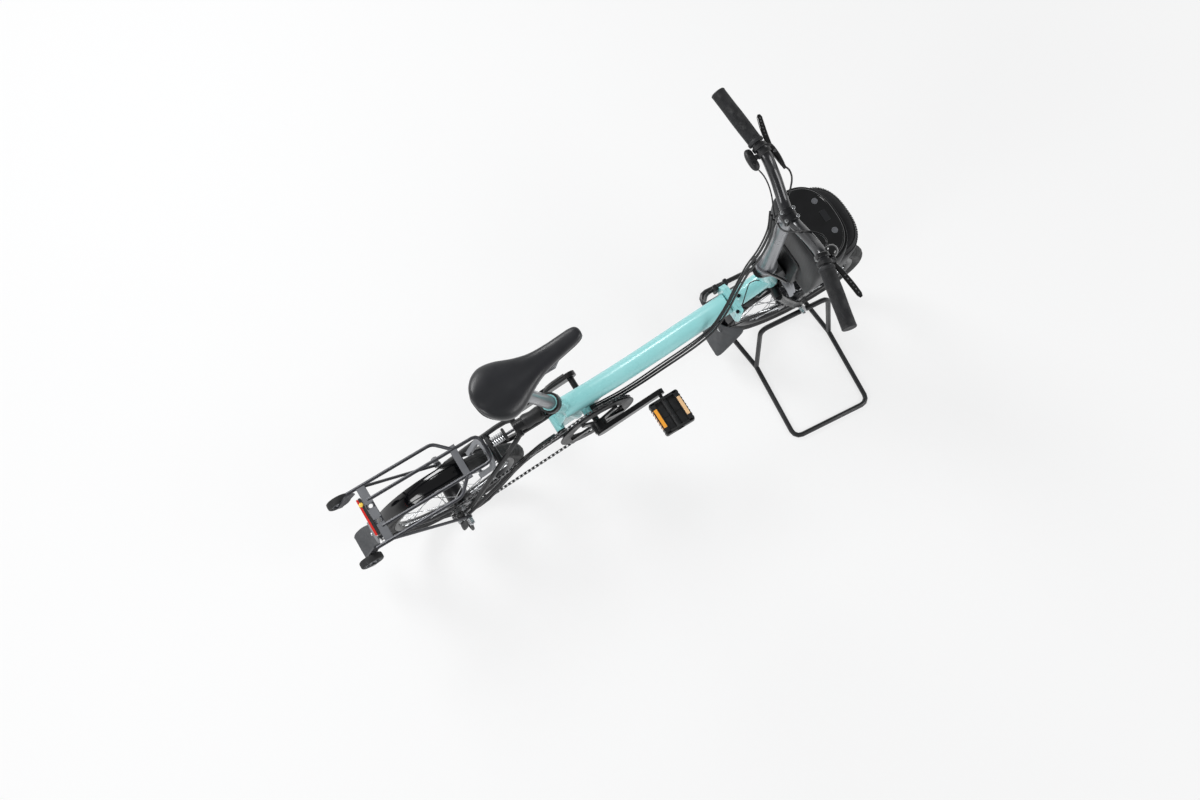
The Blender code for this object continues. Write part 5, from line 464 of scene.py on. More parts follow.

# %% [markdown]
# Lamps and reflectors are clear resin over a prism pattern. Small pyramids, 2 mm across, throw light
# back, and this gives the eye a bright grid that swims as it moves. Here that grid is partly the prism
# pattern and partly a painted glint: the cell edges are painted in a brighter colour that stays put.
# Transmission is left out, because the pattern behind is painted into the same surface.

# %% Lenses
def prism_lens(name, colour, second, cells=500.0):
    """Resin over prisms: a voronoi pattern measured along the axes gives the grid of cells, with a painted
    glint in the brighter colour at their edges.
    """
    made, tree, shader, where = new_finish(name, colour, 0.12, Coat_Weight=0.6, Coat_Roughness=0.05)
    prisms = add(tree, "TexVoronoi", {"Vector": where, "Scale": cells, "Randomness": 0.1},
        distance="CHEBYCHEV")
    share = add(tree, "MapRange", {0: prisms.outputs[0], 1: 0.1, 2: 0.6})
    # Painted glint: the cell edges take the brighter second colour, standing in for light the prisms throw
    # back.
    prism_glint_tone = add(tree, "Mix", {0: share.outputs[0], 6: hex_colour(colour), 7: hex_colour(second)},
        data_type="RGBA")
    tree.links.new(prism_glint_tone.outputs[2], shader.inputs["Base Color"])
    relief(tree, shader, prisms.outputs[0], 0.3)
    return made


# The second, brighter colour of each lens is the painted glint on its prism cell edges.
red_lens = prism_lens("red_lamp_resin", "#B81A17", "#E2352C")
amber_lens = prism_lens("amber_prism_reflector", "#F08A12", "#FFB545")
pale_amber = prism_lens("pale_amber_reflector", "#EBB377", "#F6CFA0")
yellow_lens = prism_lens("yellow_lamp_window", "#F2C230", "#FFE070")

# %% [markdown]
# The bag is nylon cloth with a plain weave. Real threads are a third of a millimetre apart and would
# vanish here, so the weave is drawn at 1.2 mm. The saddle cover is stretched vinyl: fine pores, soft
# sheen, and a tone that is a little paler where hands and clothes have rubbed it.

# %% Cloth and vinyl
def woven(name, colour, second, thread=0.0012):
    """Plain weave: sin(x) sin(y) of the two thread directions, mixed from three projected planes."""
    made, tree, shader, where = new_finish(name, colour, 0.82, Sheen_Weight=0.25, Sheen_Roughness=0.4)
    dust = mottle(tree, shader, where, colour, second, 45.0, 0.3, 0.7)
    waves = [add(tree, "TexWave", {"Vector": where, "Scale": 1 / (thread * 20)}, bands_direction=way)
        for way in "XYZ"]
    crossed = add(tree, "Math", {0: waves[0].outputs[1], 1: waves[1].outputs[1]}, operation="ADD")
    crossed = add(tree, "Math", {0: crossed.outputs[0], 1: waves[2].outputs[1]}, operation="ADD")
    relief(tree, shader, crossed.outputs[0], 0.15, 0.7)
    return made


bag_cloth = woven("woven_black_nylon", "#0D0E10", "#16171A")
strap_cloth = woven("black_webbing", "#101113", "#1A1B1D", 0.002)


def vinyl(name, colour, second):
    """Embossed vinyl: voronoi pores of 1.3 mm over slow hills of the foam."""
    made, tree, shader, where = new_finish(name, colour, 0.5, Sheen_Weight=0.08)
    mottle(tree, shader, where, colour, second, 14.0, 0.3, 0.75)
    uneven_gloss(tree, shader, where, 0.3, 0.44, 30.0)
    pores = add(tree, "TexVoronoi", {"Vector": where, "Scale": 760.0}, feature="SMOOTH_F1")
    relief(tree, shader, pores.outputs[0], 0.08)
    return made


saddle_vinyl = vinyl("stretched_saddle_vinyl", "#1B1C1F", "#242529")

# %% [markdown]
# Each CAD solid that already has its right shape only takes a finish. The table below names them by
# what the maker would order: paint, alloy, plastic or rubber.

# %% Finishes on the CAD solids
FINISHES = {
    turquoise_coat: ["main_frame", "front_frame"],
    black_plastic: ["hinge_clamp", "hinge_jaw", "seat_clamp", "carrier_block", "brake_lever_left",
    "brake_lever_right",
                    "shifter", "chain_tensioner", "pedal_right", "pedal_left", "suspension_block"],
    cable_plastic: ["control_cables"],
    bag_cloth: ["battery_bag"],
    gloss_plastic: ["battery_panel", "bell"],
    black_coat: ["fork", "display_stand", "rear_triangle"],
    rack_coat: ["rear_rack"],
    bright_metal: ["front_axle", "front_brake", "front_rim", "pivot_pin", "rear_brake", "rear_axle",
    "rear_rim", "pedal_hinge"],
    guard_gloss: ["front_mudguard", "rear_mudguard"],
    flap_rubber: ["front_flap", "rear_flap", "roller_left", "roller_right"],
    tyre_rubber: ["front_tyre", "rear_tyre"],
    black_metal: ["front_hub", "rear_hub", "cranks", "chainring"],
    graphite_coat: ["stem", "seatpost"],
    bar_coat: ["handlebar"],
    grip_rubber: ["grip_left", "grip_right"],
    red_lens: ["rear_light"],
    link_steel: ["chain"],
    saddle_vinyl: ["saddle"],
}
for finish_made, names in FINISHES.items():
    for name in names:
        mesh = nodes[name].data
        mesh.materials.clear()
        mesh.materials.append(finish_made)
print(sum(map(len, FINISHES.values())), "CAD solids finished out of", len(nodes))

# %% [markdown]
# Cables come before the other pieces, because they decide how much room the whole object needs. Three
# outer cables leave the bars, hang past the stem, cross the hinge and sweep beside the main tube down
# to the bottom bracket, where they are clamped. Two are thick and lie close together, the third is
# thinner and stands off a little. Each is one smooth curve through the same measured route, set aside
# from it by a few millimetres, and its cover is 4 to 6 mm thick, as real casings are.

# The fold, the steering and the stem hinge all pass close by the cables. So each cable has three runs
# that meet where it hangs free, and each run bends from one body to the next across one of the joints.

# %% The three control cables
CABLE_ROUTE = np.array([
    (0.3555, 0.011, 0.9051), (0.3495, -0.003, 0.8401), (0.3335, -0.009, 0.7601), (0.312, -0.009, 0.6851),
    (0.29, -0.015, 0.6001), (0.2598, -0.0291, 0.53), (0.222, -0.0415, 0.475), (0.181, -0.0435, 0.44),
    (0.1349, -0.042, 0.41), (0.075, -0.0395, 0.38), (0.0141, -0.038, 0.3581), (-0.0449, -0.034, 0.338),
    (-0.12, -0.0258, 0.3255),
])
# Metres sideways and upwards from the route, at its start, over the hinge, at mid tube and at the end.
CABLE_LAYS = {
    "rear_brake_cable": (0.0062, [(0.004, 0.004), (0.0035, 0.003), (0.003, 0.0014), (0.0016, 0.0006)]),
    "gear_cable": (0.0056, [(-0.005, -0.002), (-0.0035, -0.002), (-0.0032, -0.0018), (-0.0044, 0.0004)]),
    "motor_cable": (0.0042, [(0.012, 0.008), (0.0075, 0.006), (0.0085, 0.0075), (0.0068, 0.0018)]),
}


def cord_length(path):
    """The sum of the steps along a path."""
    return float(np.linalg.norm(np.diff(path, axis=0), axis=1).sum())


def lay_cord(name, path, diameter, body=None, between=()):
    """A cable as a tube of even rings along its path. One that bends between two bodies stands for the solid
    cables."""
    parts = tube_parts(path, diameter / 2, 10)
    piece = new_piece(name, parts, None, cable_plastic, body, 60.0)
    if between:
        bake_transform(piece, *between)
        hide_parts("control_cables")
    return piece


CABLE_CUTS = (0.68, 0.62)
share = np.linspace(0, 1, len(CABLE_ROUTE))
for cable_name, (diameter, lay) in CABLE_LAYS.items():
    lay = np.array(lay)
    aside, above = (np.interp(share, (0, 0.45, 0.75, 1), lay[:, k]) for k in (0, 1))
    route = CABLE_ROUTE + np.stack([0 * aside, aside, above], -1)
    path = smooth_line(on_frame(route), 130)
    z = path[:, 2]
    joint_at = [int(np.argmax(z < height)) for height in CABLE_CUTS]
    runs = {
        "_upper": (path[:joint_at[0] + 1], "fork", "stem", 0.69, 0.79),
        "_middle": (path[joint_at[0]:joint_at[1] + 1], "front_frame", "fork", 0.63, 0.672),
        "_lower": (path[joint_at[1]:], "main_frame", "front_frame", 0.53, 0.6),
    }
    for ending, (run, first, second, low_z, high_z) in runs.items():
        turning = [tuple(path[int(np.argmax(z < height))]) for height in (low_z, high_z)]
        lay_cord(cable_name + ending, run, diameter, between=(first, second, *turning))
    print(cable_name, round(cord_length(path), 3), "m")

# %% [markdown]
# A small tyre is a casing of cords under rubber. Its section is nearly round with two stiff beads that
# sit in the rim. The tread of a city tyre is shallow: a centre line, slanted grooves every 12 mm, and
# rows of blocks at the shoulder. All of it is one closed surface. The groove depth is taken off along
# the section's own normal, so the grooves stay inside the tyre's size.

# %% Tyres with their tread
TYRE_DEPTH, GROOVE_DEPTH = 0.0178, 0.0013
GROOVES, BLOCKS = 54, 108


def tyre_parts(centre, radius=0.2098, half=0.0178, turns=420, around_section=44):
    """Section angle s, wheel angle w: r = mid + depth cos s, y = half sin s, less the grooves g(s, w)."""
    s = np.radians(np.linspace(-128, 128, around_section))
    w = np.linspace(0, 2 * np.pi, turns, endpoint=False)
    depth = TYRE_DEPTH
    crown = radius - depth
    across_way = s / np.radians(60)
    slant = w[:, None] * GROOVES + 2.2 * np.abs(across_way)[None]
    grooves = np.clip((np.cos(slant) - 0.72) / 0.28, 0, 1) * (np.abs(across_way) < 1.05)[None]
    centre_line = (np.abs(np.abs(across_way) - 0.22) < 0.09)[None] * np.ones_like(slant)
    shoulder = (np.cos(w[:, None] * BLOCKS) > 0.35) * (np.abs(np.abs(across_way) - 1.22) < 0.13)[None]
    cut = GROOVE_DEPTH * np.clip(np.maximum(np.maximum(grooves, centre_line), shoulder), 0, 1)
    r = crown + (depth - cut) * np.cos(s)[None]
    y = (half - cut) * np.sin(s)[None] * np.ones_like(r)
    bead_r = np.array([0.1769, 0.1767, 0.1767, 0.1769])
    bead_y = np.array([0.0128, 0.0104, -0.0104, -0.0128])
    r = np.concatenate([r, np.tile(bead_r, (turns, 1))], 1)
    y = np.concatenate([y, np.tile(bead_y, (turns, 1))], 1)
    grid = np.stack([centre[0] + r * np.cos(w)[:, None], centre[1] + y, centre[2]
        + r * np.sin(w)[:, None]], -1)
    return grid_parts(grid, wrap_rows=True)


for end, centre, to_place in (("front", FRONT_AXLE, on_fork), ("rear", REAR_AXLE, on_frame)):
    parts = tyre_parts(centre)
    tyre = new_piece(end + "_tyre_tread", parts, to_place, tyre_rubber, end + "_wheel")
    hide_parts(end + "_tyre")
    print(end, "tyre", len(tyre.data.polygons), "faces")

# %% [markdown]
# A wheel is laced: from each flange half of the spokes lean forwards and half backwards, and each
# forward one crosses a backward one. Stainless spokes 2 mm thick end in brass nipples at the rim. The
# front hub is a motor, a wide flat drum with cooling fins and a cover held by screws; the rear one is a
# slim shell with a flange at each end and a small sprocket.

# %% Rims, hubs and spokes
RIM_SEAT, RIM_SPREAD = 0.1598, 0.006
CROSSINGS = 9
PITCH = 0.0127


def spoke_parts(centre, flange, flange_y, lean):
    """Rods from the flange circle at angle w + lean to the rim circle at w, thickening to a nipple."""
    parts = []
    for side in (1, -1):
        for k in range(CROSSINGS):
            for way in (1, -1):
                w = 2 * math.pi * (k + (0.25 if side > 0 else 0.75) + 0.13 * way) / CROSSINGS
                foot = w - way * lean
                a = centre + np.array([flange * math.cos(foot), side * flange_y, flange * math.sin(foot)])
                b = centre + np.array([RIM_SEAT * math.cos(w), side * RIM_SPREAD, RIM_SEAT * math.sin(w)])
                along = b - a
                length = np.linalg.norm(along)
                parts.append(turned_parts([(0.0011, 0), (0.001, length - 0.015),
                    (0.0019, length - 0.0135), (0.002, length)], a, along, 8))
    return gather(parts)


def rim_parts(centre, outer=0.1755, inner=0.1592, half=0.0125):
    """A double-walled rim: a channel with curled lips outside and a slight crown inside."""
    profile = np.array([
        (outer, half), (outer - 0.0008, half - 0.0016), (outer - 0.0055, half - 0.0022),
        (outer - 0.0072, half - 0.004),
        (outer - 0.0078, 0.003), (outer - 0.0085, 0.0), (outer - 0.0078, -0.003),
        (outer - 0.0072, 0.004 - half),
        (outer - 0.0055, 0.0022 - half), (outer - 0.0008, 0.0016 - half), (outer, -half),
        (outer - 0.0016, -half - 0.0002),
        (outer - 0.009, 0.0004 - half), (inner + 0.0034, 0.003 - half), (inner + 0.0006, 0.006 - half),
        (inner, 0.0),
        (inner + 0.0006, half - 0.006), (inner + 0.0034, half - 0.003), (outer - 0.009, half - 0.0004),
        (outer - 0.0016, half + 0.0002),
    ])
    return turned_parts(profile, centre, (0, 1, 0), 120, closed=True)


FRONT_HUB_PROFILE = mirrored([
    (0.0068, -0.0343), (0.012, -0.0343), (0.0135, -0.0325), (0.024, -0.0318), (0.026, -0.0305),
    (0.0475, -0.0292),
    (0.0545, -0.0275), (0.056, -0.0255), (0.056, -0.0215), (0.0525, -0.0205), (0.0525, -0.0165),
    (0.0545, -0.0155),
    (0.0545, -0.0125), (0.0525, -0.0115), (0.0525, -0.0075), (0.0545, -0.0065), (0.0545, -0.0035),
    (0.0525, -0.0025),
])
REAR_HUB_PROFILE = [
    (0.0062, -0.044), (0.015, -0.044), (0.017, -0.0425), (0.0175, -0.033), (0.038, -0.0315),
    (0.0385, -0.03),
    (0.038, -0.0285), (0.027, -0.0275), (0.025, -0.023), (0.0245, 0.0), (0.025, 0.023), (0.027, 0.0275),
    (0.038, 0.0285), (0.0385, 0.03), (0.038, 0.0315), (0.0175, 0.033), (0.016, 0.05), (0.012, 0.054),
    (0.0062, 0.0545),
]


def bored(profile, centre, bore=0.0063):
    """A hub shell turned round the axle and closed inside by the bore, so the axle runs through it."""
    profile = [(max(r, bore), y) for r, y in profile]
    return turned_parts(profile, centre, (0, 1, 0), 64, closed=True)


def screw_ring(centre, radius, y, count, size=0.0028, height=0.0016):
    """Small domed screws set evenly on a circle."""
    a = np.linspace(0, 2 * np.pi, count, endpoint=False)
    spots = centre + np.stack([radius * np.cos(a), 0 * a + y, radius * np.sin(a)], -1)
    side = math.copysign(1.0, y)
    shape = [(0.0001, 0), (size, 0), (size, height * 0.5), (size * 0.8, height), (size * 0.45, height),
        (size * 0.4, height * 0.5), (0.0001, height * 0.5)]
    return gather([turned_parts(shape, spot, (0, side, 0), 12) for spot in spots])


for end, centre, to_place in (("front", FRONT_AXLE, on_fork), ("rear", REAR_AXLE, on_frame)):
    parts = rim_parts(centre)
    rim = new_piece(end + "_rim_channel", parts, to_place, black_metal, end + "_wheel",
        50.0)
    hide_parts(end + "_rim")

parts = bored(FRONT_HUB_PROFILE, FRONT_AXLE, 0.0068)
motor = new_piece("front_hub_motor", parts, on_fork, black_metal, "front_wheel")
parts = spoke_parts(FRONT_AXLE, 0.0545, 0.0235, math.radians(24))
new_piece("front_spokes", parts, on_fork, spoke_steel, "front_wheel")
parts = [screw_ring(FRONT_AXLE, 0.041, side * 0.0296, 8) for side in (1, -1)]
new_piece("motor_cover_screws", parts, on_fork, bolt_steel, "front_wheel")
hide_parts("front_hub")


def sprocket_parts(centre, teeth, y, thickness, bore, height=0.0042):
    """Teeth as a wave of the pitch circle: r = pitch / (2 sin(pi / n)) + h times a flattened cosine."""
    pitch = PITCH / (2 * math.sin(math.pi / teeth))
    w = np.linspace(0, 2 * np.pi, teeth * 12, endpoint=False)
    wave = np.clip(np.cos(w * teeth) * 1.5, -1, 1)
    r = pitch - 0.0012 + height * wave * np.where(wave > 0, 0.72, 0.82)
    half = thickness / 2 * np.ones_like(r)
    thin = np.clip((r - pitch) / height, 0, 1) * thickness * 0.25
    rings = [(np.full_like(r, bore), -half), (r, -half + thin), (r, half - thin),
        (np.full_like(r, bore), half)]
    x, z = np.cos(w), np.sin(w)
    grid = [np.stack([centre[0] + q * x, centre[1] + y + h, centre[2] + q * z], -1) for q, h in rings]
    return grid_parts(np.array(grid), wrap_rows=True)


parts = bored(REAR_HUB_PROFILE, REAR_AXLE)
rear_shell = new_piece("rear_hub_shell", parts, on_frame, black_metal, "rear_wheel")
parts = spoke_parts(REAR_AXLE, 0.035, 0.03, math.radians(38))
new_piece("rear_spokes", parts, on_frame, spoke_steel, "rear_wheel")
parts = sprocket_parts(REAR_AXLE, 13, -0.048, 0.0022, 0.012)
new_piece("rear_sprocket", parts, on_frame, link_steel, "rear_wheel", 30.0)
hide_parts("rear_hub")
print("wheels laced")

# %% [markdown]
# The chain is the part that looks least like a belt when it is done well. Each link is a pair of plates
# shaped like an eight, and inner pairs sit between outer pairs, joined by rollers 7.7 mm thick. The loop
# is worked out as a belt: it leaves one circle and meets the next along their common tangent. Links
# stand at even half-inch steps along it.

# %% The chain of real links
CHAIN_Y = -0.048
CHAIN_ROLLER = mirrored([(0.0018, -0.0036), (0.0018, -0.0013), (0.0038, -0.0012)])
# Centre, teeth and way round of each wheel: ring, two jockey wheels and sprocket.
WHEELS_OF_CHAIN = (
    (np.array([-0.12, 0.3]), 50, -1), (np.array([-0.536, 0.129]), 11, -1),
    (np.array([-0.474, 0.156]), 11, 1), (np.array([-0.5225, 0.21]), 13, -1),
)


def belt_line():
    """Points round the circles in turn: arcs from one tangent point to the next, in the XZ plane."""
    circles = [(c, PITCH / (2 * math.sin(math.pi / n)), sense) for c, n, sense in WHEELS_OF_CHAIN]
    leaving, arriving = {}, {}
    for i, (a, ra, sa) in enumerate(circles):
        j = (i + 1) % len(circles)
        b, rb, sb = circles[j]
        base = math.atan2(*(b - a)[::-1])
        normal = base - math.acos((ra * sa - rb * sb) / np.linalg.norm(b - a))
        way = np.array([math.cos(normal), math.sin(normal)])
        leaving[i], arriving[j] = a + sa * ra * way, b + sb * rb * way
    line = []
    for i, (c, r, sense) in enumerate(circles):
        first, last = (math.atan2(*(p - c)[::-1]) for p in (arriving[i], leaving[i]))
        sweep = (last - first) * sense % (2 * math.pi)
        a = first + sense * np.linspace(0, sweep, max(4, int(sweep / math.radians(3))))
        line.append(np.stack([c[0] + r * np.cos(a), c[1] + r * np.sin(a)], -1))
    return np.concatenate(line)


def even_pins(line, spacing):
    """Pins at even steps along the closed line, an even number of them."""
    closed = np.concatenate([line, line[:1]])
    reach = np.concatenate([[0], np.cumsum(np.linalg.norm(np.diff(closed, axis=0), axis=1))])
    count = 2 * round(reach[-1] / spacing / 2)
    at = np.linspace(0, reach[-1], count, endpoint=False)
    return np.stack([np.interp(at, reach, closed[:, k]) for k in (0, 1)], -1)


def link_plates(first, last, y, thickness, big=0.0042, waist=0.0028):
    """Plates like an eight: half-height b at the pins and w between, swept from y to y + thickness."""
    t = np.linspace(0, np.pi, 5)
    end = np.stack([np.sin(t) * big, np.cos(t) * big], -1)
    along = np.linalg.norm(last - first, axis=1)[:, None]
    shape_x = np.concatenate([end[:, 0], [0.0], -end[:, 0], [0.0]])
    shape_z = np.concatenate([end[:, 1], [-waist], -end[:, 1], [waist]])
    half = np.concatenate([np.full(5, 0.5), [0.0], np.full(5, -0.5), [0.0]])
    x = (last - first) / along
    z = np.stack([-x[:, 1], x[:, 0]], -1)
    middle = (first + last) / 2
    ahead = shape_x[None, :, None] + half[None, :, None] * along[:, None]
    flat = middle[:, None] + x[:, None] * ahead + z[:, None] * shape_z[None, :, None]
    sides = (np.stack([flat[..., 0], np.full(flat.shape[:2], h), flat[..., 1]], -1)
        for h in (y, y + thickness))
    rings = np.stack(list(sides), 1)
    return gather([grid_parts(ring) for ring in rings])


pins = even_pins(belt_line(), PITCH)
later = np.roll(pins, -1, 0)
inner, outer = np.arange(0, len(pins), 2), np.arange(1, len(pins), 2)
plates = []
for these, sides in ((inner, (0.0013, -0.0022)), (outer, (0.0023, -0.0032))):
    plates += [link_plates(pins[these], later[these], CHAIN_Y + y, 0.0009) for y in sides]
chain_plates = new_piece("chain_link_plates", plates, on_frame, link_steel, None, 40.0)
rollers = [turned_parts(CHAIN_ROLLER, (x, CHAIN_Y, z), Y_WAY, 10) for x, z in pins]
chain_pins = new_piece("chain_rollers", rollers, on_frame, pin_steel, None, 40.0)
for piece in (chain_plates, chain_pins):
    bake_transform(piece, "main_frame", "rear_frame", start=(-0.195, 0, 0.3), end=(-0.33, 0, 0.3))
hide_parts("chain")
print(len(pins), "chain links")

# %% [markdown]
# A sport saddle is a plastic shell with moulded foam and a stretched vinyl cover. Nothing in it is
# loose, so it is not a cushion for a cloth simulation: its crown is what the mould gave it. The plan is
# a table of half-widths from nose to tail. Each cross-section is a superellipse, round above and flat
# below, and the whole saddle stands a few degrees askew, as saddles do.

# %% Saddle
def superellipse(angle, width, upper, lower, side_power, top_power, foot_power):
    """y = w sgn(c)|c|^p, z = h sgn(s)|s|^q, with another h and q below, for cosine c and sine s."""
    c, s = np.cos(angle), np.sin(angle)
    y = width * np.sign(c) * np.abs(c) ** side_power
    z = np.where(s > 0, upper * np.abs(s) ** top_power, -lower * np.abs(s) ** foot_power)
    return y, z


# Distance of the row behind the nose, half-width, height of the widest line, crown above it.
SADDLE_PLAN = [
    (0.0, 0.0004, -0.012, 0.0006), (0.0008, 0.0056, -0.011, 0.006), (0.0035, 0.0106, -0.01, 0.009),
    (0.0095, 0.0146, -0.009, 0.01), (0.022, 0.0172, -0.01, 0.011), (0.046, 0.019, -0.012, 0.012),
    (0.076, 0.0214, -0.014, 0.012), (0.112, 0.0272, -0.017, 0.0135), (0.144, 0.039, -0.019, 0.016),
    (0.176, 0.0552, -0.02, 0.02), (0.198, 0.0618, -0.02, 0.0225), (0.216, 0.0622, -0.019, 0.023),
    (0.234, 0.0548, -0.017, 0.0215), (0.248, 0.042, -0.014, 0.018), (0.2565, 0.0286, -0.012, 0.0135),
    (0.2608, 0.015, -0.01, 0.008), (0.262, 0.0004, -0.01, 0.0006),
]
SADDLE_NOSE = np.array([-0.1235, 0.003, 0.949])
SADDLE_YAW = math.radians(6.0)
SADDLE_LENGTH = 0.262


def saddle_surface(rows=96, sides=56):
    """Rings of superellipses along the table, turned about the nose by the yaw."""
    table = smooth_line(SADDLE_PLAN, rows)
    a = np.linspace(0, 2 * np.pi, sides, endpoint=False)[None]
    back, half, level, crown = (table[:, k, None] for k in range(4))
    y, z = superellipse(a, half, crown, np.minimum(crown * 1.3, 0.0145), 0.72, 0.86, 0.3)
    dip = 0.0025 * np.exp(-(y / 0.016) ** 2) * np.clip((back - 0.05) / 0.1, 0, 1) * (np.sin(a) > 0)
    lift = 0.01 * (back / SADDLE_LENGTH) ** 2 - 0.006 * np.sin(np.pi * back / SADDLE_LENGTH)
    grid = np.stack([-back + 0 * y, y, z + level - dip + lift + 0.004], -1)
    c, s = math.cos(-SADDLE_YAW), math.sin(-SADDLE_YAW)
    turn = np.array([[c, s, 0], [-s, c, 0], [0, 0, 1]])
    return grid @ turn.T + SADDLE_NOSE


parts = grid_parts(saddle_surface())
saddle = new_piece("saddle_cover", parts, on_frame, saddle_vinyl, "seatpost", 60.0)
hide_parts("saddle")
rows = saddle_surface()
skirt = np.concatenate([rows[3:-2, 52], rows[3:-2, 32][::-1]])
bead = smooth_line(skirt, 150, closed=True)
parts = tube_parts(bead, 0.0016, 8, closed=True)
new_piece("saddle_edge_seam", parts, on_frame, black_plastic, "seatpost")
print("saddle covered")

# %% [markdown]
# The battery rides in a stiff nylon bag. Seen from above it has the plan of a D: nearly flat towards
# the rider and a full curve ahead. A second, lower pocket bulges from its front. Nylon over foam never
# lies flat, so each wall gets slow waves a few millimetres deep, and corners are closed by piping.

# %% The battery bag
BAG_MIDDLE_X = 0.47


def bag_plan(count, back, front, half, middle=BAG_MIDDLE_X):
    """A D from two superellipses: power 2/2.5 ahead and 2/5 towards the rider."""
    a = np.linspace(0, 2 * np.pi, count, endpoint=False)
    c, s = np.cos(a), np.sin(a)
    x = np.where(c > 0, front * np.abs(c) ** 0.8, -back * np.abs(c) ** 0.4)
    y = half * np.sign(s) * np.abs(s) ** np.where(c > 0, 0.8, 0.62)
    return np.stack([middle + x, y], -1)


def bag_shell(levels, back, front, half, sides=120, middle=BAG_MIDDLE_X, waves=0.0009, seed=3.0):
    """Rings of the plan drawn in at each level, with sums of sines as the cloth's slow waves."""
    rows = smooth_line(levels, 60)
    plan = bag_plan(sides, 1.0, 1.0, 1.0, 0.0)
    z, inset = rows[:, 0, None], rows[:, 1, None]
    size_x = np.where(plan[:, 0] > 0, front, back)[None] - inset
    x = middle + plan[None, :, 0] * size_x
    y = plan[None, :, 1] * (half - inset)
    a = np.linspace(0, 2 * np.pi, sides, endpoint=False)[None]
    ripple = np.sin(3 * a + 17 * z + seed) * np.sin(31 * z + 2 * a) + 0.5 * np.sin(4 * a - 38 * z + seed)
    ease = np.clip(inset.max() / 2 - np.abs(inset - inset.min()), 0, None) / (inset.max() / 2 + 1e-9)
    ripple = waves * ripple * np.clip(ease, 0, 1)
    return np.stack([x + np.cos(a) * ripple, y + np.sin(a) * ripple, z + 0 * x], -1)


BAG_LEVELS = [
    (0.4524, 0.078), (0.4524, 0.042), (0.454, 0.031), (0.459, 0.0245), (0.47, 0.02), (0.5, 0.015),
    (0.56, 0.008), (0.64, 0.0016), (0.685, 0.0008), (0.705, 0.0036), (0.714, 0.0085), (0.7178, 0.014),
    (0.7182, 0.05),
]
shell = bag_shell(BAG_LEVELS, 0.029, 0.088, 0.1045)
bag = new_piece("bag_body", grid_parts(shell), on_frame, bag_cloth, "front_frame", 60.0)
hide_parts("battery_bag")

POCKET_LEVELS = [
    (0.486, 0.062), (0.4862, 0.038), (0.49, 0.025), (0.498, 0.017), (0.515, 0.012), (0.58, 0.004),
    (0.645, 0.001), (0.67, 0.006), (0.684, 0.014), (0.6885, 0.024), (0.689, 0.05),
]
pocket_shell = bag_shell(POCKET_LEVELS, 0.03, 0.08, 0.0975, 120, 0.5185, 0.0012, 1.0)
parts = grid_parts(pocket_shell)
pocket = new_piece("bag_front_pocket", parts, on_frame, bag_cloth, "front_frame", 60.0)


def plan_ring(back, front, half, height, middle=BAG_MIDDLE_X, count=150):
    """The D at one height as a closed path, read again at even steps."""
    flat = bag_plan(120, back, front, half, middle)
    return smooth_line(np.c_[flat, np.full(len(flat), height)], count, closed=True)


piping = [tube_parts(plan_ring(0.0235, 0.081, 0.0975, 0.715), 0.0022, 8, closed=True)]
piping.append(tube_parts(plan_ring(0.002, 0.061, 0.0775, 0.456), 0.0018, 8, closed=True))
pocket_edge = plan_ring(0.03, 0.0668, 0.0843, 0.6832, 0.5185)
piping.append(tube_parts(pocket_edge[pocket_edge[:, 0] > 0.5245], 0.002, 8))
new_piece("bag_piping", piping, on_frame, strap_cloth, "front_frame", 50.0)


def zip_parts(path, pitch=0.003, size=0.0011):
    """Small teeth at even steps of a path, alternately a little high and low, on a flat tape."""
    count = int(cord_length(path) / pitch)
    line = smooth_line(path, count)
    step = np.where(np.arange(count) % 2, 0.0007, -0.0007)[:, None] * Z_WAY
    tangent = np.gradient(line, axis=0)
    tangent /= np.linalg.norm(tangent, axis=1)[:, None]
    out = np.cross(tangent, Z_WAY)
    corners = np.array([(-1, -1), (1, -1), (1, 1), (-1, 1)]) * size
    face = tangent[:, None] * corners[None, :, :1] + Z_WAY * corners[None, :, 1:] * 1.2
    rings = np.stack([(line + step)[:, None] + face + out[:, None] * depth
        for depth in (-0.0012, 0.0012)], 1)
    return gather([grid_parts(ring) for ring in rings])


zip_line = plan_ring(0.03, 0.0748, 0.0923, 0.669, 0.5185)
zip_line = zip_line[zip_line[:, 0] > 0.5285]
zip_line = zip_line[np.argsort(np.arctan2(zip_line[:, 1], zip_line[:, 0] - 0.5))]
parts = zip_parts(zip_line)
new_piece("pocket_zip_teeth", parts, on_frame, black_plastic, "front_frame", 30.0)

# The panel: a dished plate inside a raised lip.
PANEL_LEVELS = [(0.7184, 0.0), (0.723, 0.0), (0.7243, 0.0012), (0.7243, 0.0034), (0.7234, 0.0044),
    (0.7234, 0.07)]


def stepped_shell(levels, back, front, half, middle=BAG_MIDDLE_X, sides=120):
    """Rings of the plan at exactly the given levels and insets, without smoothing between them."""
    plan = bag_plan(sides, 1.0, 1.0, 1.0, 0.0)
    z, inset = np.asarray(levels)[:, 0, None], np.asarray(levels)[:, 1, None]
    x = middle + plan[None, :, 0] * np.clip(np.where(plan[:, 0] > 0, front, back)[None] - inset, 0.001,
        None)
    y = plan[None, :, 1] * np.clip(half - inset, 0.001, None)
    return np.stack([x, y, z + 0 * x], -1)


parts = grid_parts(stepped_shell(PANEL_LEVELS, 0.02, 0.076, 0.0925))
panel = new_piece("bag_top_panel", parts, on_frame, gloss_plastic, "front_frame")
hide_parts("battery_panel")


def button_parts(x, y, radius, height=0.0012):
    """A round key: a groove ring, a raised rim and a dished face turned round a vertical axis."""
    profile = [(0.0002, 0), (radius, 0), (radius, height), (radius * 0.88, height * 1.2),
        (radius * 0.76, height), (radius * 0.7, height * 0.4), (0.0002, height * 0.2)]
    return turned_parts(profile, (x, y, 0.7233), (0, 0, 1), 40)


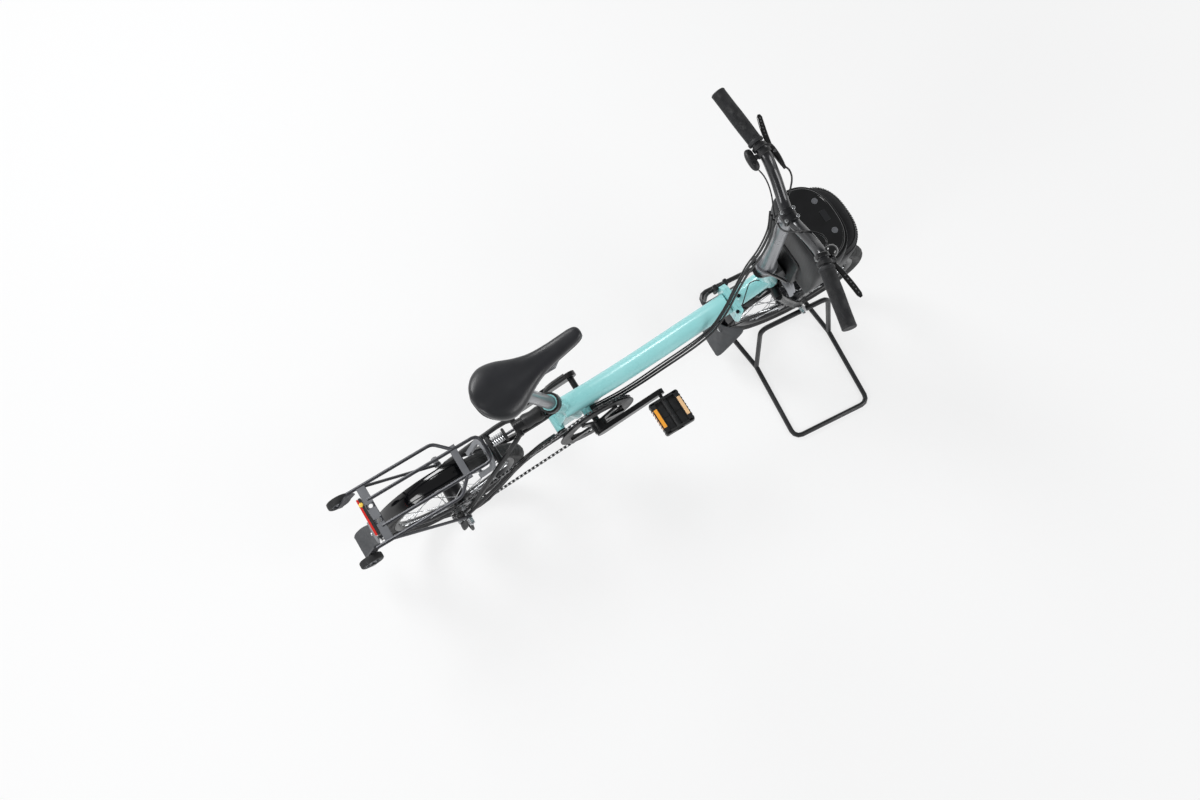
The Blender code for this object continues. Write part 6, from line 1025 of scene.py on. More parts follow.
parts = [button_parts(0.5205, y, 0.0072) for y in (0.042, -0.04)]
new_piece("panel_buttons", parts, on_frame, plate_coat, "front_frame")
display = rounded_box(0.5135, 0.5285, -0.013, 0.015, 0.0022, 5)
parts = slab_parts(display, 0.0016, (0, 0, 0.724), X_WAY, Y_WAY, 0.0004)
new_piece("panel_display", parts, on_frame, bar_coat, "front_frame")
print("bag closed")

# %% [markdown]
# The handlebar is one bent tube, so it is drawn as a circle carried along one smooth line. The grips
# are rubber sleeves with fine ribs, closed at the outer end and held by a collar at the inner one.

# %% Handlebar and grips
BAR_RADIUS = 0.0127
BAR_SIDE = np.array([
    (0.369, 0.148, 1.0041), (0.3728, 0.1257, 1.0038), (0.3743, 0.1165, 1.0022), (0.3764, 0.1041, 0.994),
    (0.378, 0.0924, 0.984), (0.379, 0.0807, 0.9759), (0.3793, 0.0672, 0.9675), (0.3786, 0.0478, 0.9559),
    (0.3772, 0.028, 0.9462), (0.375, 0.0115, 0.9443), (0.373, 0.0, 0.9451),
])
GRIP_START, BAR_END = np.array([0.369, 0.148, 1.0041]), np.array([0.347, 0.28, 1.0121])
GRIP_RADIUS, RIB_PITCH = 0.0154, 0.0024
MIRROR = np.array([1.0, -1.0, 1.0])
half_bar = np.concatenate([[BAR_END - (BAR_END - GRIP_START) * 0.03, (BAR_END + GRIP_START) / 2],
    BAR_SIDE])
bar_path = smooth_line(np.concatenate([half_bar, (half_bar[:-1] * MIRROR)[::-1]]), 200)
parts = tube_parts(bar_path, BAR_RADIUS, 28)
bar = new_piece("handlebar_tube", parts, on_fork, bar_coat, "stem", 60.0)
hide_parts("handlebar")


def grip_parts(side):
    """Ribs of 2.4 mm along the bar: r = R + 0.45 mm times a rounded wave, a collar and a domed end."""
    start, end = GRIP_START * (MIRROR if side < 0 else 1), BAR_END * (MIRROR if side < 0 else 1)
    length = np.linalg.norm(end - start)
    h = np.linspace(0.0085, length - 0.004, 150)
    rib = 0.00045 * np.clip(np.sin(h / RIB_PITCH * 2 * np.pi) * 1.4, -1, 1)
    r = GRIP_RADIUS + rib + 0.0006 * np.exp(-((h - length * 0.42) / 0.03) ** 2)
    collar = [(0.01325, 0.0004), (0.0168, 0.0002), (0.0173, 0.001), (0.0173, 0.006), (0.0168, 0.007),
        (0.0156, 0.0074)]
    tip = [(0.016, length - 0.0034), (0.0159, length - 0.0014), (0.0148, length), (0.003, length),
        (0.0004, length - 0.0004), (0.0004, length - 0.003), (0.01325, length - 0.0035)]
    profile = np.concatenate([collar, np.stack([r, h], -1), tip])
    return turned_parts(profile, start, end - start, 36, closed=True)


for word, side in (("left", 1), ("right", -1)):
    parts = grip_parts(side)
    grip = new_piece(word + "_grip_sleeve", parts, on_fork, grip_rubber, "stem", 40.0)
    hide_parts("grip_" + word)
print("bars dressed")

# %% [markdown]
# The CAD solids are lists of loose triangles, so a round tube shows its flats. A copy whose doubles are
# merged can be shaded smooth wherever two faces meet at less than 35 degrees, and hard edges stay hard.
# This keeps every measured form and is the quickest way to make tubes and bent rods look drawn.

# %% Smooth copies of the solid tubes and rods
def smooth_copy(node, material):
    """The node's triangles with doubles merged, smoothed under an angle, standing for the node."""
    mesh = nodes[node].data
    count = len(mesh.vertices)
    points = np.empty(count * 3)
    mesh.vertices.foreach_get("co", points)
    corners = np.empty(len(mesh.loops), int)
    mesh.loops.foreach_get("vertex_index", corners)
    body = body_of(nodes[node])[0]
    parts = (points.reshape(-1, 3), corners.reshape(-1, 3))
    piece = new_piece(node + "_skin", parts, None, material, body, 38.0)
    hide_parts(node)


SKINS = {
    "main_frame": (turquoise_coat, "turquoise_paint"), "front_frame": (turquoise_coat, "turquoise_paint"),
    "fork": (black_coat, "black_paint"), "display_stand": (stand_coat, "black_paint"),
    "rear_triangle": (black_coat, "black_paint"), "rear_rack": (rack_coat, "black_paint"),
    "front_mudguard": (guard_gloss, "gloss_plastic"), "rear_mudguard": (guard_gloss, "gloss_plastic"),
    "seatpost": (graphite_coat, "graphite_paint"), "cranks": (crank_coat, "black_alloy"),
    "seat_clamp": (black_plastic, "black_plastic"), "suspension_block": (black_plastic, "black_plastic"),
    "chain_tensioner": (black_plastic, "black_plastic"), "front_brake": (caliper_metal, "bright_alloy"),
    "rear_brake": (caliper_metal, "bright_alloy"), "carrier_block": (black_plastic, "black_plastic"),
    "chainring": (black_plastic, "black_plastic"),
}
for node, (material, slot) in SKINS.items():
    smooth_copy(node, material)
print(len(SKINS), "smooth copies")

# %% [markdown]
# The stem stands between the fold and the bars: a wide tube with a dark stripe down its side, a round
# hinge plate at its foot, and at its top a split clamp with four small bolts.

# %% Stem and bar clamp
STEM_FOOT, BAR_CENTRE = np.array([0.38, 0.0, 0.6051]), np.array([0.373, 0.0, 0.9451])
along = (BAR_CENTRE - STEM_FOOT) / np.linalg.norm(BAR_CENTRE - STEM_FOOT)
share = np.linspace(0, 1, 40)
path = STEM_FOOT + (0.01 + share[:, None] * 0.318) * along
swell = 0.0016 * np.exp(-((share - 0.02) / 0.03) ** 2)
stem_radius = 0.0185 - 0.0022 * np.clip(share * 1.15, 0, 1) + swell
foot_plate = [(0.001, 0.0002), (0.0245, 0.0002), (0.026, 0.0014), (0.026, 0.0094), (0.0245, 0.011),
    (0.001, 0.011)]
parts = [tube_parts(path, stem_radius, 36), turned_parts(foot_plate, STEM_FOOT, Z_WAY, 48)]
stem = new_piece("stem_tube", parts, on_fork, graphite_coat, "stem")
CLAMP_AT = BAR_CENTRE + np.array([0, -0.0045, 0])
split = mirrored([(0.01285, -0.015), (0.0162, -0.015), (0.0172, -0.0138), (0.0172, -0.0012),
    (0.0164, -0.0006)])
new_piece("bar_clamp", turned_parts(split, CLAMP_AT, Y_WAY, 44, closed=True), on_fork, black_metal,
    "stem")
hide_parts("stem")
cap_screw = [(0.0002, 0), (0.0042, 0), (0.0042, 0.004), (0.0034, 0.005), (0.0021, 0.005), (0.002, 0.0028),
    (0.0002, 0.0028)]
bolts = []
for y in (-0.01, 0.01):
    for x in (-0.0125, 0.0125):
        bolts.append(turned_parts(cap_screw, CLAMP_AT + np.array([x, y, 0.0095]), (x * 12, 0, 1), 16))
new_piece("bar_clamp_bolts", bolts, on_fork, spoke_steel, "stem")
stripe_side = np.array([-0.8, 0.6, 0.0])
stripe = path[2:-3] + stripe_side * (stem_radius[2:-3, None] + 0.0002)
new_piece("stem_stripe", tube_parts(stripe, 0.0013, 8), on_fork, black_plastic, "stem")
print("stem raised")

# %% [markdown]
# Each brake lever clamps round the bar. Its body reaches ahead and holds a flat blade on a pivot, and a
# thin cable leaves it through a knurled adjuster. Under the rider's left thumb is a small switch pod,
# and at the right a round bell.

# %% Levers, pod and bell
def blade_parts(path, widths, thickness, flat_side, sides=16):
    """Rings on a path: an ellipse, wide along one given direction and thin across it."""
    tangent = np.gradient(path, axis=0)
    tangent /= np.linalg.norm(tangent, axis=1)[:, None]
    v = np.cross(tangent, flat_side)
    v /= np.linalg.norm(v, axis=1)[:, None]
    u = np.cross(v, tangent)
    a = np.linspace(0, 2 * np.pi, sides, endpoint=False)[None, :, None]
    c, s = np.cos(a), np.sin(a)
    c, s = np.sign(c) * np.abs(c) ** 0.7, np.sign(s) * np.abs(s) ** 0.7
    widths = np.broadcast_to(widths, (len(path),))[:, None, None] / 2
    thickness = np.broadcast_to(thickness, (len(path),))[:, None, None] / 2
    return grid_parts(path[:, None] + u[:, None] * c * widths + v[:, None] * s * thickness)


def clamp_band(y, radius=0.0165, half=0.0045):
    """A band round the bar where it passes a given y: a profile turned round the bar's own direction."""
    at = int(np.argmin(np.abs(bar_path[:, 1] - y)))
    profile = mirrored([(0.0129, -half), (radius - 0.001, -half), (radius, 0.001 - half)])
    return turned_parts(profile, bar_path[at], bar_path[at + 1] - bar_path[at - 1], 32, closed=True)


LEVER_POINTS = {
    "left": ([(0.3725, 0.1395, 0.999), (0.39, 0.1385, 0.99), (0.3965, 0.133, 0.9865), (0.4, 0.112, 0.987),
    (0.4012, 0.089, 0.988)],
             [(0.396, 0.133, 0.989), (0.3958, 0.148, 0.993), (0.398, 0.168, 0.995),
             (0.402, 0.188, 0.9945), (0.4066, 0.206, 0.993)]),
    "right": ([(0.3725, -0.1395, 0.999), (0.386, -0.1385, 0.996), (0.3915, -0.142, 0.993),
    (0.3935, -0.128, 0.99), (0.396, -0.11, 0.987)],
              [(0.39, -0.148, 0.996), (0.3932, -0.164, 0.999), (0.3962, -0.184, 1.001),
              (0.4, -0.205, 1.001), (0.4045, -0.2316, 0.999)]),
}
for word, (body_line, blade_line) in LEVER_POINTS.items():
    side = 1 if word == "left" else -1
    body_path, blade_path = smooth_line(body_line, 40), smooth_line(blade_line, 50)
    widths = eased(40, (0, 0.3, 0.7, 0.9, 1), (0.012, 0.016, 0.013, 0.01, 0.008))
    parts = [blade_parts(body_path, widths, 0.012, (1, 0, 0)), clamp_band(0.1395 * side)]
    adjuster = body_path[-1] + (body_path[-1] - body_path[-4]) * 1.6
    parts.append(rod_parts(body_path[-1], adjuster, 0.0042, 16, 0.0036))
    holder = new_piece(word + "_lever_body", parts, on_fork, black_plastic, "stem", 40.0)
    widths = eased(50, (0, 0.2, 0.6, 0.92, 1), (0.01, 0.012, 0.013, 0.012, 0.006))
    parts = blade_parts(blade_path, widths, eased(50, (0, 0.9, 1), (0.0065, 0.0055, 0.003)), (1, 0, 0))
    blade = new_piece(word + "_lever_blade", parts, on_fork, gloss_plastic, "stem", 40.0)
    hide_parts("brake_lever_" + word)
    dimples = [turned_parts([(0.0002, 0), (0.002, 0), (0.0017, 0.0008), (0.0002, 0.0009)], p
        + Z_WAY * 0.0026, Z_WAY, 12) for p in blade_path[18:44:5]]
    pivot = turned_parts([(0.0002, 0), (0.004, 0), (0.0034, 0.0022), (0.0002, 0.0024)], body_path[22]
        + Z_WAY * 0.0058, Z_WAY, 14)
    new_piece(word + "_lever_studs", dimples + [pivot], on_fork, link_steel, "stem")

pod_path = smooth_line([(0.349, 0.099, 0.993), (0.347, 0.104, 0.995), (0.345, 0.115, 0.9975),
    (0.344, 0.126, 0.9985), (0.345, 0.139, 0.9975), (0.3465, 0.147, 0.9955)], 40)
bulge = np.sqrt(np.clip(1 - (np.linspace(-1, 1, 40)) ** 4, 0.02, 1))
parts = [blade_parts(pod_path, 0.019 * bulge, 0.017 * bulge, (1, 0, 0)), clamp_band(0.124)]
parts.append(rod_parts((0.36, 0.123, 1.0), (0.349, 0.124, 0.999), 0.0055, 14))
pod = new_piece("left_switch_pod", parts, on_fork, black_plastic, "stem", 40.0)
keys = [turned_parts([(0.0002, 0), (0.0038, 0), (0.0034, 0.0016), (0.0002, 0.0019)], (0.3445, y, 1.0058),
    (0, 0, 1), 18) for y in (0.112, 0.1235, 0.135)]
new_piece("left_switch_keys", keys, on_fork, gloss_plastic, "stem")

bell_dome = [(0.0002, 0.0105), (0.006, 0.0098), (0.0105, 0.0072), (0.0132, 0.003), (0.014, -0.003),
    (0.014, -0.0072), (0.0118, -0.0086), (0.0002, -0.0086)]
parts = [turned_parts(bell_dome, (0.3975, -0.12, 0.9985), (0.1, -0.05, 1), 36), clamp_band(-0.124)]
parts.append(rod_parts((0.385, -0.1225, 1.001), (0.39, -0.1215, 0.9985), 0.005, 14))
bell = new_piece("right_bell", parts, on_fork, gloss_plastic, "stem", 40.0)
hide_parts("shifter")
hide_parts("bell")

# The brake cables loop ahead of the bars and come back to the stem.
STEM_CORDS = {
    "left_brake_loop": (0.004, [(0.4018, 0.085, 0.9882), (0.4085, 0.074, 0.984), (0.4085, 0.06, 0.976),
    (0.401, 0.046, 0.964), (0.39, 0.034, 0.948),
                                 (0.379, 0.026, 0.93), (0.369, 0.02, 0.918), (0.36, 0.017, 0.908)]),
    "right_brake_loop": (0.004, [(0.3972, -0.106, 0.9858), (0.404, -0.093, 0.983), (0.403, -0.079, 0.98),
    (0.392, -0.066, 0.979), (0.379, -0.056, 0.976),
                                  (0.362, -0.044, 0.964), (0.353, -0.03, 0.943), (0.352, -0.015, 0.923),
                                  (0.356, 0.002, 0.909)]),
    "left_switch_lead": (0.0032, [(0.35, 0.0985, 0.9915), (0.356, 0.085, 0.983), (0.36, 0.068, 0.968),
    (0.361, 0.05, 0.948), (0.359, 0.032, 0.926), (0.357, 0.015, 0.908)]),
}
for cord_name, (diameter, spots) in STEM_CORDS.items():
    path = smooth_line(on_fork(np.array(spots)), 70)
    lay_cord(cord_name, path, diameter, "stem")
print("cockpit dressed")

# %% [markdown]
# Mudguard flaps are thick soft rubber, pressed with a rim round the edge. Each is a row of cross
# sections along a bent middle line: width and bow change from row to row, and the wings curl forwards.

# %% Flaps
def flap_parts(rows, middle_y, thickness=0.003, columns=21, count=40):
    """Rows (x, z, half, wing): points m + half c along y and wing c^2 ahead, with a rim at |c| near 1."""
    table = smooth_line(rows, count)
    c = np.linspace(-1, 1, columns)
    x, z, half, wing = (table[:, k, None] for k in range(4))
    tangent = np.gradient(table[:, :2], axis=0)
    tangent /= np.linalg.norm(tangent, axis=1)[:, None]
    out_x, out_z = tangent[:, 1, None], -tangent[:, 0, None]
    rim = 1 + 0.5 * (np.abs(c) > 0.9)[None] + 0.35 * (np.abs(c) < 0.08)[None]
    face = np.stack([x + wing * c**2 + out_x * thickness * rim / 2, middle_y + half * c, z
        + out_z * thickness * rim / 2], -1)
    rear = np.stack([x + wing * c**2 - out_x * thickness / 2, middle_y + half * c, z
        - out_z * thickness / 2 + 0 * c], -1)
    return grid_parts(np.concatenate([face, rear[:, ::-1]], 1))


FRONT_FLAP = [
    (0.2945, 0.258, 0.042, 0.048), (0.2938, 0.244, 0.049, 0.048), (0.2925, 0.22, 0.052, 0.04),
    (0.2905, 0.19, 0.054, 0.028), (0.288, 0.16, 0.0555, 0.018), (0.285, 0.13, 0.056, 0.01),
    (0.2825, 0.108, 0.055, 0.006), (0.2812, 0.096, 0.052, 0.004), (0.2806, 0.091, 0.045, 0.003),
]
parts = flap_parts(FRONT_FLAP, -0.004)
front_flap = new_piece("front_flap_rubber", parts, on_fork, flap_rubber, "fork", 40.0)
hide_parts("front_flap")
REAR_FLAP = [
    (-0.749, 0.236, 0.025, 0.001), (-0.753, 0.224, 0.029, 0.001), (-0.761, 0.206, 0.034, 0.0015),
    (-0.774, 0.182, 0.039, 0.002), (-0.788, 0.16, 0.0415, 0.002), (-0.799, 0.143, 0.041, 0.001),
    (-0.805, 0.133, 0.037, 0.0005),
]
parts = flap_parts(REAR_FLAP, 0.006)
rear_flap = new_piece("rear_flap_rubber", parts, on_frame, flap_rubber, "rear_frame", 40.0)
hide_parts("rear_flap")
REAR_GUARD_END = [
    (-0.7395, 0.276, 0.024, 0.0006), (-0.7445, 0.262, 0.03, 0.001), (-0.748, 0.245, 0.031, 0.0015),
    (-0.7505, 0.228, 0.03, 0.0015), (-0.753, 0.218, 0.026, 0.001),
]
parts = flap_parts(REAR_GUARD_END, 0.003, 0.0036)
new_piece("rear_guard_end", parts, on_frame, plate_coat, "rear_frame", 40.0)
bolt = [(0.0002, 0), (0.0045, 0), (0.004, 0.0022), (0.0024, 0.0028), (0.0002, 0.0018)]
parts = [turned_parts(bolt, (-0.7515, 0.0055, 0.24), (-0.95, 0, 0.3), 18)]
new_piece("rear_flap_bolt", parts, on_frame, spoke_steel, "rear_frame")
wire = smooth_line([(0.299, 0.0235, 0.218), (0.2905, 0.0225, 0.233), (0.287, 0.015, 0.242),
    (0.2865, 0.0, 0.244), (0.287, -0.015, 0.242), (0.2905, -0.0225, 0.233), (0.299, -0.0235, 0.218)], 60)
new_piece("front_flap_wire", tube_parts(wire, 0.0016, 10), on_fork, spoke_steel, "fork")
print("flaps hung")

# %% [markdown]
# Pedals are moulded cages with a saw edge for grip and amber reflectors in both long sides. They are
# drawn from slabs with drawn-in rims, and a barrel runs round the spindle.

# %% Pedals with reflectors
def saw_outline(half_x, half_y, teeth=9, depth=0.0016):
    """A long bar's outline whose outer side is a row of small teeth."""
    y = np.linspace(-half_y, half_y, teeth * 2 + 1)
    x = half_x + depth * (np.arange(teeth * 2 + 1) % 2)
    return np.concatenate([np.stack([x, y], -1), [(-half_x, half_y), (-half_x, -half_y)]])


def pedal_piece(word, centre, side, body):
    """Two toothed bars, two end plates, a barrel and an outer cap, and the reflectors in the bars."""
    outer = 0.09 * side * Y_WAY
    middle = centre + outer / 2
    parts = [rod_parts(centre, centre + outer, 0.0095, 20)]
    parts.append(rod_parts(centre + outer * 0.96, centre + outer, 0.012, 20))
    for ahead in (1, -1):
        bar_middle = middle + X_WAY * ahead * 0.0335
        parts.append(slab_parts(saw_outline(0.0068, 0.0435), 0.023, bar_middle, X_WAY * ahead,
            Y_WAY * ahead, 0.0012))
    end = rounded_box(-0.04, 0.04, -0.0115, 0.0115, 0.004)
    for y in (0.0035, 0.0865):
        parts.append(slab_parts(end, 0.007, centre + y * side * Y_WAY, X_WAY, Z_WAY, 0.001))
    strut = np.array([(1, 1), (-1, 1), (-1, -1), (1, -1)]) * (0.015, 0.002)
    for x in (-0.018, 0.018):
        parts.append(slab_parts(strut, 0.008, middle + X_WAY * x, X_WAY, Y_WAY, 0.0006))
    for x in (-0.0175, 0.0175):
        outline = rounded_box(-0.009, 0.009, -0.04, 0.04, 0.002, 3)
        parts.append(slab_parts(outline, 0.005, middle + X_WAY * x, X_WAY, Y_WAY, 0.0008))
    cage = new_piece(word + "_pedal_cage", parts, None, black_plastic, body, 40.0)
    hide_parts("pedal_" + word)
    strip = rounded_box(-0.0046, 0.0046, -0.026, 0.026, 0.001, 3)
    for name, ahead, lens in (("rear", -1, amber_lens), ("front", 1, pale_amber)):
        flat, upright = middle + X_WAY * ahead * 0.0338, middle + X_WAY * ahead * 0.0405
        spots = [slab_parts(strip, 0.002, flat + z * Z_WAY, X_WAY, Y_WAY, 0.0004)
            for z in (0.012, -0.012)]
        spots.append(slab_parts(strip * np.array([1.4, 1.0]), 0.002, upright, Z_WAY, Y_WAY, 0.0004))
        new_piece(word + "_pedal_reflector_" + name, spots, None, lens, body, 30.0)


for word, side, body in (("right", -1, "right_pedal"), ("left", 1, "left_pedal")):
    low, high = (np.array(corner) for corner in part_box("pedal_" + word))
    centre = np.array([(low[0] + high[0]) / 2, high[1] if side < 0 else low[1], (low[2] + high[2]) / 2])
    pedal_piece(word, centre, side, body)
print("pedals made")

# %% [markdown]
# The rear end rolls on two rubber wheels when the bicycle is folded. Each is turned from a profile: a
# tyre with rounded shoulders, a grey rim and a hub with a screw.

# %% Rollers
ROLLER_TYRE = mirrored([(0.019, -0.0068), (0.0215, -0.0082), (0.027, -0.0085), (0.0293, -0.007),
    (0.03, -0.004)])
ROLLER_RIM = mirrored([(0.0042, -0.008), (0.0085, -0.008), (0.0095, -0.006), (0.01, -0.003),
    (0.0175, -0.0035), (0.018, -0.0074), (0.0194, -0.0074)])
for word, side in (("left", 1), ("right", -1)):
    centre = np.array([-0.767, 0.082 * side, 0.402])
    parts = turned_parts(ROLLER_TYRE, centre, (0, 1, 0), 56, closed=True)
    rubber = new_piece(word + "_roller_tyre", parts, on_frame, tyre_rubber, word + "_roller",
        40.0)
    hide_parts("roller_" + word)
    parts = turned_parts(ROLLER_RIM, centre, (0, 1, 0), 48, closed=True)
    new_piece(word + "_roller_rim", parts, on_frame, plate_coat, word + "_roller", 40.0)
print("rollers turned")

# %% [markdown]
# The rack is welded rod with two pressed plates. The plates take a strap or a box, so their holes are
# rolled at the rim. The lamp is a thin bar behind the last plate: a red window on a black back, with a
# small yellow cap.

# %% Rack plates and rear lamp
SHEET = 0.0012
rim_ring = [(0.0056, 0.0), (0.0078, 0.0), (0.0074, 0.0016), (0.0062, 0.0016)]
strips = []
for low_y, high_y in ((-0.0725, -0.0262), (-0.0138, 0.0138), (0.0262, 0.0725)):
    outline = rounded_box(-0.0104, 0.0104, low_y, high_y, 0.002, 3)
    strips.append(slab_parts(outline, SHEET, (-0.7, 0, 0.4646), X_WAY, Y_WAY, 0.0003))
strips += [turned_parts(rim_ring, (-0.7, side * 0.02, 0.464), (0, 0, 1), 28, closed=True)
    for side in (1, -1)]
outline = rounded_box(-0.0084, 0.0084, -0.045, 0.045, 0.003)
strips.append(slab_parts(outline, SHEET, (-0.468, 0, 0.4646), X_WAY, Y_WAY, 0.0004))
new_piece("rack_plate_skins", strips, on_frame, plate_coat, "rear_frame", 30.0)

lamp_outline = rounded_box(-0.0026, 0.0026, -0.049, 0.049, 0.0018)
parts = slab_parts(lamp_outline, 0.015, (-0.7215, 0, 0.458), X_WAY, Y_WAY, 0.0008)
lamp = new_piece("rear_lamp_window", parts, on_frame, red_lens, "rear_frame", 30.0)
parts = slab_parts(lamp_outline * np.array([1.25, 1.02]), 0.0145, (-0.7155, 0, 0.4575), X_WAY, Y_WAY,
    0.0008)
new_piece("rear_lamp_back", parts, on_frame, black_plastic, "rear_frame", 30.0)
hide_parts("rear_light")
parts = turned_parts([(0.0002, 0), (0.0056, 0), (0.0056, 0.0016), (0.0044, 0.003), (0.0002, 0.0034)],
    (-0.7185, 0.033, 0.4648), (0, 0, 1), 24)
new_piece("rear_lamp_cap", parts, on_frame, yellow_lens, "rear_frame", 30.0)
print("rack dressed")

# %% [markdown]
# Between the rack and the rubber bumper sits a small coil spring on the brace. A spring is a helix
# given a round section: the centre line is x = pitch times turns, y and z a circle.

# %% Spring, washers and pivot trim
def coil_line(start, end, radius, turns, per_turn=18):
    """A helix about the line between two points."""
    u, v, k = square_frame(np.subtract(end, start))
    t = np.linspace(0, turns, turns * per_turn + 1)
    a = 2 * np.pi * t
    run = np.linalg.norm(np.subtract(end, start)) * (t / turns)
    return np.asarray(start) + run[:, None] * k + radius * (np.cos(a)[:, None] * u
        + np.sin(a)[:, None] * v)


parts = tube_parts(coil_line((-0.382, 0, 0.467), (-0.348, 0, 0.4695), 0.0102, 6), 0.0019, 8)
new_piece("brace_spring", parts, on_frame, spoke_steel, "rear_frame")
disc = mirrored([(0.004, -0.0035), (0.015, -0.0035), (0.0175, -0.002)])
parts = [turned_parts(disc, (-0.344, 0, 0.4698), (1, 0, 0), 36, closed=True),
    turned_parts(disc, (-0.386, 0, 0.4668), (1, 0, 0), 36, closed=True)]
new_piece("brace_washers", parts, on_frame, sleeve_rubber, "rear_frame")

# The tension arm of the chain: two long cage plates, drawn round the jockey wheels, and their links.
def cage_outline(length, first, last, steps=9):
    """A plate round two circles: half a circle of each radius joined by straight sides."""
    a, b = np.linspace(np.pi / 2, 3 * np.pi / 2, steps), np.linspace(-np.pi / 2, np.pi / 2, steps)
    return np.concatenate([np.stack([first * np.cos(a), first * np.sin(a)], -1),
        np.stack([length + last * np.cos(b), last * np.sin(b)], -1)])


low, high = (np.array(corner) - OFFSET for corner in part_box("chain_tensioner"))
guide, jockey = np.array([high[0] - 0.011, 0, high[2]
    - 0.013]), np.array([low[0] + 0.011, 0, low[2] + 0.013])
run = jockey - guide
reach = np.linalg.norm(run)
run /= reach
lift = np.array([-run[2], 0, run[0]])
parts = []
for y in (-0.056, -0.04):
    parts.append(slab_parts(cage_outline(reach + 0.006, 0.0125, 0.015), 0.002, guide + y * Y_WAY, run,
        lift, 0.0005))
parts.append(rod_parts(jockey - 0.056 * Y_WAY, jockey - 0.085 * Y_WAY, 0.0105, 20))
arm = smooth_line([jockey - 0.08 * Y_WAY, (-0.548, -0.085, 0.144), (-0.536, -0.084, 0.17),
    (-0.527, -0.078, 0.188)], 30)
parts.append(blade_parts(arm, 0.018, 0.01, (0, 1, 0)))
new_piece("tension_cage", parts, on_frame, black_plastic, "rear_frame", 35.0)
spring = coil_line(jockey - 0.0585 * Y_WAY, jockey - 0.069 * Y_WAY, 0.0122, 4, 20)
parts = tube_parts(spring, 0.0011, 8)
new_piece("tension_spring", parts, on_frame, spoke_steel, "rear_frame")

# Two covered cables clipped under the right upper stay, from the pivot to the hub.
stay = smooth_line([(-0.233, -0.034, 0.33), (-0.29, -0.05, 0.39), (-0.34, -0.064, 0.405),
    (-0.42, -0.074, 0.35), (-0.49, -0.076, 0.27), (-0.516, -0.074, 0.226)], 90)
strands = [tube_parts(stay + np.array([0, -0.005 * k, 0.006 * k]), 0.0026, 10) for k in (0, 1)]
new_piece("stay_cables", strands, on_frame, cable_plastic, "rear_frame")
print("rear end dressed")

# %% [markdown]
# Fasteners tell the eye how large a thing is. Each is turned from a profile with a hollow for the key:
# the fold's pinch bolts and the clamp bolts at the seat lug. A wire, a latch and a plate go with them.

# %% Bolts of the fold and the seat lug
SOCKET_HEAD = [(0.0002, 0), (0.0046, 0), (0.0046, 0.0036), (0.004, 0.0044), (0.0025, 0.0044),
    (0.0024, 0.002), (0.0002, 0.002)]
spots = [((0.289, -0.04, 0.4958), (0, 0, 1)), ((0.2851, -0.012, 0.4765), (-0.3, 0, 1)),
    ((0.3169, -0.0048, 0.4838), (0, 0, 1))]
bolts = [turned_parts(SOCKET_HEAD, centre, axis, 18) for centre, axis in spots]
new_piece("fold_bolts", bolts, on_frame, bolt_steel, "main_frame")
parts = []
for x, z in ((-0.241, 0.499), (-0.233, 0.493)):
    parts.append(rod_parts((x, -0.015, z), (x, 0.015, z), 0.0034, 16))
    parts += [turned_parts(SOCKET_HEAD, (x, side * 0.0145, z), (0, side, 0), 18) for side in (1, -1)]
new_piece("seat_lug_bolts", parts, on_frame, bolt_steel, "main_frame")

# A wire loop keeps the fold's safety catch; it springs over the joint and back.
loop = smooth_line([(0.304, -0.031, 0.486), (0.308, -0.031, 0.498), (0.315, -0.025, 0.507),
    (0.33, -0.012, 0.513), (0.348, 0.002, 0.511), (0.362, -0.001, 0.52), (0.366, -0.009, 0.534)], 60)
parts = tube_parts(loop, 0.0014, 8)
new_piece("fold_catch_wire", parts, on_frame, cable_plastic, "front_frame")

# The latch of the stem fold is a bent lever on the stem's round plate.
latch = smooth_line([(0.369, -0.018, 0.6135), (0.378, -0.03, 0.615), (0.39, -0.043, 0.6125),
    (0.402, -0.059, 0.609)], 40)
parts = blade_parts(latch, eased(40, (0, 0.3, 1), (0.016, 0.012, 0.009)), 0.0055, (0, 0, 1))
new_piece("stem_latch", parts, on_fork, gloss_plastic, "stem", 40.0)

# The bag hangs on a moulded plate that clicks onto the carrier block.
outline = rounded_box(-0.046, 0.046, -0.066, 0.06, 0.012, 6)
parts = slab_parts(outline, 0.022, (0.4505, 0, 0.545), Y_WAY, Z_WAY, 0.003)
new_piece("bag_click_plate", parts, on_frame, black_plastic, "front_frame", 30.0)

# Front caliper: two pressed arms that curve over the tyre, with a barrel where the cable ends.
for number, (reach_y, top) in enumerate(((-0.054, 0.436), (-0.047, 0.429))):
    line = smooth_line([(0.448, 0.016, top + 0.002), (0.449, -0.01, top + 0.005),
        (0.452, -0.034, top - 0.004), (0.456, reach_y, top - 0.03)], 40)
    parts = blade_parts(line + np.array([0.01 * number, 0, 0]), np.linspace(0.02, 0.012, 40), 0.006,
        (1, 0, 0))
    new_piece(f"caliper_arm_{number + 1}", parts, on_fork, caliper_metal, "fork", 40.0)
print("small parts fitted")

# %% [markdown]
# A photo studio for bicycles is a white room. The floor is a plain white sheet that keeps a faint
# shadow, and the walls are so bright that dark paint mirrors them as broad soft highlights. For the
# camera's own rays most of the floor's white is emission of strength 1, the rest is lit paint, and only
# that rest can darken, which is how the pale shadow of an overexposed studio is made without more light.

# %% Floor
def white_sheet(name, size, height=0.0):
    """A flat grid of points round the origin."""
    line = np.linspace(-size, size, 9)
    x, y = np.meshgrid(line, line)
    mesh = bpy.data.meshes.new(name)
    mesh.from_pydata(np.stack([x, y, 0 * x + height], -1).reshape(-1, 3).tolist(), [],
        lattice(9, 9).tolist())
    sheet = bpy.data.objects.new(name, mesh)
    bpy.context.scene.collection.objects.link(sheet)
    return sheet


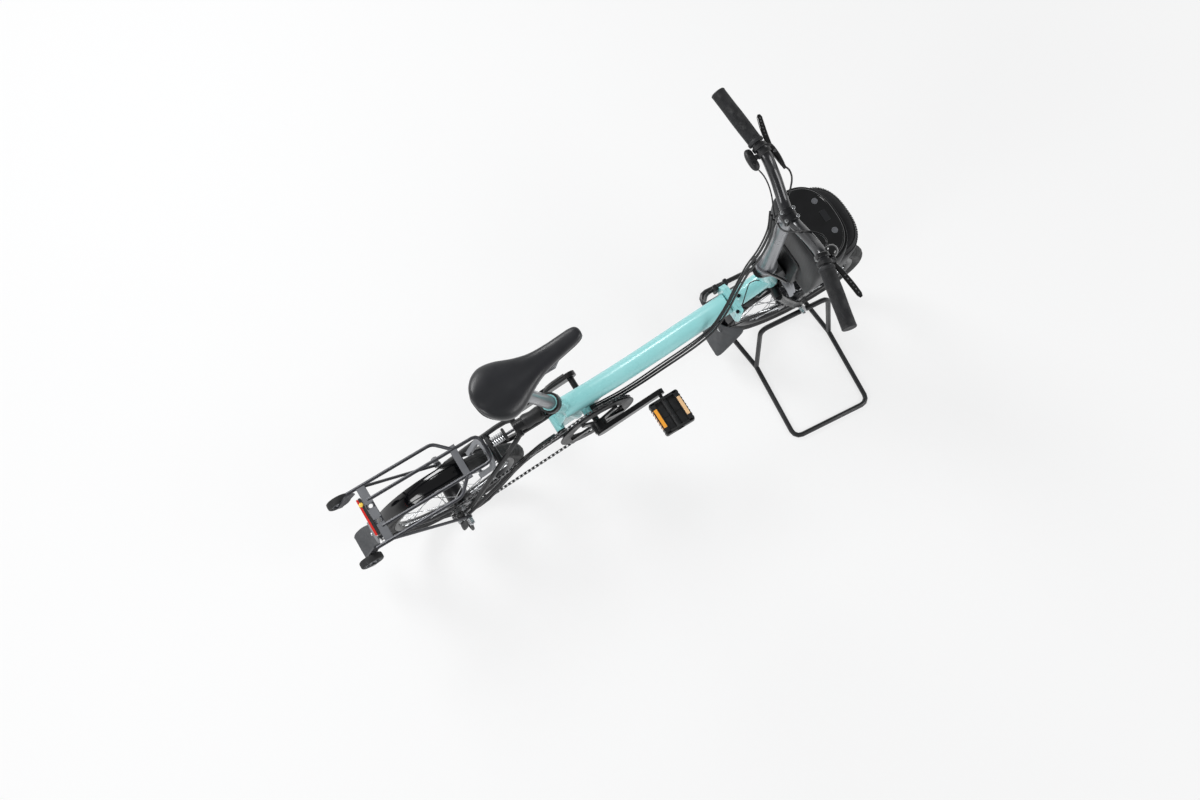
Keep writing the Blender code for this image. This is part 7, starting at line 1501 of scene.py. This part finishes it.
floor = white_sheet("studio_floor", 12.0, -0.0002)
floor_paint, tree, shader, where = new_finish("matt_white_studio_floor", "#F4F5F6", 0.9)
seen = add(tree, "LightPath")
glow = add(tree, "Emission", {"Color": (1, 1, 1, 1), "Strength": 1.0})
any_eye = add(tree, "Math", {0: seen.outputs["Is Camera Ray"], 1: seen.outputs["Is Glossy Ray"]},
    operation="MAXIMUM")
any_eye = add(tree, "Math", {0: any_eye.outputs[0], 1: seen.outputs["Is Transmission Ray"]},
    operation="MAXIMUM")
away = add(tree, "VectorMath", {0: where}, operation="LENGTH")
share = add(tree, "MapRange", {0: away.outputs["Value"], 1: 1.3, 2: 4.0, 3: 0.72, 4: 1.0},
    interpolation_type="SMOOTHSTEP")
amount = add(tree, "Math", {0: any_eye.outputs[0], 1: share.outputs[0]}, operation="MULTIPLY")
mixed = add(tree, "MixShader", {0: amount.outputs[0], 1: shader.outputs[0], 2: glow.outputs[0]})
tree.links.new(mixed.outputs[0], tree.nodes["Material Output"].inputs[0])
floor.data.materials.append(floor_paint)

# %% [markdown]
# The room is the world: white walls up to head height and a grey ceiling, which leaves dark paint dark
# where it looks straight up. Three large soft boxes hang above. The key is at the far left of the
# photograph, so the shadow falls towards its lower right, and the others keep the dark tubes from
# sinking into black.

# %% Room and lamps
room = bpy.data.worlds.new("white_room")
bpy.context.scene.world = room
room.use_nodes = True
tree = room.node_tree
height = add(tree, "SeparateXYZ", {0: add(tree, "TexCoord").outputs["Generated"]})
ceiling = add(tree, "MapRange", {0: height.outputs[2], 1: 0.08, 2: 0.45, 3: 1.0, 4: 0.22},
    interpolation_type="SMOOTHSTEP")
air = tree.nodes["Background"]
air.inputs["Color"].default_value = (1, 1, 1, 1)
tree.links.new(ceiling.outputs[0], air.inputs["Strength"])


def soft_box(name, place, aim, width, height, watts):
    """A rectangular area lamp that looks from its place to its aim."""
    lamp = bpy.data.lights.new(name, "AREA")
    lamp.shape, lamp.size, lamp.size_y, lamp.energy = "RECTANGLE", width, height, watts
    held = bpy.data.objects.new(name, lamp)
    bpy.context.scene.collection.objects.link(held)
    held.location = place
    held.rotation_euler = (Vector(place) - Vector(aim)).to_track_quat("Z", "Y").to_euler()
    held.visible_camera = False


soft_box("key_box", (-0.9, 2.3, 2.7), (0, 0.1, 0.4), 1.2, 1.2, 62)
soft_box("fill_box", (1.9, -1.9, 2.5), (0, 0, 0.4), 1.6, 1.0, 32)
soft_box("back_box", (-2.5, -0.6, 2.2), (-0.2, 0, 0.5), 1.3, 0.9, 28)
bpy.context.scene.view_settings.view_transform = "Standard"
print("studio lit")
